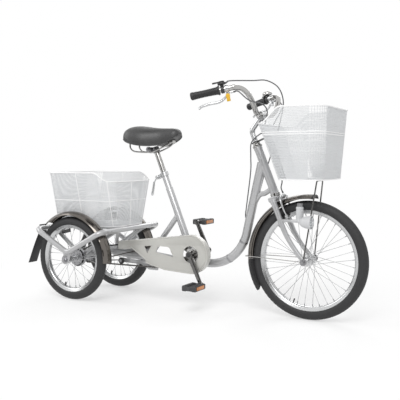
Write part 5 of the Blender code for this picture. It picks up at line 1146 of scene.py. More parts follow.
@dataclass
class Basket:
    """A basket of fine coated wire between a floor loop and a rim loop.

    Attributes:
        node: The node that it stands for.
        body: The body that it rides on.
        floor: Rear edge, front edge, half width, corner and height of the floor loop.
        rim: Rear edge, front edge, half width and corner of the rim loop.
        rim_height: Height of the rim at an x.
        bands: Shares of the height that carry a thicker wire.
        long_runs: Wires between two corners along a side.
        cross_runs: Wires between two corners across an end.
        rows: Level wires, counted over the tallest wall.
        uprights: Whether thicker uprights show.
        wire: Radius of the fine wire.
        stout: Radius of the thicker rods.
    """

    node: str
    body: str
    floor: tuple[float, float, float, float, float]
    rim: tuple[float, float, float, float]
    rim_height: Callable[[float], float]
    bands: tuple[float, ...]
    long_runs: int
    cross_runs: int
    rows: int
    uprights: bool = True
    wire: float = 0.00095
    stout: float = 0.0024

    def build(self) -> None:
        """Weave the fine wires and bend the stout ones."""
        x0, x1, half, corner, z0 = self.floor
        low = self._loop(x0, x1, half, corner, lambda x: z0)
        high = self._loop(*self.rim, self.rim_height)
        fine = Shape()
        for start, end in zip(low, high):
            fine.tube([start, end], self.wire, 5)
        tall = max(point.z for point in high) - z0
        for row in range(1, self.rows):
            fine.tube(self._level(low, high, tall * row / self.rows), self.wire, 5, closed=True)
        self._base(fine, z0)
        fine.piece(self.node + "_mesh", Look.WIRE, self.body, self.node)
        stout = Shape()
        stout.tube(low, self.stout, 10, closed=True)
        stout.tube(high, self.stout * 1.25, 12, closed=True)
        for share in self.bands:
            stout.tube(self._level(low, high, tall * share), self.stout * 0.75, 8, closed=True)
        for index in self._posts(len(low)) if self.uprights else []:
            stout.tube([low[index], high[index]], self.stout * 0.8, 8)
        for share in (0.25, 0.5, 0.75):
            x = x0 + (x1 - x0) * share
            stout.tube([Vector((x, -half, z0)), Vector((x, half, z0))], self.stout * 0.8, 8)
        stout.piece(self.node + "_rods", Look.ROD, self.body)

    def _loop(self, x0: float, x1: float, half: float, corner: float,
              height: Callable[[float], float]) -> list[Vector]:
        """Points round a rounded rectangle, as many on every loop of the basket."""
        spots = []
        for start, sx, sy in ((0, 1, 1), (90, -1, 1), (180, -1, -1), (270, 1, -1)):
            centre = ((x1 if sx > 0 else x0) - sx * corner, sy * (half - corner))
            spots.append(arc(centre, corner, start, start + 90, 8))
        points = []
        for index, spot in enumerate(spots):
            points += spot
            following = Vector(spots[(index + 1) % 4][0])
            runs = self.long_runs if index % 2 == 0 else self.cross_runs
            points += [tuple(Vector(spot[-1]).lerp(following, run / runs)) for run in range(1, runs)]
        return [Vector((x, y, height(x))) for x, y in points]

    def _posts(self, count: int) -> list[int]:
        """Places of the thicker uprights: at the corners and in the middle of each wall."""
        step_long = 8 + self.long_runs
        step_cross = 8 + self.cross_runs
        starts = [0, step_long, step_long + step_cross, 2 * step_long + step_cross]
        middles = [8 + self.long_runs // 2, step_long + 8 + self.cross_runs // 2]
        middles += [starts[2] + 8 + self.long_runs // 2, starts[3] + 8 + self.cross_runs // 2]
        return [(start + 4) % count for start in starts] + [spot % count for spot in middles]

    @staticmethod
    def _level(low: Sequence[Vector], high: Sequence[Vector], lift: float) -> list[Vector]:
        """A level loop on the walls at a height over the floor, kept under the rim where the rim is lower."""
        return [a.lerp(b, min(1.0, lift / (b.z - a.z))) for a, b in zip(low, high)]

    def _base(self, fine: Shape, z0: float) -> None:
        """Fine wires across the floor, both ways, each ending on the floor loop."""
        x0, x1, half, corner, _ = self.floor
        count = round((x1 - x0) / 0.014)
        for step in range(1, count):
            x = x0 + (x1 - x0) * step / count
            inset = corner - math.sqrt(max(0.0, corner ** 2 - max(0.0, corner - min(x - x0, x1 - x)) ** 2))
            fine.tube([Vector((x, inset - half, z0)), Vector((x, half - inset, z0))], self.wire, 5)
        count = round(2 * half / 0.014)
        for step in range(1, count):
            y = -half + 2 * half * step / count
            inset = corner - math.sqrt(max(0.0, corner ** 2 - max(0.0, corner - (half - abs(y))) ** 2))
            fine.tube([Vector((x0 + inset, y, z0)), Vector((x1 - inset, y, z0))], self.wire, 5)


def front_basket(layout: Layout) -> Basket:
    """The basket over the front wheel: its back wall leans along the head tube and its back rim is lower."""
    foot = layout.head_foot
    z0 = foot.z + layout.basket_lift
    back = foot.x + 0.060
    front = foot.x + 0.247
    low = 0.223
    rim_back = back - layout.basket_lean * low
    rim_front = front + 0.060 * 0.285

    def height(x: float) -> float:
        """Height of the rim, which dips at the back."""
        share = min(1.0, max(0.0, (x - rim_back - 0.023) / 0.085))
        return z0 + low + 0.062 * share * share * (3 - 2 * share)

    return Basket("front_basket", "steering", (back, front, 0.152, 0.052, z0),
                  (rim_back, rim_front, 0.182, 0.055),
                  height, bands=(0.625, 0.655), long_runs=42, cross_runs=62, rows=46, uprights=False)


def rear_basket() -> Basket:
    """The basket between the rear wheels, lower at its front wall."""
    z0 = 0.3490
    back = -0.150
    front = 0.205
    rim_front = 0.218

    def height(x: float) -> float:
        """Height of the rim, which dips at the front."""
        share = min(1.0, max(0.0, (rim_front - 0.003 - x) / 0.085))
        return z0 + 0.253 - 0.042 * (1 - share * share * (3 - 2 * share))

    return Basket("rear_basket", "rear_frame", (back, front, 0.128, 0.040, z0),
                  (-0.160, rim_front, 0.188, 0.060),
                  height, bands=(0.48,), long_runs=70, cross_runs=48, rows=38)


@dataclass
class Seat:
    """Seat post, clamp, rails and the padded saddle.

    Attributes:
        layout: Main axes.
        post_z: Top of the post.
        post_r: Radius of the post.
        length: Length of the saddle.
        width: Width of the saddle.
        sections: Share of the length from the back, share of the width, drop of the top, skirt over the floor.
    """

    layout: Layout
    post_z: float = 0.722
    post_r: float = 0.0127
    length: float = 0.276
    width: float = 0.205
    floor_z: float = 0.752
    top_z: float = 0.820
    bar_r: float = 0.009
    wire_r: float = 0.0035
    sections: tuple[tuple[float, float, float, float], ...] = (
        (0.00, 0.40, 0.034, 0.018), (0.025, 0.62, 0.020, 0.010), (0.06, 0.80, 0.010, 0.005),
        (0.16, 0.98, 0.001, -0.008), (0.30, 1.00, 0.000, -0.019), (0.44, 0.90, 0.005, -0.025),
        (0.57, 0.70, 0.009, -0.026), (0.69, 0.52, 0.011, -0.022), (0.81, 0.42, 0.012, -0.011),
        (0.92, 0.37, 0.014, 0.004), (0.975, 0.28, 0.020, 0.014), (1.00, 0.16, 0.031, 0.022),
    )

    def build(self) -> None:
        """Make the post, the clamp, the rails and the saddle."""
        self._post()
        self._rails()
        self._saddle()

    def x(self, share: float) -> float:
        """A place along the saddle, as a share of its length from the back."""
        return self.layout.seat(self.post_z).x - 0.140 + share * self.length

    @property
    def bar(self) -> Vector:
        """Middle of the clamp's cross bar, behind the post."""
        return self.layout.seat(self.post_z) - self.layout.seat_up * 0.012 - X * 0.0245

    def _post(self) -> None:
        """The plated post, and the clamp on its top."""
        up = self.layout.seat_up
        top = self.layout.seat(self.post_z)
        foot = self.layout.seat(0.458)
        Shape().rod(foot, top, self.post_r, sides=36).piece("seat_post_plated", Look.CHROME, "seat",
                                                            "seat_post")
        clamp = Shape().ring(self.post_r + GAP, self.post_r + 0.004, top - up * 0.026, top - up * 0.002)
        bar = self.bar
        clamp.rod(bar + SIDE * 0.030, bar - SIDE * 0.030, self.bar_r)
        for side in (1, -1):
            face = bar + SIDE * side * 0.030
            clamp.ring(0.003, 0.0125, face - SIDE * side * 0.010, face - SIDE * side * 0.001)
            clamp.lathe([(0.0085, 0.0), (0.0085, 0.005), (0.0078, 0.0058), (0.0, 0.0058)], face,
                        SIDE * side, 6)
            clamp.rod(face, face + SIDE * side * 0.009, 0.004, sides=14)
        clamp.box((0.030, 0.020, 0.022), (bar + top - up * 0.013) / 2, bevel=0.004)
        clamp.piece("saddle_clamp_pressed", Look.STEEL, "seat", "saddle_clamp")

    def _rails(self) -> None:
        """The bent wire rails with their sockets."""
        mid = self.bar
        floor = self.floor_z
        low = mid.z - self.bar_r - GAP - self.wire_r
        back = self.x(0.09)
        nose = self.x(0.859)
        half = [(nose, 0.008, floor - 0.010), (nose - 0.035, 0.024, floor - 0.030),
                (mid.x + 0.020, 0.024, low),
                (mid.x, 0.024, low), (mid.x - 0.020, 0.024, low), (back + 0.024, 0.036, low + 0.004),
                (back + 0.002, 0.038, low + 0.020), (back, 0.038, floor - 0.008),
                (back, 0.038, floor + 0.004)]
        rails = Shape().tube(smooth([*mirrored(half), *half], 6), self.wire_r, 14)
        for y in (0.038, -0.038):
            rails.rod((back, y, floor - 0.010), (back, y, floor + 0.004), 0.0075)
        rails.box((0.030, 0.034, 0.014), Vector((nose - 0.004, 0.0, floor - 0.006)), bevel=0.004)
        rails.piece("saddle_rails_plated", Look.CHROME, "seat", "saddle_rails")

    def _saddle(self) -> None:
        """The foam saddle in its vinyl cover, with a welted edge round the skirt."""
        rows = []
        welt = []
        stitch = []
        count = 56
        for step in range(count + 1):
            share = 0.5 - 0.5 * math.cos(math.pi * step / count)
            wide, drop, rise = self._at(share)
            ring = self._ring(self.x(share), wide * self.width / 2, self.top_z - drop, self.floor_z + rise)
            rows.append(ring[0] + mirrored(ring[0][1:-1]))
            welt.append(ring[1])
            stitch.append(ring[2])
        cover = Shape().grid(rows).piece("saddle_cover", Look.VINYL, "seat", "saddle", angle=70.0)
        edge = Shape()
        edge.tube(welt + mirrored(welt), 0.0021, 10, closed=True)
        edge.piece("saddle_welt", Look.VINYL, "seat")
        threads = Shape()
        for run in (stitch, mirrored(stitch)[::-1]):
            line = smooth(run, 4)
            for index in range(8, len(line) - 9, 4):
                threads.tube([line[index], line[index + 1], line[index + 2]], 0.00055, 6)
        threads.piece("saddle_stitches", Look.CABLE, "seat")

    def _at(self, share: float) -> tuple[float, float, float]:
        """Width, drop and skirt at a share of the length, smoothly between the sections."""
        table = self.sections
        index = max(i for i in range(len(table) - 1) if table[i][0] <= share)
        a, b = table[index], table[index + 1]
        before = table[index - 1] if index else (2 * a[0] - b[0], *[2 * u - v for u, v in zip(a[1:], b[1:])])
        after = table[index + 2] if index + 2 < len(table) else (2 * b[0] - a[0],
                                                                 *[2 * v - u for u, v in zip(a[1:], b[1:])])
        t = (share - a[0]) / (b[0] - a[0])
        values = []
        for p, u, v, q in zip(before[1:], a[1:], b[1:], after[1:]):
            reach = b[0] - a[0]
            m0 = (v - p) * reach / max(1e-6, b[0] - before[0])
            m1 = (q - u) * reach / max(1e-6, after[0] - a[0])
            values.append((2 * t ** 3 - 3 * t ** 2 + 1) * u + (t ** 3 - 2 * t ** 2 + t) * m0
                          + (3 * t ** 2 - 2 * t ** 3) * v + (t ** 3 - t ** 2) * m1)
        return values[0], values[1], values[2]

    def _ring(self, x: float, half: float, top: float, skirt: float) -> tuple[list[Vector], Vector, Vector]:
        """Half a ring across the saddle, with the place of the welt and of the stitches.

        Args:
            x: Place along the saddle.
            half: Half width.
            top: Height of the crown.
            skirt: Height of the skirt's edge.

        Returns:
            Points from the crown down the left side to the middle of the floor, the welt and the stitches.
        """
        fall = max(0.020, top - skirt)
        points = []
        count = 22
        for step in range(count + 1):
            angle = math.pi / 2 * step / count
            across = math.sin(angle) ** 0.80
            down = 1 - math.cos(angle) ** 0.72
            points.append(Vector((x, half * across, top - fall * 0.96 * down)))
        dip = 0.0016 * math.exp(-((x - self.x(0.62)) / 0.075) ** 2)
        for point in points:
            point.z -= dip * math.exp(-(point.y / 0.010) ** 2) * 2.0
        base = max(self.floor_z, skirt + 0.003)
        under = ((0.985, skirt), (0.94, skirt - 0.0006), (0.80, skirt + 0.003), (0.45, base), (0.0, base))
        lip = [Vector((x, half * share, z)) for share, z in under]
        return points + lip, Vector((x, half * 0.985, skirt + 0.0008)), points[-6]


def crossing(start: Vector, along: Vector, other: Vector, other_along: Vector) -> float:
    """How far along one line in the side view it meets another."""
    gap = other - start
    turn = along.x * other_along.z - along.z * other_along.x
    return (gap.x * other_along.z - gap.z * other_along.x) / turn


def bolt_head(shape: Shape, at: Vector, out: Vector, radius: float, height: float,
              washer: bool = True) -> Shape:
    """A six-sided bolt head with a chamfer, on a washer where asked."""
    base = 0.0012 if washer else 0.0
    if washer:
        shape.lathe([(0.0, 0.0), (radius * 1.45, 0.0), (radius * 1.5, base * 0.5), (radius * 1.45, base),
                     (0.0, base)],
                    at, out, 24)
    shape.lathe([(0.0, base), (radius, base), (radius, height * 0.8), (radius * 0.86, height), (0.0, height)],
                at, out, 6)
    return shape


@dataclass
class MainFrame:
    """The welded tubes of the front half, with its bearing sleeve and the seat clamp.

    Attributes:
        layout: Main axes.
        tube_r: Radius of the low main tube.
        bend_r: Radius of its bends.
        lean: Forward lean of its rising part, in degrees.
        clear: Room between the main tube and the front mudguard.
        head_r: Radius of the head tube.
        seat_r: Radius of the seat tube.
        swing_z: Height of the lean pivot.
        plate_y: Faces of the tension plate.
        clip_places: Where clips hold a cable, along the main tube from the middle of its bend.
    """

    layout: Layout
    tube_r: float = 0.019
    bend_r: float = 0.188
    lean: float = 12.8
    clear: float = 0.025
    head_r: float = 0.0175
    cup_r: float = 0.0205
    seat_r: float = 0.016
    seat_z: float = 0.535
    sleeve_r: float = 0.0145
    sleeve_z: float = 0.606
    stay_r: float = 0.0125
    stay_z: float = 0.410
    shell_r: float = 0.0258
    shell_half: float = 0.034
    swing_z: float = 0.215
    swing_r: float = 0.030
    swing_x: tuple[float, float] = (0.200, 0.345)
    plate_y: tuple[float, float] = (-0.0445, -0.0415)
    clip_places: tuple[float, ...] = (0.085, -0.020, -0.175)

    def build(self) -> None:
        """Make the frame, its fittings and the seat clamp."""
        self._tubes()
        self._fittings()
        self._clamp()
        self._lever()

    @property
    def corner(self) -> Vector:
        """Where the lines of the main tube's two straight parts would meet."""
        x = self.layout.wheelbase - self.layout.front_guard_r - self.clear - self.tube_r
        return Vector((x, 0.0, self.layout.main_z))

    @property
    def rising(self) -> Vector:
        """Direction of the main tube's rising part."""
        lean = math.radians(self.lean)
        return Vector((math.sin(lean), 0.0, math.cos(lean)))

    @property
    def stay_foot(self) -> Vector:
        """Where the stay behind the seat tube meets the pivot's housing."""
        return Vector((self.swing_x[1] - 0.012, 0.0, self.swing_z + 0.006))

    def at(self, z: float) -> Vector:
        """The point at a height on the main tube's rising part."""
        return self.corner + self.rising * ((z - self.layout.main_z) / self.rising.z)

    def along(self, length: float) -> Vector:
        """A point on the main tube's axis, measured from the middle of its bend: up is positive."""
        half = math.radians(90) / 2 - math.radians(self.lean) / 2
        reach = self.bend_r * math.tan(half)
        turn = self.bend_r * half
        if length >= turn:
            return self.corner + self.rising * (reach + length - turn)
        if length <= -turn:
            return self.corner - X * (reach - length - turn)
        centre = self.corner + Vector((-reach, 0.0, self.bend_r))
        return round_point(centre, self.bend_r, -math.pi / 2 + half + length / self.bend_r)

    def main_path(self) -> list[Vector]:
        """The low step-through tube, from the lean pivot forward and up to the head tube."""
        rear = Vector((self.swing_x[1] - 0.012, 0.0, self.swing_z - 0.003))
        level = Vector((self.layout.crank_x - 0.118, 0.0, self.layout.main_z))
        rise = crossing(self.corner, self.rising, self.layout.head_foot,
                        self.layout.head_up) - self.head_r * 0.7
        return bent([rear, level, self.corner, self.corner + self.rising * rise], self.bend_r, steps=22)

    def _tubes(self) -> None:
        """All the welded tubes, with a bead round each joint."""
        lay = self.layout
        path = self.main_path()
        frame = Shape().tube(path, self.tube_r, 36)
        frame.weld(path[-1] - self.rising * 0.07, self.rising, self.tube_r, lay.head_foot, lay.head_up,
                   self.head_r)
        low = self.at(lay.head_foot.z - 0.008)
        gusset = smooth([lay.head(0.028), lay.head(0.020, -0.040), low + X * 0.020,
                         self.at(low.z - 0.0546)], 8)
        frame.tube(gusset, 0.011, 22)
        collar = self.head_r + 0.0012
        frame.lathe([(0.0142, 0.004), (collar, 0.004), (collar, 0.012), (self.head_r, 0.0135),
                     (self.head_r, 0.2045), (collar, 0.206), (collar, 0.214), (0.0142, 0.214)],
                    lay.head_foot, lay.head_up, 40, loop=True)
        foot = lay.seat(lay.main_z)
        top = (lay.seat(self.seat_z) - foot).length
        end = (lay.seat(self.sleeve_z) - foot).length
        bore = 0.0132
        frame.lathe([(bore, 0.15), (0.004, 0.10), (0.004, 0.0), (self.seat_r, 0.0),
                     (self.seat_r, top - 0.004),
                     (self.sleeve_r + 0.0004, top), (self.sleeve_r, top + 0.001), (self.sleeve_r, end),
                     (bore, end)],
                    foot, lay.seat_up, 40, loop=True)
        frame.weld(lay.seat(lay.main_z + 0.07), -lay.seat_up, self.seat_r, Vector((0.0, 0.0, lay.main_z)), X,
                   self.tube_r)
        stay_top = lay.seat(self.stay_z)
        toward = (stay_top - self.stay_foot).normalized()
        frame.rod(self.stay_foot, stay_top, self.stay_r, sides=30)
        frame.weld(self.stay_foot.lerp(stay_top, 0.5), toward, self.stay_r, foot, lay.seat_up, self.seat_r)
        half = SIDE * self.shell_half
        frame.ring(0.0200, self.shell_r, lay.crank - half, lay.crank + half, 44, 0.0010)
        x0, x1 = self.swing_x
        r = self.swing_r
        frame.lathe([(0.0255, 0.0), (r - 0.001, 0.0), (r, 0.001), (r, 0.010), (r - 0.0012, 0.012),
                     (r - 0.0012, x1 - x0 - 0.012), (r, x1 - x0 - 0.010), (r - 0.0005, x1 - x0 - 0.002),
                     (r - 0.005, x1 - x0), (0.0, x1 - x0), (0.0, x1 - x0 - 0.03), (0.0255, x1 - x0 - 0.03)],
                    Vector((x0, 0.0, self.swing_z)), X, 44)
        frame.weld(path[1] + X * 0.06, -X, self.tube_r * 0.98, Vector((x1 - 0.0035, 0.0, 0.0)), UP, 0.0035)
        frame.piece("main_frame_tubes", Look.SILVER, "main_frame", "main_frame")

    def tabs(self) -> list[Vector]:
        """Where two tabs hold the chain case: on the seat tube and on the stay behind it."""
        case = Case(self.layout)
        front_x = self.layout.seat(self.layout.crank.z + case.radius - 0.0135).x
        along = self.layout.seat(self.stay_z) - self.stay_foot
        tail = Vector((case.tail_x, 0.0, case.top(case.tail_x)))
        edge = Vector((front_x, 0.0, case.top(front_x))) - tail
        rear_x = self.stay_foot.x + along.x * crossing(self.stay_foot, along, tail, edge)
        return [Vector((x, 0.0, case.top(x) - case.wall)) for x in (front_x, rear_x)]

    def _fittings(self) -> None:
        """Bearing cups, the chain case's tabs, the tension plate with its pin, and bolt heads."""
        lay = self.layout
        cups = Shape()
        cups.ring(0.0142, self.cup_r, lay.head(-0.010), lay.head(0.0042), 40, 0.0012)
        for side in (1, -1):
            cups.ring(0.0092, 0.0196, lay.crank + SIDE * side * 0.020, lay.crank + SIDE * side * 0.0335, 32)
            cups.ring(0.0092, 0.0150, lay.crank + SIDE * side * 0.0335, lay.crank + SIDE * side * 0.0352, 24)
        cups.ring(0.0088, 0.0190, lay.crank - SIDE * 0.019, lay.crank + SIDE * 0.019, 24)
        cups.piece("frame_bearing_cups", Look.CHROME, "main_frame", "bottom_bracket")
        plate = Shape()
        for tab in self.tabs():
            plate.rod(tab - SIDE * 0.004, tab + SIDE * (Case(lay).in_y + GAP), 0.0045, sides=14)
        x = self.swing_x[1]
        z = lay.main_z
        pulley = Drive(lay).pulley
        outline = [(pulley.x - 0.012, pulley.z - 0.009), (x - 0.045, z - 0.0265), (x, z - 0.0485),
                   *arc((x + 0.045, z - 0.0425), 0.006, -90, 0, 4), (x + 0.051, z + 0.0075), (x, z + 0.0075),
                   (x - 0.045, z - 0.0085), *arc((pulley.x, pulley.z), 0.013, 60, 170, 6)]
        holes = [arc((x + along, z - 0.0355), 0.0042, 0, 345, 23) for along in (0.012, 0.039)]
        plate.plate(outline, *self.plate_y, holes)
        plate.rod((x + 0.027, self.plate_y[0] + 0.001, z), (x + 0.027, -self.tube_r / 2, z + 0.003), 0.007)
        plate.rod((pulley.x, self.plate_y[1] - 0.0015, pulley.z), (pulley.x, pulley.y - 0.008, pulley.z),
                  0.004)
        plate.piece("tension_plate", Look.SILVER, "main_frame")
        bolts = Shape()
        bolt_head(bolts, Vector((x + 0.027, self.plate_y[0], z - 0.001)), -SIDE, 0.0055, 0.0055)
        bolt_head(bolts, Vector((pulley.x, pulley.y - 0.0062, pulley.z)), -SIDE, 0.0050, 0.0050)
        for length in self.clip_places:
            spot = self.along(length) - SIDE * (self.tube_r - 0.0006)
            bolts.lathe([(0.0, 0.0), (0.0034, 0.0), (0.0034, 0.0012), (0.0024, 0.0024), (0.0, 0.0026)],
                        spot, -SIDE, 16)
        bolts.piece("frame_bolts", Look.STEEL, "main_frame")

    def seat_back(self) -> Vector:
        """Direction straight back from the seat tube."""
        return Vector((-self.layout.seat_up.z, 0.0, self.layout.seat_up.x))

    def clamp_pivot(self) -> Vector:
        """Where the clamp bolt crosses the ears."""
        up = self.layout.seat_up
        return self.layout.seat(self.sleeve_z - 0.002) - up * 0.010 + self.seat_back() * (self.sleeve_r
                                                                                          + 0.020)

    def _clamp(self) -> None:
        """Collar round the top of the seat tube, with two ears at the back and the clamp bolt."""
        up = self.layout.seat_up
        top = self.layout.seat(self.sleeve_z - 0.002)
        back = self.seat_back()
        collar = Shape().ring(self.sleeve_r + GAP, self.sleeve_r + 0.004, top - up * 0.020, top, 36, 0.0010)
        centre = top - up * 0.010 + back * (self.sleeve_r + 0.015)
        for side in (1, -1):
            collar.box((0.026, 0.006, 0.018), centre + SIDE * side * 0.006, (back, SIDE, up), 0.002)
        pivot = self.clamp_pivot()
        collar.rod(pivot + SIDE * 0.012, pivot - SIDE * 0.024, 0.0035, sides=16)
        collar.lathe([(0.0, 0.0), (0.0070, 0.0), (0.0076, 0.002), (0.0070, 0.0065), (0.0, 0.0072)],
                     pivot + SIDE * 0.0092, SIDE, 18)
        collar.piece("seat_clamp_collar", Look.ALLOY, "main_frame", "seat_clamp")

    def _lever(self) -> None:
        """Quick-release lever hanging from the clamp bolt, curved and flat like a spoon."""
        pivot = self.clamp_pivot()
        lever = Shape().ring(0.0038, 0.0078, pivot - SIDE * 0.0105, pivot - SIDE * 0.0195, 28, 0.0010)
        offsets = [(-0.004, -0.015, -0.005), (-0.014, -0.0165, -0.022), (-0.018, -0.018, -0.052),
                   (-0.024, -0.020, -0.086)]
        path = smooth([pivot + Vector(offset) for offset in offsets], 8)
        widths = [0.85 + 0.5 * math.sin(math.pi * 0.5 * index / (len(path) - 1))
                  for index in range(len(path))]
        widths[-2:] = [1.15, 0.7]
        lever.tube(path, 0.0046, 16, taper=widths, flat=0.68)
        lever.piece("seat_clamp_spoon", Look.ALLOY, "clamp_lever", "seat_clamp_lever")


@dataclass
class RearFrame:
    """The welded rear half: loop tube, axle carriers, basket rails, guard plates and the lean shaft.

    Attributes:
        layout: Main axes.
        loop_r: Radius of the loop tube.
        loop_y: Half width of the loop.
        loop_x: Rear and front of the loop.
        dip: Where the loop comes down to the axle on each side, x and z.
    """

    layout: Layout
    loop_r: float = 0.0125
    loop_y: float = 0.242
    loop_x: tuple[float, float] = (-0.170, 0.211)
    loop_z: float = 0.334
    dip: tuple[float, float] = (0.021, 0.232)
    bend_r: float = 0.034
    inner_y: float = 0.118
    inner_r: float = 0.010
    rail_y: float = 0.080
    rail_r: float = 0.007
    strut_r: float = 0.008
    plate_y: float = 0.2285
    swing_z: float = 0.215
    block_x: tuple[float, float] = (0.115, 0.198)
    cover_r: float = 0.044

    def build(self) -> None:
        """Make the frame, the brake cover and the axle."""
        self._frame()
        self._cover()
        self._axle()

    def _frame(self) -> None:
        """All the welded pieces of the rear half."""
        frame = Shape()
        corners = []
        for side in (-1, 1):
            run = [Vector((x, side * self.loop_y, z)) for x, z in (
                (self.loop_x[1], self.loop_z), self.dip, (self.loop_x[0], self.loop_z))]
            corners += run if side < 0 else list(reversed(run))
        frame.tube(bent(corners, self.bend_r, closed=True, steps=10), self.loop_r, 26, closed=True)
        for side in (-1, 1):
            self._carrier(frame, side)
            self._struts(frame, side)
            self._plate(frame, side)
        z = self.swing_z
        frame.rod((self.block_x[0], 0.0, z), (self.block_x[1], 0.0, z), 0.024, sides=36, edge=0.002)
        frame.rod((self.block_x[1] - 0.008, 0.0, z), (0.305, 0.0, z), 0.0250, sides=28)
        frame.piece("rear_frame_tubes", Look.SILVER, "rear_frame", "rear_frame")
        bolts = Shape()
        bolt_head(bolts, Vector((self.block_x[0], 0.0, z)), -X, 0.0100, 0.0080)
        for side in (-1, 1):
            for y in (-0.014, 0.014):
                at = Vector((self.loop_x[1] + self.loop_r - 0.0006, side * self.layout.track / 2 + y,
                             self.loop_z))
                bolts.lathe([(0.0, 0.0), (0.0042, 0.0), (0.0042, 0.001), (0.0028, 0.0026), (0.0, 0.003)],
                            at, X, 16)
        bolts.piece("rear_frame_bolts", Look.STEEL, "rear_frame")

    def _carrier(self, frame: Shape, side: int) -> None:
        """Bent tube that hangs an axle bearing under the loop, the bearing, and a rail for the basket.

        Args:
            frame: The shape to add to.
            side: 1 left or -1 right.
        """
        line = SIDE * side * self.inner_y
        top = self.loop_z - 0.002
        axle = self.layout.rear_axle
        run = bent([Vector((self.loop_x[1], 0.0, top)) + line, axle + UP * 0.004 + line,
                    Vector((self.loop_x[0], 0.0, top)) + line], 0.040, steps=12)
        frame.tube(run, self.inner_r, 20)
        for x, end in ((self.loop_x[1], run[1]), (self.loop_x[0], run[-2])):
            spot = Vector((x, side * self.inner_y, self.loop_z))
            frame.weld(end, (Vector((x, 0.0, top)) + line - end).normalized(), self.inner_r, spot, SIDE,
                       self.loop_r)
        half = SIDE * 0.011
        frame.ring(0.0085, 0.021, axle + line - half, axle + line + half, 32, 0.0012)
        rail_z = self.loop_z + self.loop_r - self.rail_r
        frame.rod((self.loop_x[0], side * self.rail_y, rail_z),
                  (self.loop_x[1], side * self.rail_y, rail_z), self.rail_r)

    def _struts(self, frame: Shape, side: int) -> None:
        """Two tubes from the lean pivot's block: up to the loop and back to the axle carrier."""
        z = self.swing_z
        top = Vector((self.loop_x[1] - 0.004, side * 0.100, self.loop_z - 0.006))
        foot = Vector((self.block_x[0] + 0.015, side * 0.010, z + 0.014))
        frame.rod(top, foot, self.strut_r, sides=20)
        toward = (foot - top).normalized()
        frame.weld(top.lerp(foot, 0.5), toward, self.strut_r, Vector((0.0, 0.0, z)), X, 0.024)
        frame.weld(top.lerp(foot, 0.5), -toward, self.strut_r, Vector((self.loop_x[1], 0.0, self.loop_z)),
                   SIDE,
                   self.loop_r)
        frame.rod((self.block_x[0] + 0.010, side * 0.006, z - 0.002),
                  (0.006, side * (self.inner_y - 0.004), self.layout.rear_axle.z + 0.004), self.strut_r,
                  sides=20)

    def _plate(self, frame: Shape, side: int) -> None:
        """Plate under the loop's dip that takes the end of the axle, and a post from the loop to the mudguard.

        Args:
            frame: The shape to add to.
            side: 1 left or -1 right.
        """
        foot = self.layout.rear_axle.z
        top = self.dip[1] + 0.012
        outline = [*arc((0.0, foot), 0.0235, -160, -20, 14), (self.dip[0] + 0.019, top),
                   (self.dip[0] - 0.019, top)]
        near, far = sorted((side * self.plate_y, side * (self.plate_y + 0.005)))
        frame.plate(outline, near, far, [arc((0.0, foot), 0.0082, 0, 345, 23)], 0.0008)
        post = Vector((self.loop_x[1], side * self.layout.track / 2, self.loop_z))
        axle = self.layout.rear_axle + SIDE * side * self.layout.track / 2
        end = axle + (post - axle).normalized() * (self.layout.rear_guard_r + 0.0009)
        frame.rod(post, end, 0.005, sides=16)

    def _cover(self) -> None:
        """Fixed cup over the band brake on the right wheel's inner side."""
        seat = self.inner_y + 0.0113
        back = seat - 0.1475
        r = self.cover_r
        cover = Shape().lathe([(0.0115, 0.0), (0.020, 0.0), (0.021, -0.0012), (0.030, -0.0012),
                               (r - 0.003, 0.0004),
                               (r, 0.003), (r, -back), (r - 0.0015, -back), (r - 0.0015, 0.004),
                               (r - 0.004, 0.002),
                               (0.0115, 0.002)], self.layout.rear_axle - SIDE * seat, -SIDE, 48, loop=True)
        cover.piece("brake_cover_pressed", Look.STEEL, "rear_frame", "brake_cover")

    def _axle(self) -> None:
        """The rear axle, right across, with a nut and a rounded end outside each guard plate."""
        axle = self.layout.rear_axle
        half = SIDE * (self.plate_y + 0.018)
        made = Shape().rod(axle - half, axle + half, 0.0075, sides=24)
        for side in (1, -1):
            near = axle + SIDE * side * (self.plate_y + 0.0053)
            bolt_head(made, near, SIDE * side, 0.0125, 0.0085)
        made.piece("rear_axle_turned", Look.STEEL, "right_wheel", "rear_axle")


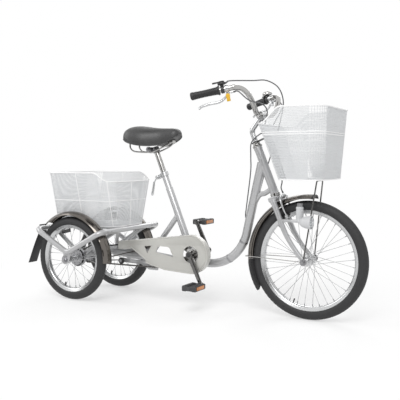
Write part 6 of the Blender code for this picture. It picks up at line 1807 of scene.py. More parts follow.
@dataclass(frozen=True)
class ChainLine:
    """The chain's line round both chain wheels.

    Attributes:
        layout: Main axes.
        pitch: Length of a link.
        front_teeth: Teeth of the front chain wheel.
        rear_teeth: Teeth of the rear one.
        y: The chain's plane.
        rise: How far the rollers' middles stand out from the pitch circles.
    """

    layout: Layout
    pitch: float = 0.0127
    front_teeth: int = 33
    rear_teeth: int = 16
    y: float = -0.060
    rise: float = 0.00425

    def radius(self, teeth: int) -> float:
        """Pitch radius of a chain wheel."""
        return self.pitch / (2 * math.sin(math.pi / teeth))

    def angles(self) -> tuple[float, float]:
        """Tilt of the line between the wheels and the angle of wrap, in degrees."""
        span = self.layout.crank - self.layout.rear_axle
        step = self.radius(self.front_teeth) - self.radius(self.rear_teeth)
        return math.degrees(math.atan2(span.z, span.x)), math.degrees(math.acos(step / span.length))

    def run_z(self, x: float, side: int, offset: float | None = None) -> float:
        """Height of a straight run at some x: 1 for the top run, -1 for the bottom one."""
        offset = self.rise if offset is None else offset
        tilt, wrap = self.angles()
        turn = math.radians(tilt + side * (180 - wrap))
        front = round_point(self.layout.crank, self.radius(self.front_teeth) + offset, turn)
        rear = round_point(self.layout.rear_axle, self.radius(self.rear_teeth) + offset, turn)
        return rear.z + (front.z - rear.z) * (x - rear.x) / (front.x - rear.x)

    def rollers(self) -> list[Vector]:
        """Middles of the rollers, once round: on each wheel they sit between its teeth."""
        tilt, wrap = self.angles()
        spots = self._on_wheel(self.layout.crank, self.front_teeth, tilt + 180 - wrap, tilt - 180 + wrap)
        rear = self._on_wheel(self.layout.rear_axle, self.rear_teeth, tilt - 180 + wrap, tilt - 180 - wrap)
        for start, end in ((spots[-1], rear[0]), (rear[-1], spots[0])):
            count = round((end - start).length / self.pitch)
            line = [start.lerp(end, step / count) for step in range(1, count)]
            spots = spots + line + rear if start is spots[-1] else spots + line
        return spots

    def _on_wheel(self, centre: Vector, teeth: int, start: float, end: float) -> list[Vector]:
        """Rollers on a wheel, from one angle down to another, at the spacing of its teeth."""
        radius = self.radius(teeth) + self.rise
        count = int((start - end) / (360 / teeth))
        spare = (start - end) - count * 360 / teeth
        turns = [start - spare / 2 - 360 / teeth * step for step in range(count + 1)]
        return [round_point(centre, radius, math.radians(turn), self.y) for turn in turns]

    def toothed(self, centre: Vector, teeth: int, start: float, end: float) -> list[tuple[float, float]]:
        """Outline of a chain wheel whose teeth stand between the rollers.

        Args:
            centre: Middle of the wheel.
            teeth: Number of teeth.
            start: Angle where the chain comes on, in degrees.
            end: Angle where it leaves.

        Returns:
            Points of the outline, x and z.
        """
        spare = (start - end) - int((start - end) / (360 / teeth)) * 360 / teeth
        first = start - spare / 2 - 180 / teeth
        points = []
        for tooth in range(teeth):
            for share, step in ((-0.36, -0.0012), (-0.24, -0.0004), (-0.09, 0.0040), (0.09, 0.0040),
                                (0.24, -0.0004),
                                (0.36, -0.0012), (0.5, -0.0016)):
                turn = math.radians(first + 360 / teeth * (tooth + share))
                spot = round_point(centre, self.radius(teeth) + step, turn)
                points.append((spot.x, spot.z))
        return points


@dataclass(frozen=True)
class Case:
    """The pressed cover over the chain wheel and the front of the chain.

    Attributes:
        layout: Main axes.
        margin: Room between the pitch circle and the case's edge.
        out_y: Outer face.
        in_y: Inner edge of the turned-in wall.
        wall: Thickness of the sheet.
    """

    layout: Layout
    margin: float = 0.0192
    out_y: float = -0.0755
    in_y: float = -0.046
    wall: float = 0.0015
    tail_half: float = 0.017
    hole_r: float = 0.039
    slot_half: float = 0.0063

    @property
    def radius(self) -> float:
        """Radius of the round end."""
        line = ChainLine(self.layout)
        return line.radius(line.front_teeth) + self.margin

    @property
    def tail_x(self) -> float:
        """Rear end of the case."""
        return self.layout.crank_x - 0.398

    @property
    def low_x(self) -> float:
        """Rear end of the case's deep part."""
        return self.layout.crank_x - 0.241

    def tail(self, side: int) -> float:
        """Height of the tail, above (1) or below (-1) the chain's upper run."""
        return ChainLine(self.layout).run_z(self.tail_x, 1) + side * self.tail_half

    def top(self, x: float) -> float:
        """Height of the top edge behind the round end, on the line that touches it."""
        tail_z = self.tail(1)
        crank = self.layout.crank
        lean = math.atan2(crank.z + self.radius - tail_z, crank.x - self.tail_x) * 0.93
        touch_x = crank.x - self.radius * math.sin(lean)
        touch_z = crank.z + self.radius * math.cos(lean)
        return touch_z + (x - touch_x) * (touch_z - tail_z) / (touch_x - self.tail_x)

    def outline(self, inset: float) -> list[tuple[float, float]]:
        """Side view of the case, drawn in from its edge by an inset."""
        crank = self.layout.crank
        low_x = self.low_x + inset
        low_z = crank.z - 0.056
        tail_low = self.tail(-1)
        return [
            (self.tail_x + inset, self.tail(1) - inset),
            *arc((crank.x, crank.z), self.radius - inset, 97.0, -95.0, 64),
            (crank.x - 0.138, crank.z - self.radius + 0.0065 + inset),
            (low_x, low_z + inset), (low_x, low_z + 0.018 - inset),
            (self.low_x - 0.081 + inset * 0.4, tail_low + 0.009 + inset),
            (self.low_x - 0.089, tail_low + 0.004 + inset), (self.tail_x + inset, tail_low + inset),
        ]

    def build(self) -> None:
        """Press the face, turn in the wall and roll the edge."""
        crank = self.layout.crank
        triangle = [(-0.246, 0.022), (-0.207, 0.027), (-0.231, -0.009)]
        window = [(-0.184, -0.003), (-0.176, 0.020), (-0.164, 0.028),
                  *arc((-0.126, 0.004), 0.0245, 90, 5, 14),
                  (-0.088, -0.013), (-0.096, -0.018)]
        holes = [[(crank.x + u, crank.z + v) for u, v in points] for points in (triangle, window)]
        holes.append(arc((crank.x, crank.z), self.hole_r, 0, 355, 71))
        case = Shape().plate(self.outline(0.0), self.out_y, self.out_y + self.wall, holes, 0.0006)
        case.plate(self.outline(0.009), self.out_y - 0.0010, self.out_y + 0.0004, holes, 0.0006)
        outer, inner = self.outline(0.0), self.outline(self.wall)
        chain_y = ChainLine(self.layout).y
        near, far = chain_y - self.slot_half, chain_y + self.slot_half
        gap = len(outer) - 6
        self._band(case, outer, inner, self.out_y, near, True)
        self._band(case, outer, inner, far, self.in_y, True)
        self._band(case, outer[:gap], inner[:gap], near, far, False)
        self._band(case, outer[gap:], inner[gap:], near, far, False)
        edge = [Vector((x, self.out_y + 0.0014, z)) for x, z in self.outline(0.0016)]
        case.tube(edge, 0.0032, 12, closed=True)
        for points in holes:
            case.tube([Vector((x, self.out_y - 0.0002, z)) for x, z in points], 0.0015, 8, closed=True)
        case.piece("chain_case_pressed", Look.CHAMPAGNE, "main_frame", "chain_case")

    @staticmethod
    def _band(case: Shape, outer: Profile, inner: Profile, y0: float, y1: float, loop: bool) -> None:
        """A strip of the turned-in wall.

        Args:
            case: The shape to add to.
            outer: Points of the outer edge.
            inner: Points of the inner edge.
            y0: One edge of the strip.
            y1: Its other edge.
            loop: Join its ends.
        """
        rows = []
        for (u, v), (p, q) in zip(outer, inner):
            rows.append([Vector((u, y0, v)), Vector((u, y1, v)), Vector((p, y1, q)), Vector((p, y0, q))])
        case.grid(rows, loop)


@dataclass
class Drive:
    """Chain, chain wheels, cranks, pedals and the tension pulley.

    Attributes:
        layout: Main axes.
        crank_length: Length of a crank.
        crank_angle: Angle of the right crank, in degrees up from forward.
        arm_y: Middle of the crank arms.
        pedal_y: Middle of the pedals.
        pedal_size: Length, width and thickness of a pedal.
        bend_x: Two places along x that are given to bending for the chain.
    """

    layout: Layout
    crank_length: float = 0.140
    crank_angle: float = -65.5
    arm_y: float = 0.0865
    arm_r: float = 0.0125
    arm_t: float = 0.013
    pedal_y: float = 0.148
    pedal_size: tuple[float, float, float] = (0.066, 0.096, 0.024)
    pulley_r: float = 0.0165
    pulley_x: float = 0.198
    bend_x: tuple[float, float] = (0.17, 0.04)

    @property
    def line(self) -> ChainLine:
        """The chain's line."""
        return ChainLine(self.layout)

    @property
    def pulley(self) -> Vector:
        """Middle of the tension pulley, riding on the lower run of the chain."""
        run = self.line.run_z(self.pulley_x, -1, 0.0019)
        return Vector((self.pulley_x, self.line.y, run + GAP + self.pulley_r))

    def build(self) -> None:
        """Make the case and every moving piece of the drive."""
        Case(self.layout).build()
        self._chain()
        self._cranks()
        for side, hand in ((-1, "right"), (1, "left")):
            self._pedal(side, hand)
        self._sprocket()
        self._pulley()

    def _chain(self) -> None:
        """Rollers with inner and outer side plates by turns."""
        spots = self.line.rollers()
        chain = Shape()
        count = len(spots)
        for index, spot in enumerate(spots):
            following = spots[(index + 1) % count]
            chain.rod(spot - SIDE * 0.0030, spot + SIDE * 0.0030, 0.0032, sides=10, edge=0.0002)
            middle = 0.0044 if index % 2 else 0.0030
            for side in (1, -1):
                chain.slab(self._link(spot, following), side * middle - 0.0006, side * middle + 0.0006)
        start, end = [Vector((x, 0.0, 0.2)) for x in self.bend_x]
        bending(chain.made("chain_links", Look.CHAIN), ("main_frame", "rear_frame"), start, end, "chain")

    @staticmethod
    def _link(start: Vector, end: Vector) -> list[Vector]:
        """Outline of a link's side plate: round at both pins and waisted between them."""
        along = (end - start).normalized()
        across = Vector((-along.z, 0.0, along.x))
        points = []
        for centre, first in ((end, -60), (start, 120)):
            for step in range(7):
                turn = math.radians(first + 20 * step)
                points.append(centre + along * (0.0040 * math.cos(turn)) + across * (0.0034 * math.sin(turn)))
            points.append((start + end) / 2 + across * (0.0026 if first < 0 else -0.0026))
        return points

    def crank_end(self, side: int) -> Vector:
        """The pedal end of a crank, in the middle plane."""
        turn = math.radians(self.crank_angle if side < 0 else self.crank_angle + 180.0)
        return round_point(self.layout.crank, self.crank_length, turn)

    def _cranks(self) -> None:
        """Both cranks with their axle, and the chain wheel on the right one."""
        crank = self.layout.crank
        arms = Shape()
        for side in (-1, 1):
            end = self.crank_end(side)
            outer = SIDE * side * (self.arm_y + self.arm_t / 2)
            middle = SIDE * side * self.arm_y
            path = [(crank + middle).lerp(end + middle, step / 12) for step in range(13)]
            arms.tube(path, self.arm_r, 24, taper=[1 - 0.24 * step / 12 for step in range(13)], flat=0.52)
            inner = SIDE * side * 0.0549
            arms.lathe([(0.0, 0.0), (0.0160, 0.0), (0.0165, 0.0006), (0.0165, 0.0330), (0.0150, 0.0378),
                        (0.0, 0.0381)],
                       crank + inner, SIDE * side, 36)
            arms.rod(end + middle - SIDE * side * self.arm_t / 2, end + outer, self.arm_r, sides=30,
                     edge=0.0015)
            arms.rod(end + middle, end + SIDE * side * (self.pedal_y + 0.044), 0.0052, sides=18)
            arms.ring(0.005, 0.0080, end + outer, end + outer + SIDE * side * 0.0030, 6)
        half = SIDE * (self.arm_y + 0.003)
        arms.rod(crank - half, crank + half, 0.0085, sides=24)
        arms.piece("crank_arms", Look.DARK_CHROME, "crank", "crank_right", "crank_left")
        caps = Shape()
        for side in (-1, 1):
            at = crank + SIDE * side * (self.arm_y + self.arm_t / 2 + 0.0001)
            caps.lathe([(0.0, 0.0), (0.0098, 0.0), (0.0104, 0.0012), (0.0088, 0.0030), (0.0, 0.0036)], at,
                       SIDE * side, 28)
        caps.piece("crank_caps", Look.BLACK, "crank")
        tilt, wrap = self.line.angles()
        teeth = self.line.front_teeth
        rim = self.line.radius(teeth)
        outline = self.line.toothed(crank, teeth, tilt + 180 - wrap, tilt - 180 + wrap)
        windows = []
        for index in range(5):
            start = 72 * index + 14
            windows.append(arc((crank.x, crank.z), rim * 0.78, start, start + 44, 14)
                           + arc((crank.x, crank.z), rim * 0.38, start + 36, start + 8, 6))
        wheel = Shape().plate(outline, self.line.y - 0.0011, self.line.y + 0.0011, windows, 0.0003)
        wheel.ring(0.0155, 0.0215, crank + SIDE * (self.line.y + 0.003),
                   crank + SIDE * (self.line.y - 0.003), 36)
        wheel.piece("chain_wheel", Look.CHROME, "crank")

    def _pedal(self, side: int, hand: str) -> None:
        """A block pedal: ribbed tread bars, end bridges, a barrel on the spindle and two reflectors.

        Args:
            side: 1 left or -1 right.
            hand: Name of the side.
        """
        body = "pedal_" + hand
        centre = self.crank_end(side) + SIDE * side * self.pedal_y
        wide, long, thick = self.pedal_size
        pedal = Shape()
        for sign in (1, -1):
            bar = centre + X * sign * (wide / 2 - 0.0095)
            pedal.box((0.019, long - 0.004, thick - 0.003), bar, bevel=0.003)
            for rib in range(9):
                y = (rib - 4) * 0.0100
                pedal.box((0.0175, 0.0055, thick), bar + SIDE * y, bevel=0.0012, segments=2)
            pedal.box((wide - 0.006, 0.009, thick - 0.005), centre + SIDE * sign * (long / 2 - 0.0048),
                      bevel=0.0028)
        pedal.rod(centre - SIDE * (long / 2 - 0.003), centre + SIDE * (long / 2 - 0.003), 0.0095, sides=28)
        cap = centre + SIDE * side * (long / 2 - 0.0006)
        pedal.lathe([(0.0, 0.0), (0.0078, 0.0), (0.0074, 0.0014), (0.0, 0.0018)], cap, SIDE * side, 24)
        pedal.piece(body + "_block", Look.PEDAL, body, body)
        glass = Shape()
        for sign in (1, -1):
            glass.box((0.0032, 0.062, 0.0145), centre + X * sign * (wide / 2 + 0.0004), bevel=0.0010)
        glass.piece(body + "_reflectors", Look.ORANGE, body)

    def _sprocket(self) -> None:
        """Rear chain wheel and freewheel body on the axle."""
        axle = self.layout.rear_axle
        tilt, wrap = self.line.angles()
        outline = self.line.toothed(axle, self.line.rear_teeth, tilt - 180 + wrap, tilt - 180 - wrap)
        bore = arc((axle.x, axle.z), 0.0150, 0, 350, 35)
        made = Shape().plate(outline, self.line.y - 0.0011, self.line.y + 0.0011, [bore], 0.0003)
        made.lathe([(0.008, -0.012), (0.0175, -0.012), (0.019, -0.010), (0.019, 0.006), (0.016, 0.0075),
                    (0.016, 0.009),
                    (0.008, 0.009)], axle + SIDE * self.line.y, -SIDE, 36, loop=True)
        made.piece("sprocket_cut", Look.STEEL, "sprocket", "sprocket")

    def _pulley(self) -> None:
        """The grooved roller on the slack run of the chain."""
        r = self.pulley_r - 0.0008
        Shape().lathe([(0.0045, -0.0045), (0.0095, -0.0045), (0.0105, -0.0036), (r - 0.003, -0.0036),
                       (r, -0.0030),
                       (r, -0.0014), (r - 0.0016, 0.0), (r, 0.0014), (r, 0.0030), (r - 0.003, 0.0036),
                       (0.0105, 0.0036), (0.0095, 0.0045), (0.0045, 0.0045)], self.pulley, SIDE, 32,
                      loop=True).piece(
            "tension_roller", Look.BLACK, "pulley", "tension_pulley")


@dataclass
class FrontEnd:
    """Fork, headset, front brake, lamp, and the stays on the front axle.

    Attributes:
        layout: Main axes.
        leg_r: Radius of a fork blade at the crown.
        tip_r: Radius at the axle.
        crown_y: Side of a blade at the crown.
        tip_y: Side of a blade at the axle.
    """

    layout: Layout
    leg_r: float = 0.0125
    tip_r: float = 0.0085
    crown_y: float = 0.046
    tip_y: float = 0.052
    crown_d: tuple[float, float] = (0.0105, 0.030)
    crown_depth: float = 0.034
    straight: float = 0.130
    caliper_eyes: tuple[float, float] = (0.0250, 0.0325)
    caliper_y: float = 0.0425
    shoe_d: float = 0.1078
    stay_eyes: tuple[float, float, float] = (0.0608, 0.0652, 0.0719)
    dynamo: Vector = Vector((1.086, -0.0475, 0.440))
    lamp: Vector = Vector((1.128, -0.0815, 0.412))
    lamp_r: float = 0.027

    def build(self) -> None:
        """Make every piece of the front end."""
        self._fork()
        self._headset()
        for index, (side, hand) in enumerate(((-1, "right"), (1, "left"))):
            self._caliper(side, hand, self.caliper_eyes[index])
        self._dynamo()
        self._axle()
        self._stays()

    def blade(self, side: int) -> tuple[list[Vector], list[float]]:
        """One fork blade: straight from the crown, then curving forward to the axle.

        Args:
            side: 1 left or -1 right.

        Returns:
            Points of its axis and the share of the radius at each.
        """
        lay = self.layout
        path = []
        taper = []
        start = self.crown_d[0] + 0.004
        end = lay.fork_reach + 0.010
        for step in range(33):
            share = step / 32
            down = start + (end - start) * share
            bow = lay.fork_rake * max(0.0, (down - self.straight) / (lay.fork_reach - self.straight)) ** 2
            path.append(lay.head(-down, bow, side * (self.crown_y + (self.tip_y - self.crown_y) * share)))
            taper.append(1 + (self.tip_r / self.leg_r - 1) * share)
        taper[-1] *= 0.80
        return path, taper

    def _fork(self) -> None:
        """Steerer, crown and both blades, with caps on the blades and flat ends at the axle."""
        lay = self.layout
        middle = sum(self.crown_d) / 2
        axes = (lay.head_forward, SIDE, lay.head_up)
        fork = Shape()
        fork.box((self.crown_depth, self.crown_y * 2 + 0.024, self.crown_d[1] - self.crown_d[0]),
                 lay.head(-middle),
                 axes, 0.006, 5)
        fork.box((self.crown_depth - 0.006, 0.060, 0.010), lay.head(-self.crown_d[1] - 0.003), axes, 0.0045,
                 4)
        fork.rod(lay.head(-middle), lay.head(0.236), 0.0127, sides=28)
        for side in (1, -1):
            path, taper = self.blade(side)
            fork.tube(path, self.leg_r, 28, taper=taper)
            down = (path[1] - path[0]).normalized()
            fork.ring(0.010, self.leg_r + 0.0016, path[0] + down * 0.006, path[0] + down * 0.024, 30, 0.0010)
            fork.ring(0.0052, 0.0128, lay.front_axle + SIDE * side * 0.0485,
                      lay.front_axle + SIDE * side * 0.0600, 28)
        bolt = lay.head(-lay.caliper_d, 0.010)
        fork.rod(bolt, bolt + lay.head_forward * 0.0345, 0.003, sides=14)
        fork.rod(lay.head(-middle), lay.head(-0.0340), 0.004, sides=14)
        pin = self.dynamo + Vector((-0.034, 0.0, -0.028))
        near = min(self.blade(-1)[0], key=lambda point: abs(point.z - pin.z))
        fork.rod((near.x, pin.y, pin.z), pin - X * 0.0043, 0.0060, sides=18)
        fork.piece("fork_blades", Look.SILVER, "steering", "fork")

    def _headset(self) -> None:
        """Upper bearing cup, tab washer and lock nut round the steerer."""
        base = self.layout.head(0.2143)
        up = self.layout.head_up
        made = Shape().lathe([(0.0130, 0.0), (0.0200, 0.0), (0.0205, 0.0010), (0.0205, 0.0080),
                              (0.0192, 0.0092),
                              (0.0172, 0.0098), (0.0172, 0.0115), (0.0130, 0.0115)], base, up, 40, loop=True)
        made.lathe([(0.0130, 0.0119), (0.0165, 0.0119), (0.0170, 0.0126), (0.0170, 0.0200), (0.0158, 0.0210),
                    (0.0130, 0.0210)], base, up, 8, loop=True)
        made.piece("headset_nuts", Look.CHROME, "steering", "headset_top")

    def _caliper(self, side: int, hand: str, depth: float) -> None:
        """One arm of the front brake, from its eye on the bolt down round the tyre to its shoe.

        Args:
            side: 1 left or -1 right.
            hand: Name of the side.
            depth: How far the eye stands in front of the steering axis.
        """
        lay = self.layout
        body = "caliper_" + hand
        eye = lay.head(-lay.caliper_d, depth)
        arm = Shape().ring(0.0033, 0.0085, eye, eye + lay.head_forward * 0.005, 28)
        mid = depth + 0.0025
        ahead = 0.0285
        shoe_up = 0.001 - self.shoe_d
        shoe_y = 0.018
        path = smooth([lay.head(-lay.caliper_d, mid, side * 0.005),
                       lay.head(-lay.caliper_d - 0.004, mid, side * (self.caliper_y - 0.0145)),
                       lay.head(-lay.caliper_d - 0.018, ahead, side * (self.caliper_y - 0.001)),
                       lay.head(-lay.caliper_d - 0.055, ahead, side * self.caliper_y),
                       lay.head(shoe_up, ahead, side * (self.caliper_y - 0.009))], 8)
        taper = [1.25 - 0.35 * index / (len(path) - 1) for index in range(len(path))]
        arm.tube(path, 0.0042, 16, taper=taper)
        outer = lay.head(shoe_up, ahead, side * (self.caliper_y - 0.006))
        arm.rod(lay.head(shoe_up, ahead, side * (shoe_y + 0.004)), outer, 0.0035, sides=14)
        bolt_head(arm, outer, SIDE * side, 0.0050, 0.0050)
        if side > 0:
            nut = lay.head(-lay.caliper_d, depth + 0.0052)
            bolt_head(arm, nut, lay.head_forward, 0.0055, 0.0060)
        arm.piece("caliper_arm_%s_forged" % hand, Look.ALLOY, body, "caliper_arm_" + hand)
        axes = (lay.head_forward, SIDE, lay.head_up)
        shoe = Shape()
        for place in (-0.0135, 0.0, 0.0135):
            shoe.box((0.0128, 0.011, 0.0105), lay.head(-self.shoe_d, 0.0135 + place,
                                                       side * (shoe_y + 0.0055)), axes,
                     0.0018)
        shoe.box((0.0415, 0.006, 0.011), lay.head(-self.shoe_d, 0.0135, side * (shoe_y + 0.0075)), axes,
                 0.0015)
        shoe.piece("brake_shoe_" + hand, Look.RUBBER, body)

    def _dynamo(self) -> None:
        """Bottle dynamo and head lamp in one moulded body, with a clear lens and a knurled roller."""
        at, lamp = self.dynamo, self.lamp
        r = self.lamp_r
        body = Shape().lathe([(0.0, -0.032), (0.0125, -0.032), (0.0150, -0.0295), (0.0155, -0.026),
                              (0.0155, 0.016),
                              (0.0145, 0.018), (0.0145, 0.020), (0.0155, 0.022), (0.0155, 0.028),
                              (0.0130, 0.0318),
                              (0.0, 0.032)], at, UP, 36)
        body.rod(at + UP * 0.031, at + UP * 0.038, 0.0035, sides=16)
        body.rod(Vector((at.x + 0.002, at.y - 0.010, lamp.z)), lamp + Vector((0.004, 0.002, 0.0)), 0.010,
                 sides=22)
        body.lathe([(0.0, 0.0135), (r * 0.86, 0.0135), (r * 0.90, 0.0205), (r - 0.0012, 0.0215), (r, 0.0200),
                    (r, 0.0150), (r * 0.97, 0.0120), (r * 0.87, -0.006), (r * 0.68, -0.0195),
                    (r * 0.40, -0.0282),
                    (0.0, -0.030)], lamp, X, 44)
        pin = at + Vector((-0.034, 0.0, -0.028))
        body.rod(pin - X * 0.004, Vector((at.x - 0.008, at.y, pin.z)), 0.0065, sides=20)
        body.piece("dynamo_shell", Look.GREY, "dynamo", "dynamo_lamp")
        glass = Shape().lathe([(0.0, 0.0150), (r * 0.84, 0.0150), (r * 0.86, 0.0200), (r * 0.70, 0.0232),
                               (r * 0.40, 0.0252), (0.0, 0.0259)], lamp, X, 40)
        glass.piece("lamp_lens", Look.LENS, "dynamo")
        top = at + UP * 0.0322
        teeth = []
        for height in (0.0, 0.0132):
            ring = []
            for step in range(48):
                size = 0.0110 if step % 2 else 0.0103
                turn = 2 * math.pi * step / 48
                ring.append(top + UP * height + Vector((size * math.cos(turn), size * math.sin(turn), 0.0)))
            teeth.append(ring)
        roller = Shape().grid(teeth)
        roller.piece("dynamo_roller_knurled", Look.STEEL, "dynamo_roller", "dynamo_roller")

    def _axle(self) -> None:
        """The front axle with its washers and nuts."""
        axle = self.layout.front_axle
        made = Shape().rod(axle - SIDE * 0.085, axle + SIDE * 0.085, 0.005, sides=18)
        for side in (1, -1):
            bolt_head(made, axle + SIDE * side * (self.stay_eyes[2] + GAP), SIDE * side, 0.0095, 0.0080)
        made.piece("front_axle_turned", Look.STEEL, "steering", "front_axle")

    def _stays(self) -> None:
        """The mudguard's wire stay and the rod that carries the front basket, both with eyes on the axle."""
        lay = self.layout
        axle = lay.front_axle
        e0, e1, e2 = self.stay_eyes
        wire = Shape()
        back = axle.x - lay.front_guard_r - 0.0006 - GAP - 0.002
        z = axle.z + 0.002
        left = [Vector((back, 0.0338, z)), Vector((back + 0.060, 0.0378, z)),
                axle + Vector((-0.007, (e0 + e1) / 2, 0.0))]
        wire.tube(bent(mirrored(left) + left, 0.006, steps=8), 0.002, 12)
        for side in (1, -1):
            wire.ring(0.0055, 0.0092, axle + SIDE * side * e0, axle + SIDE * side * e1, 24)
        wire.piece("front_fender_stay_bent", Look.CHROME, "steering", "front_fender_stay")
        rod = Shape()
        foot = lay.head_foot
        top = foot.z + lay.basket_lift - 0.0021 - GAP - 0.003
        stay_x = foot.x + 0.195
        middle = SIDE * (e1 + GAP + e2) / 2
        low = axle + Vector((0.0005, 0.0, 0.0072))
        corners = [low - middle, Vector((stay_x, -0.037, top)), Vector((stay_x, 0.037, top)), low + middle]
        rod.tube(bent(corners, 0.010, steps=8), 0.003, 14)
        for side in (1, -1):
            rod.ring(0.0055, 0.0092, axle + SIDE * side * (e1 + GAP), axle + SIDE * side * e2, 24)
        rod.piece("basket_stay_bent", Look.DARK_CHROME, "steering", "basket_stay")
        self._strap()

    def _strap(self) -> None:
        """Strap from under the lock nut forward to the front basket's back wall, with its clip and bolts."""
        lay = self.layout
        low = lay.head(0.2358)
        strap = Shape().ring(0.0130, 0.0185, low, low + lay.head_up * 0.003, 36)
        wall = lay.head_foot + Vector((0.0569, 0.0, lay.basket_lift))
        up = Vector((-lay.basket_lean, 0.0, 1.0)).normalized()
        reach = crossing(low, lay.head_forward, wall, up)
        axes = (lay.head_forward, SIDE, lay.head_up)
        centre = low + lay.head_up * 0.0015 + lay.head_forward * (0.0145 + reach) / 2
        strap.box((reach - 0.0145, 0.026, 0.003), centre, axes, 0.0008)
        face = low + lay.head_forward * (reach - 0.0022) - up * 0.010
        strap.box((0.003, 0.040, 0.034), face, (up.cross(SIDE) * -1.0, SIDE, up), 0.0012)
        strap.piece("basket_strap", Look.BLACK, "steering", "basket_bracket")
        bolts = Shape()
        for y in (-0.010, 0.010):
            bolt_head(bolts, face + SIDE * y - up.cross(SIDE) * -0.0012, up.cross(SIDE), 0.0040, 0.0042)
        bolts.piece("basket_strap_bolts", Look.STEEL, "steering")


@dataclass
class Cockpit:
    """Stem, bar, grips, brake levers, shifter and bell.

    Attributes:
        layout: Main axes.
        bar_r: Radius of the bar.
        grip_r: Radius of a grip.
        grip_length: Length of a grip.
        grip_dir: Direction of the left grip, out along the bar.
    """

    layout: Layout
    bar_r: float = 0.0111
    grip_r: float = 0.0160
    grip_length: float = 0.118
    bare: float = 0.052
    grip_dir: Vector = Vector((-0.9176, 0.3464, -0.1966)).normalized()
    bends: tuple[tuple[float, float, float], ...] = (
        (0.0, 0.028, 0.0), (0.0015, 0.044, 0.001), (0.010, 0.085, 0.009), (0.015, 0.122, 0.038),
        (0.009, 0.155, 0.074),
        (-0.007, 0.187, 0.097))
    lever_back: float = 0.145
    lever_drop: float = 0.0285
    control_back: float = 0.128

    def build(self) -> None:
        """Make every piece above the head tube."""
        self._stem()
        self._bar()
        for side, hand in ((-1, "right"), (1, "left")):
            self._grip(side, hand)
            self._perch(side, hand)
            self._lever(side, hand)
        self._lock()
        self._shifter()
        self._bell()

    @property
    def clamp(self) -> Vector:
        """Middle of the bar's clamp."""
        return self.layout.head(0.3298, 0.0683)

    def point(self, back: float, side: int) -> Vector:
        """A point back along the straight end of the bar, from its tip, on one side (1 left, -1 right)."""
        tip = self.clamp + Vector((-0.0320, 0.2141, 0.0994)) + self.grip_dir * (self.grip_length + self.bare)
        spot = tip - self.grip_dir * back
        return Vector((spot.x, side * spot.y, spot.z))

    def frame(self, side: int) -> tuple[Vector, Vector, Vector]:
        """Directions at a control: out along the bar, the hinge's axis, and down from the bar."""
        out = Vector((self.grip_dir.x, side * self.grip_dir.y, self.grip_dir.z))
        hinge = out.cross(UP).normalized()
        down = hinge.cross(out).normalized()
        return out, hinge, -down if down.z > 0 else down

    def pivot(self, side: int) -> Vector:
        """Where a brake lever hinges under the bar."""
        return self.point(self.lever_back, side) + self.frame(side)[2] * self.lever_drop

    def mouth(self, side: int) -> Vector:
        """Where a cable leaves the barrel of a brake lever's clamp."""
        out, _, down = self.frame(side)
        return self.point(self.lever_back, side) - out * 0.022 + down * (self.bar_r + 0.007)

    def _stem(self) -> None:
        """Quill stem that rises up the steering axis and then turns forward to the bar clamp."""
        lay = self.layout
        path = bent([lay.head(0.180), lay.head(0.290), self.clamp], 0.026, steps=14)
        half = SIDE * 0.023
        stem = Shape().tube(path, 0.0110, 30)
        stem.ring(self.bar_r + GAP, 0.0175, self.clamp - half, self.clamp + half, 40, 0.0016)
        lug = self.clamp - lay.head_up * 0.020
        stem.box((0.016, 0.012, 0.014), lug, (lay.head_forward, SIDE, lay.head_up), 0.003)
        stem.piece("stem_forged", Look.ALLOY, "steering", "stem")
        bolts = Shape()
        bolt_head(bolts, lug - SIDE * 0.0058, -SIDE, 0.0050, 0.0050)
        spot = lay.head(0.2955, 0.004)
        bolts.lathe([(0.0, 0.0), (0.0078, 0.0), (0.0082, 0.0012), (0.0074, 0.0060), (0.0055, 0.0070),
                     (0.0, 0.0070)],
                    spot, lay.head_up, 24)
        bolts.piece("stem_bolts", Look.STEEL, "steering")

    def _bar(self) -> None:
        """The raised bar, bent up, out and back to the grips."""
        half = [self.clamp + Vector(bend) for bend in self.bends]
        half += [self.point(self.grip_length + back, 1) for back in (self.bare, self.bare - 0.008)]
        half.append(self.point(0.006, 1))
        Shape().tube(smooth([*mirrored(half), self.clamp, *half], 10), self.bar_r, 28).piece(
            "handlebar_plated", Look.CHROME, "steering", "handlebar")

    def _grip(self, side: int, hand: str) -> None:
        """Ribbed hand grip with a rounded end and a collar."""
        r = self.grip_r
        bore = self.bar_r + GAP
        profile = [(0.0, 0.004), (r - 0.006, 0.0038), (r - 0.0022, 0.0022), (r - 0.0002, -0.0010),
                   (r, -0.004)]
        count = 17
        for rib in range(count):
            z = -0.010 - rib * 0.0055
            waist = 0.0011 * math.sin(math.pi * rib / (count - 1))
            profile += [(r - 0.0004 - waist, z), (r - 0.0014 - waist, z - 0.0010),
                        (r - 0.0014 - waist, z - 0.0022),
                        (r - 0.0004 - waist, z - 0.0032)]
        collar = r + 0.003
        length = self.grip_length
        profile += [(r, -length + 0.0098), (collar - 0.0008, -length + 0.0086), (collar, -length + 0.0072),
                    (collar, -length + 0.0034), (collar - 0.0010, -length + 0.0020), (bore, -length + 0.0020),
                    (bore, -0.0055), (0.0, -0.0055)]
        Shape().lathe(profile, self.point(0.0, side), self.frame(side)[0], 36).piece(
            "grip_%s_ribbed" % hand, Look.RUBBER, "steering", "grip_" + hand)

    def _clamp_ring(self, shape: Shape, at: Vector, out: Vector, half: float) -> Shape:
        """A ring that clamps a control on the bar."""
        return shape.ring(self.bar_r + GAP, self.bar_r + 0.004, at - out * half, at + out * half, 32, 0.0008)

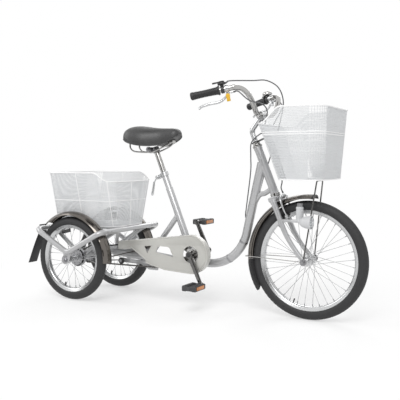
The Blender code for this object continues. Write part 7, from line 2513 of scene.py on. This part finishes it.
    def _perch(self, side: int, hand: str) -> None:
        """Clamp round the bar with two cheeks that hold the lever's pin, and the cable's adjusting barrel.

        Args:
            side: 1 left or -1 right.
            hand: Name of the side.
        """
        out, hinge, down = self.frame(side)
        at = self.point(self.lever_back, side)
        pivot = self.pivot(side)
        axes = (out, hinge, down)
        perch = self._clamp_ring(Shape(), at, out, 0.007)
        top = self.bar_r + 0.0015
        perch.box((0.012, 0.018, 0.0075), at + down * (top + 0.0033), axes, 0.0018)
        for sign in (1, -1):
            perch.box((0.012, 0.0026, 0.0225), at + down * (top + 0.0110) + hinge * sign * 0.0077, axes,
                      0.0009)
        perch.rod(pivot - hinge * 0.009, pivot + hinge * 0.009, 0.0028, sides=16)
        perch.lathe([(0.0, 0.0), (0.0042, 0.0), (0.0044, 0.0010), (0.0034, 0.0022), (0.0, 0.0026)],
                    pivot + hinge * 0.0088,
                    hinge, 16)
        foot = at - out * 0.006 + down * (self.bar_r + 0.004)
        perch.rod(foot, self.mouth(side), 0.0040, sides=16)
        toward = (self.mouth(side) - foot).normalized()
        perch.ring(0.0026, 0.0054, foot + toward * 0.0065, foot + toward * 0.0100, 10)
        perch.piece("brake_perch_%s_cast" % hand, Look.ALLOY, "steering", "brake_perch_" + hand)

    def _lever(self, side: int, hand: str) -> None:
        """Lever blade that swings up to the grip, flat and with a rounded end."""
        out, hinge, down = self.frame(side)
        pivot = self.pivot(side)
        lever = Shape().ring(0.0031, 0.0065, pivot - hinge * 0.0060, pivot + hinge * 0.0060, 24, 0.0008)
        steps = [(0.005, 0.0), (0.036, 0.016), (0.080, 0.0165), (0.112, 0.020), (0.126, 0.027)]
        path = smooth([pivot + out * along + down * drop for along, drop in steps], 10)
        count = len(path)
        taper = [0.80 + 0.25 * math.sin(math.pi * index / (count - 1)) for index in range(count)]
        taper[-4:] = [0.98, 1.05, 0.95, 0.55]
        lever.tube(path, 0.0055, 18, taper=taper)
        lever.piece("brake_lever_%s_forged" % hand, Look.ALLOY, "brake_lever_" + hand, "brake_lever_" + hand)

    def _lock(self) -> None:
        """Parking-brake catch on the outside of the right lever's clamp."""
        out, hinge, down = self.frame(-1)
        pivot = self.pivot(-1)
        outside = hinge if hinge.y < 0 else -hinge
        foot = pivot + outside * 0.0098
        tab = Shape().lathe([(0.0, 0.0), (0.0085, 0.0), (0.0089, 0.0012), (0.0089, 0.0048), (0.0076, 0.0068),
                             (0.0, 0.0074)], foot, outside, 28)
        tab.box((0.015, 0.006, 0.024), foot + outside * 0.0035 + down * 0.011, (out, hinge, down), 0.0024, 4)
        for rib in range(3):
            tab.box((0.0135, 0.0072, 0.0018), foot + outside * 0.0035 + down * (0.0125 + rib * 0.0034),
                    (out, hinge, down), 0.0006, 2)
        tab.piece("parking_catch", Look.YELLOW, "lock_tab", "parking_lock")

    def _shifter(self) -> None:
        """Thumb shifter: a clamp round the bar, a round housing above it and its thumb lever."""
        out, hinge, down = self.frame(-1)
        at = self.point(self.control_back, -1)
        body = self._clamp_ring(Shape(), at, out, 0.0065)
        top = self.bar_r + 0.0170
        body.rod(at - down * (self.bar_r + 0.002), at - down * (self.bar_r + 0.011), 0.0075, sides=22)
        body.lathe([(0.0, 0.0), (0.0140, 0.0), (0.0160, 0.0012), (0.0165, 0.0030), (0.0165, 0.0062),
                    (0.0155, 0.0080),
                    (0.0, 0.0085)], at - down * (top - 0.0085), -down, 36)
        exit_at = at - down * (top - 0.0042) - out * 0.0135
        body.rod(exit_at, exit_at - out * 0.0055, 0.0040, sides=16)
        bolt_head(body, at + hinge * (self.bar_r + 0.0030), hinge, 0.0035, 0.0035, False)
        body.piece("shifter_housing", Look.BLACK, "steering", "shifter_body")
        face = at - down * (top + GAP)
        lever = Shape().lathe([(0.0, 0.0), (0.0121, 0.0), (0.0125, 0.0008), (0.0125, 0.0040),
                               (0.0110, 0.0056),
                               (0.0, 0.0062)], face, -down, 36)
        lever.box((0.030, 0.010, 0.0055), face - down * 0.003 + out * 0.022, (out, hinge, down), 0.0020, 4)
        for rib in range(4):
            lever.box((0.0014, 0.0094, 0.0064), face - down * 0.003 + out * (0.025 + rib * 0.003),
                      (out, hinge, down),
                      0.0005, 2)
        lever.piece("shift_thumb", Look.BLACK, "shift_lever", "shift_lever")

    def _bell(self) -> None:
        """Bell dome on its clamp, with its thumb striker."""
        out, hinge, down = self.frame(1)
        at = self.point(self.control_back, 1)
        clip = self._clamp_ring(Shape(), at, out, 0.0065)
        clip.rod(at - down * (self.bar_r + 0.002), at - down * (self.bar_r + 0.014), 0.0060, sides=22)
        clip.piece("bell_clip", Look.BLACK, "steering")
        r = 0.0225
        dome = [(0.0, 0.0168), (0.0030, 0.0166), (0.0034, 0.0156), (r * 0.30, 0.0152)]
        dome += [(r * math.sin(math.radians(angle)), 0.0155 * math.cos(math.radians(angle)) - 0.0002)
                 for angle in range(26, 90, 8)]
        dome += [(r + 0.0004, -0.0004), (r + 0.0004, -0.0016), (r - 0.0012, -0.0022), (r - 0.0020, 0.0),
                 (0.0, 0.0020)]
        Shape().lathe(dome, at - down * (self.bar_r + 0.015), -down, 44).piece(
            "bell_dome", Look.CHROME, "steering", "bell")
        pivot = at - down * (self.bar_r + 0.0100)
        striker = Shape().ring(0.0063, 0.0095, pivot - down * 0.0022, pivot + down * 0.0022, 28)
        striker.box((0.024, 0.007, 0.0036), pivot + out * 0.020, (out, hinge, down), 0.0014)
        striker.rod(pivot + out * 0.030 - down * 0.0016, pivot + out * 0.030 + down * 0.0030, 0.0045,
                    sides=18)
        striker.piece("bell_striker", Look.BLACK, "bell_lever", "bell_lever")


@dataclass
class Cables:
    """The two brake cables and the shift cable, each held along its way.

    Attributes:
        cockpit: The hand controls that they start from.
        frame: The main frame that they run along.
        radius: Radius of a sheath.
        bend_x: Two places along x that are given to bending for the rear brake's back sheath.
    """

    cockpit: Cockpit
    frame: MainFrame
    radius: float = 0.0025
    bend_x: tuple[float, float] = (0.34, 0.10)

    def build(self) -> None:
        """Lay the three cables."""
        self._front_brake()
        self._shift()
        self._rear_brake()

    def _bar(self, *offsets: Sequence[float]) -> list[Vector]:
        """Points given from the middle of the bar's clamp."""
        return [self.cockpit.clamp + Vector(offset) for offset in offsets]

    def _head(self, *offsets: Sequence[float]) -> list[Vector]:
        """Points given from the foot of the head tube."""
        return [self.frame.layout.head_foot + Vector(offset) for offset in offsets]

    def _lever(self, side: int) -> list[Vector]:
        """The first two points of a cable that leaves a brake lever's clamp."""
        out, _, down = self.cockpit.frame(side)
        start = self.cockpit.mouth(side) - out * 0.0008
        return [start, start - out * 0.020 + down * 0.002]

    def _sheath(self, points: Sequence[Vector], first: bool = True, last: bool = True) -> Shape:
        """A sheath along points, with a ferrule on each end that stops at a fitting.

        Args:
            points: Given points.
            first: Put a ferrule on the start.
            last: Put a ferrule on the end.

        Returns:
            The shape.
        """
        path = smooth(points, 10)
        length = sum((after - before).length for before, after in zip(path, path[1:]))
        LOG.info("sheath of %d mm", round(length * 1000))
        shape = Shape().tube(path, self.radius, 12)
        for wanted, end, inner in ((first, path[0], path[3]), (last, path[-1], path[-4])):
            if wanted:
                toward = (inner - end).normalized()
                shape.rod(end, end + toward * 0.011, 0.0033, sides=14)
        return shape

    def _front_brake(self) -> None:
        """From the right lever, forward over the bar and down behind the basket to the front brake."""
        lay = self.frame.layout
        eye_top = lay.head(0.0112 - lay.caliper_d, 0.0355)
        points = self._lever(-1)
        points += self._bar((0.021, -0.178, 0.050), (0.044, -0.100, 0.040), (0.044, -0.048, 0.012),
                            (0.029, -0.034, -0.048))
        points += self._head((-0.012, -0.030, 0.203), (0.016, -0.030, 0.123), (0.038, -0.020, 0.063))
        points += [eye_top + lay.head_up * 0.025, eye_top]
        self._sheath(points).piece("front_brake_sheath", Look.CABLE, "steering", "front_brake_cable")

    def _steered(self, made: bpy.types.Object, cable: str) -> None:
        """Hand a cable to bending between the steering and the main frame, which bakes it and hides its node.
        """
        lay = self.frame.layout
        bending(made, ("steering", "main_frame"), lay.head(0.23), lay.head(0.03), cable)

    def _shift(self) -> None:
        """From the thumb shifter, over the top and down behind the basket to the frame's left side."""
        out, _, down = self.cockpit.frame(-1)
        start = self.cockpit.point(self.cockpit.control_back, -1) - down * 0.0239 - out * 0.0181
        points = [start, start - out * 0.018 + UP * 0.004]
        points += self._bar((0.022, -0.150, 0.130), (0.054, -0.080, 0.136), (0.078, -0.010, 0.112),
                            (0.082, 0.034, 0.057), (0.066, 0.044, -0.018))
        points += self._head((-0.020, 0.040, 0.223), (-0.043, 0.036, 0.143), (-0.065, 0.0285, 0.073))
        low = self.frame.layout.head_foot.z + 0.003
        points.append(self.frame.at(low) + Vector((0.009, self.frame.tube_r + self.radius + 0.001, 0.0)))
        self._steered(self._sheath(points).made("shift_sheath", Look.CABLE), "shift_cable")

    def _rear_brake(self) -> None:
        """From the left lever round the stem, down the main tube's left side and under it to the rear brake."""
        frame = self.frame
        beside = frame.tube_r + self.radius + 0.0012
        points = self._lever(1)
        points += self._bar((0.022, 0.178, 0.054), (0.049, 0.110, 0.042), (0.049, 0.060, 0.002),
                            (0.024, 0.026, -0.058),
                            (-0.006, -0.010, -0.078), (-0.034, -0.032, -0.113))
        points += self._head((-0.100, -0.030, 0.163), (-0.102, -0.026, 0.093))
        points += [frame.along(0.235) + Vector((-beside * 0.80, -beside * 0.70, 0.014)),
                   frame.along(0.205) + Vector((-beside * 1.04, 0.0, 0.0)),
                   frame.along(0.170) + Vector((-beside * 0.72, beside * 0.74, 0.0))]
        points += [frame.along(length) + SIDE * beside for length in (0.110, 0.020, -0.070, -0.150, -0.270)]
        front = self._sheath(points, last=False)
        self._steered(front.made("rear_brake_sheath_front", Look.CABLE), "rear_brake_cable")
        low = frame.swing_z - frame.swing_r - 0.006
        under = frame.layout.main_z - frame.tube_r - 0.0035
        x0, x1 = frame.swing_x
        cover = frame.layout.rear_axle - SIDE * 0.1384
        rest = [points[-1], Vector((x1 + 0.075, 0.014, under)), Vector((x1 + 0.015, 0.0, under + 0.001)),
                Vector((x0, -0.016, low)), Vector((0.130, -0.050, low)), Vector((0.085, -0.105, low + 0.003)),
                cover + Vector((0.060, 0.0, -0.012)), cover + Vector((0.0448, 0.0, -0.006))]
        made = self._sheath(rest, first=False).made("rear_brake_sheath_back", Look.CABLE)
        start, end = [Vector((x, 0.0, 0.2)) for x in self.bend_x]
        bending(made, ("main_frame", "rear_frame"), start, end)
        clips = Shape()
        for length in frame.clip_places:
            spot = frame.along(length)
            along = (frame.along(length + 0.004) - frame.along(length - 0.004)).normalized()
            clips.ring(frame.tube_r - 0.0004, frame.tube_r + 0.0009, spot - along * 0.0045,
                       spot + along * 0.0045, 36)
            clips.ring(self.radius - 0.0002, self.radius + 0.0012, spot + SIDE * beside - along * 0.0045,
                       spot + SIDE * beside + along * 0.0045, 16)
        clips.piece("cable_clips", Look.STEEL, "main_frame")


def main() -> None:
    """Load the frame, build every sub-assembly and log its pieces."""
    logging.basicConfig(level=logging.INFO)
    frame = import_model()
    Studio().build()
    layout = Layout()
    slots = {look.value.slot: look.value for look in reversed(Look)}
    for part in frame["record"]["subparts"]:
        slots[part["material_slot"]].dress(frame["nodes"][part["node"]])
    half = SIDE * layout.track / 2
    right, left = layout.rear_axle - half, layout.rear_axle + half
    rear = {"radius": layout.rear_r, "spokes": 28, "blocks": 62, "bore": 0.008}
    Wheel("front_wheel", "front_tyre", layout.front_axle, layout.front_r, spokes=36, blocks=78,
          bore=0.0055).build()
    Wheel("right_wheel", "right_tyre", right, **rear, drum=1, reflector=104.6).build()
    Wheel("left_wheel", "left_tyre", left, **rear).build()
    guard = layout.front_guard_r
    Mudguard("front_fender", "steering", layout.front_axle, guard, start=84.0, end=183.0, capped=True).build()
    for hand, middle in (("right", right), ("left", left)):
        name = "rear_fender_" + hand
        Mudguard(name, "rear_frame", middle, layout.rear_guard_r, start=-2.0, end=133.0).build()
    Flaps(layout).build()
    front_basket(layout).build()
    rear_basket().build()
    Seat(layout).build()
    main_frame = MainFrame(layout)
    main_frame.build()
    RearFrame(layout).build()
    Drive(layout).build()
    FrontEnd(layout).build()
    cockpit = Cockpit(layout)
    cockpit.build()
    Cables(cockpit, main_frame).build()


if __name__ == "__main__":
    main()
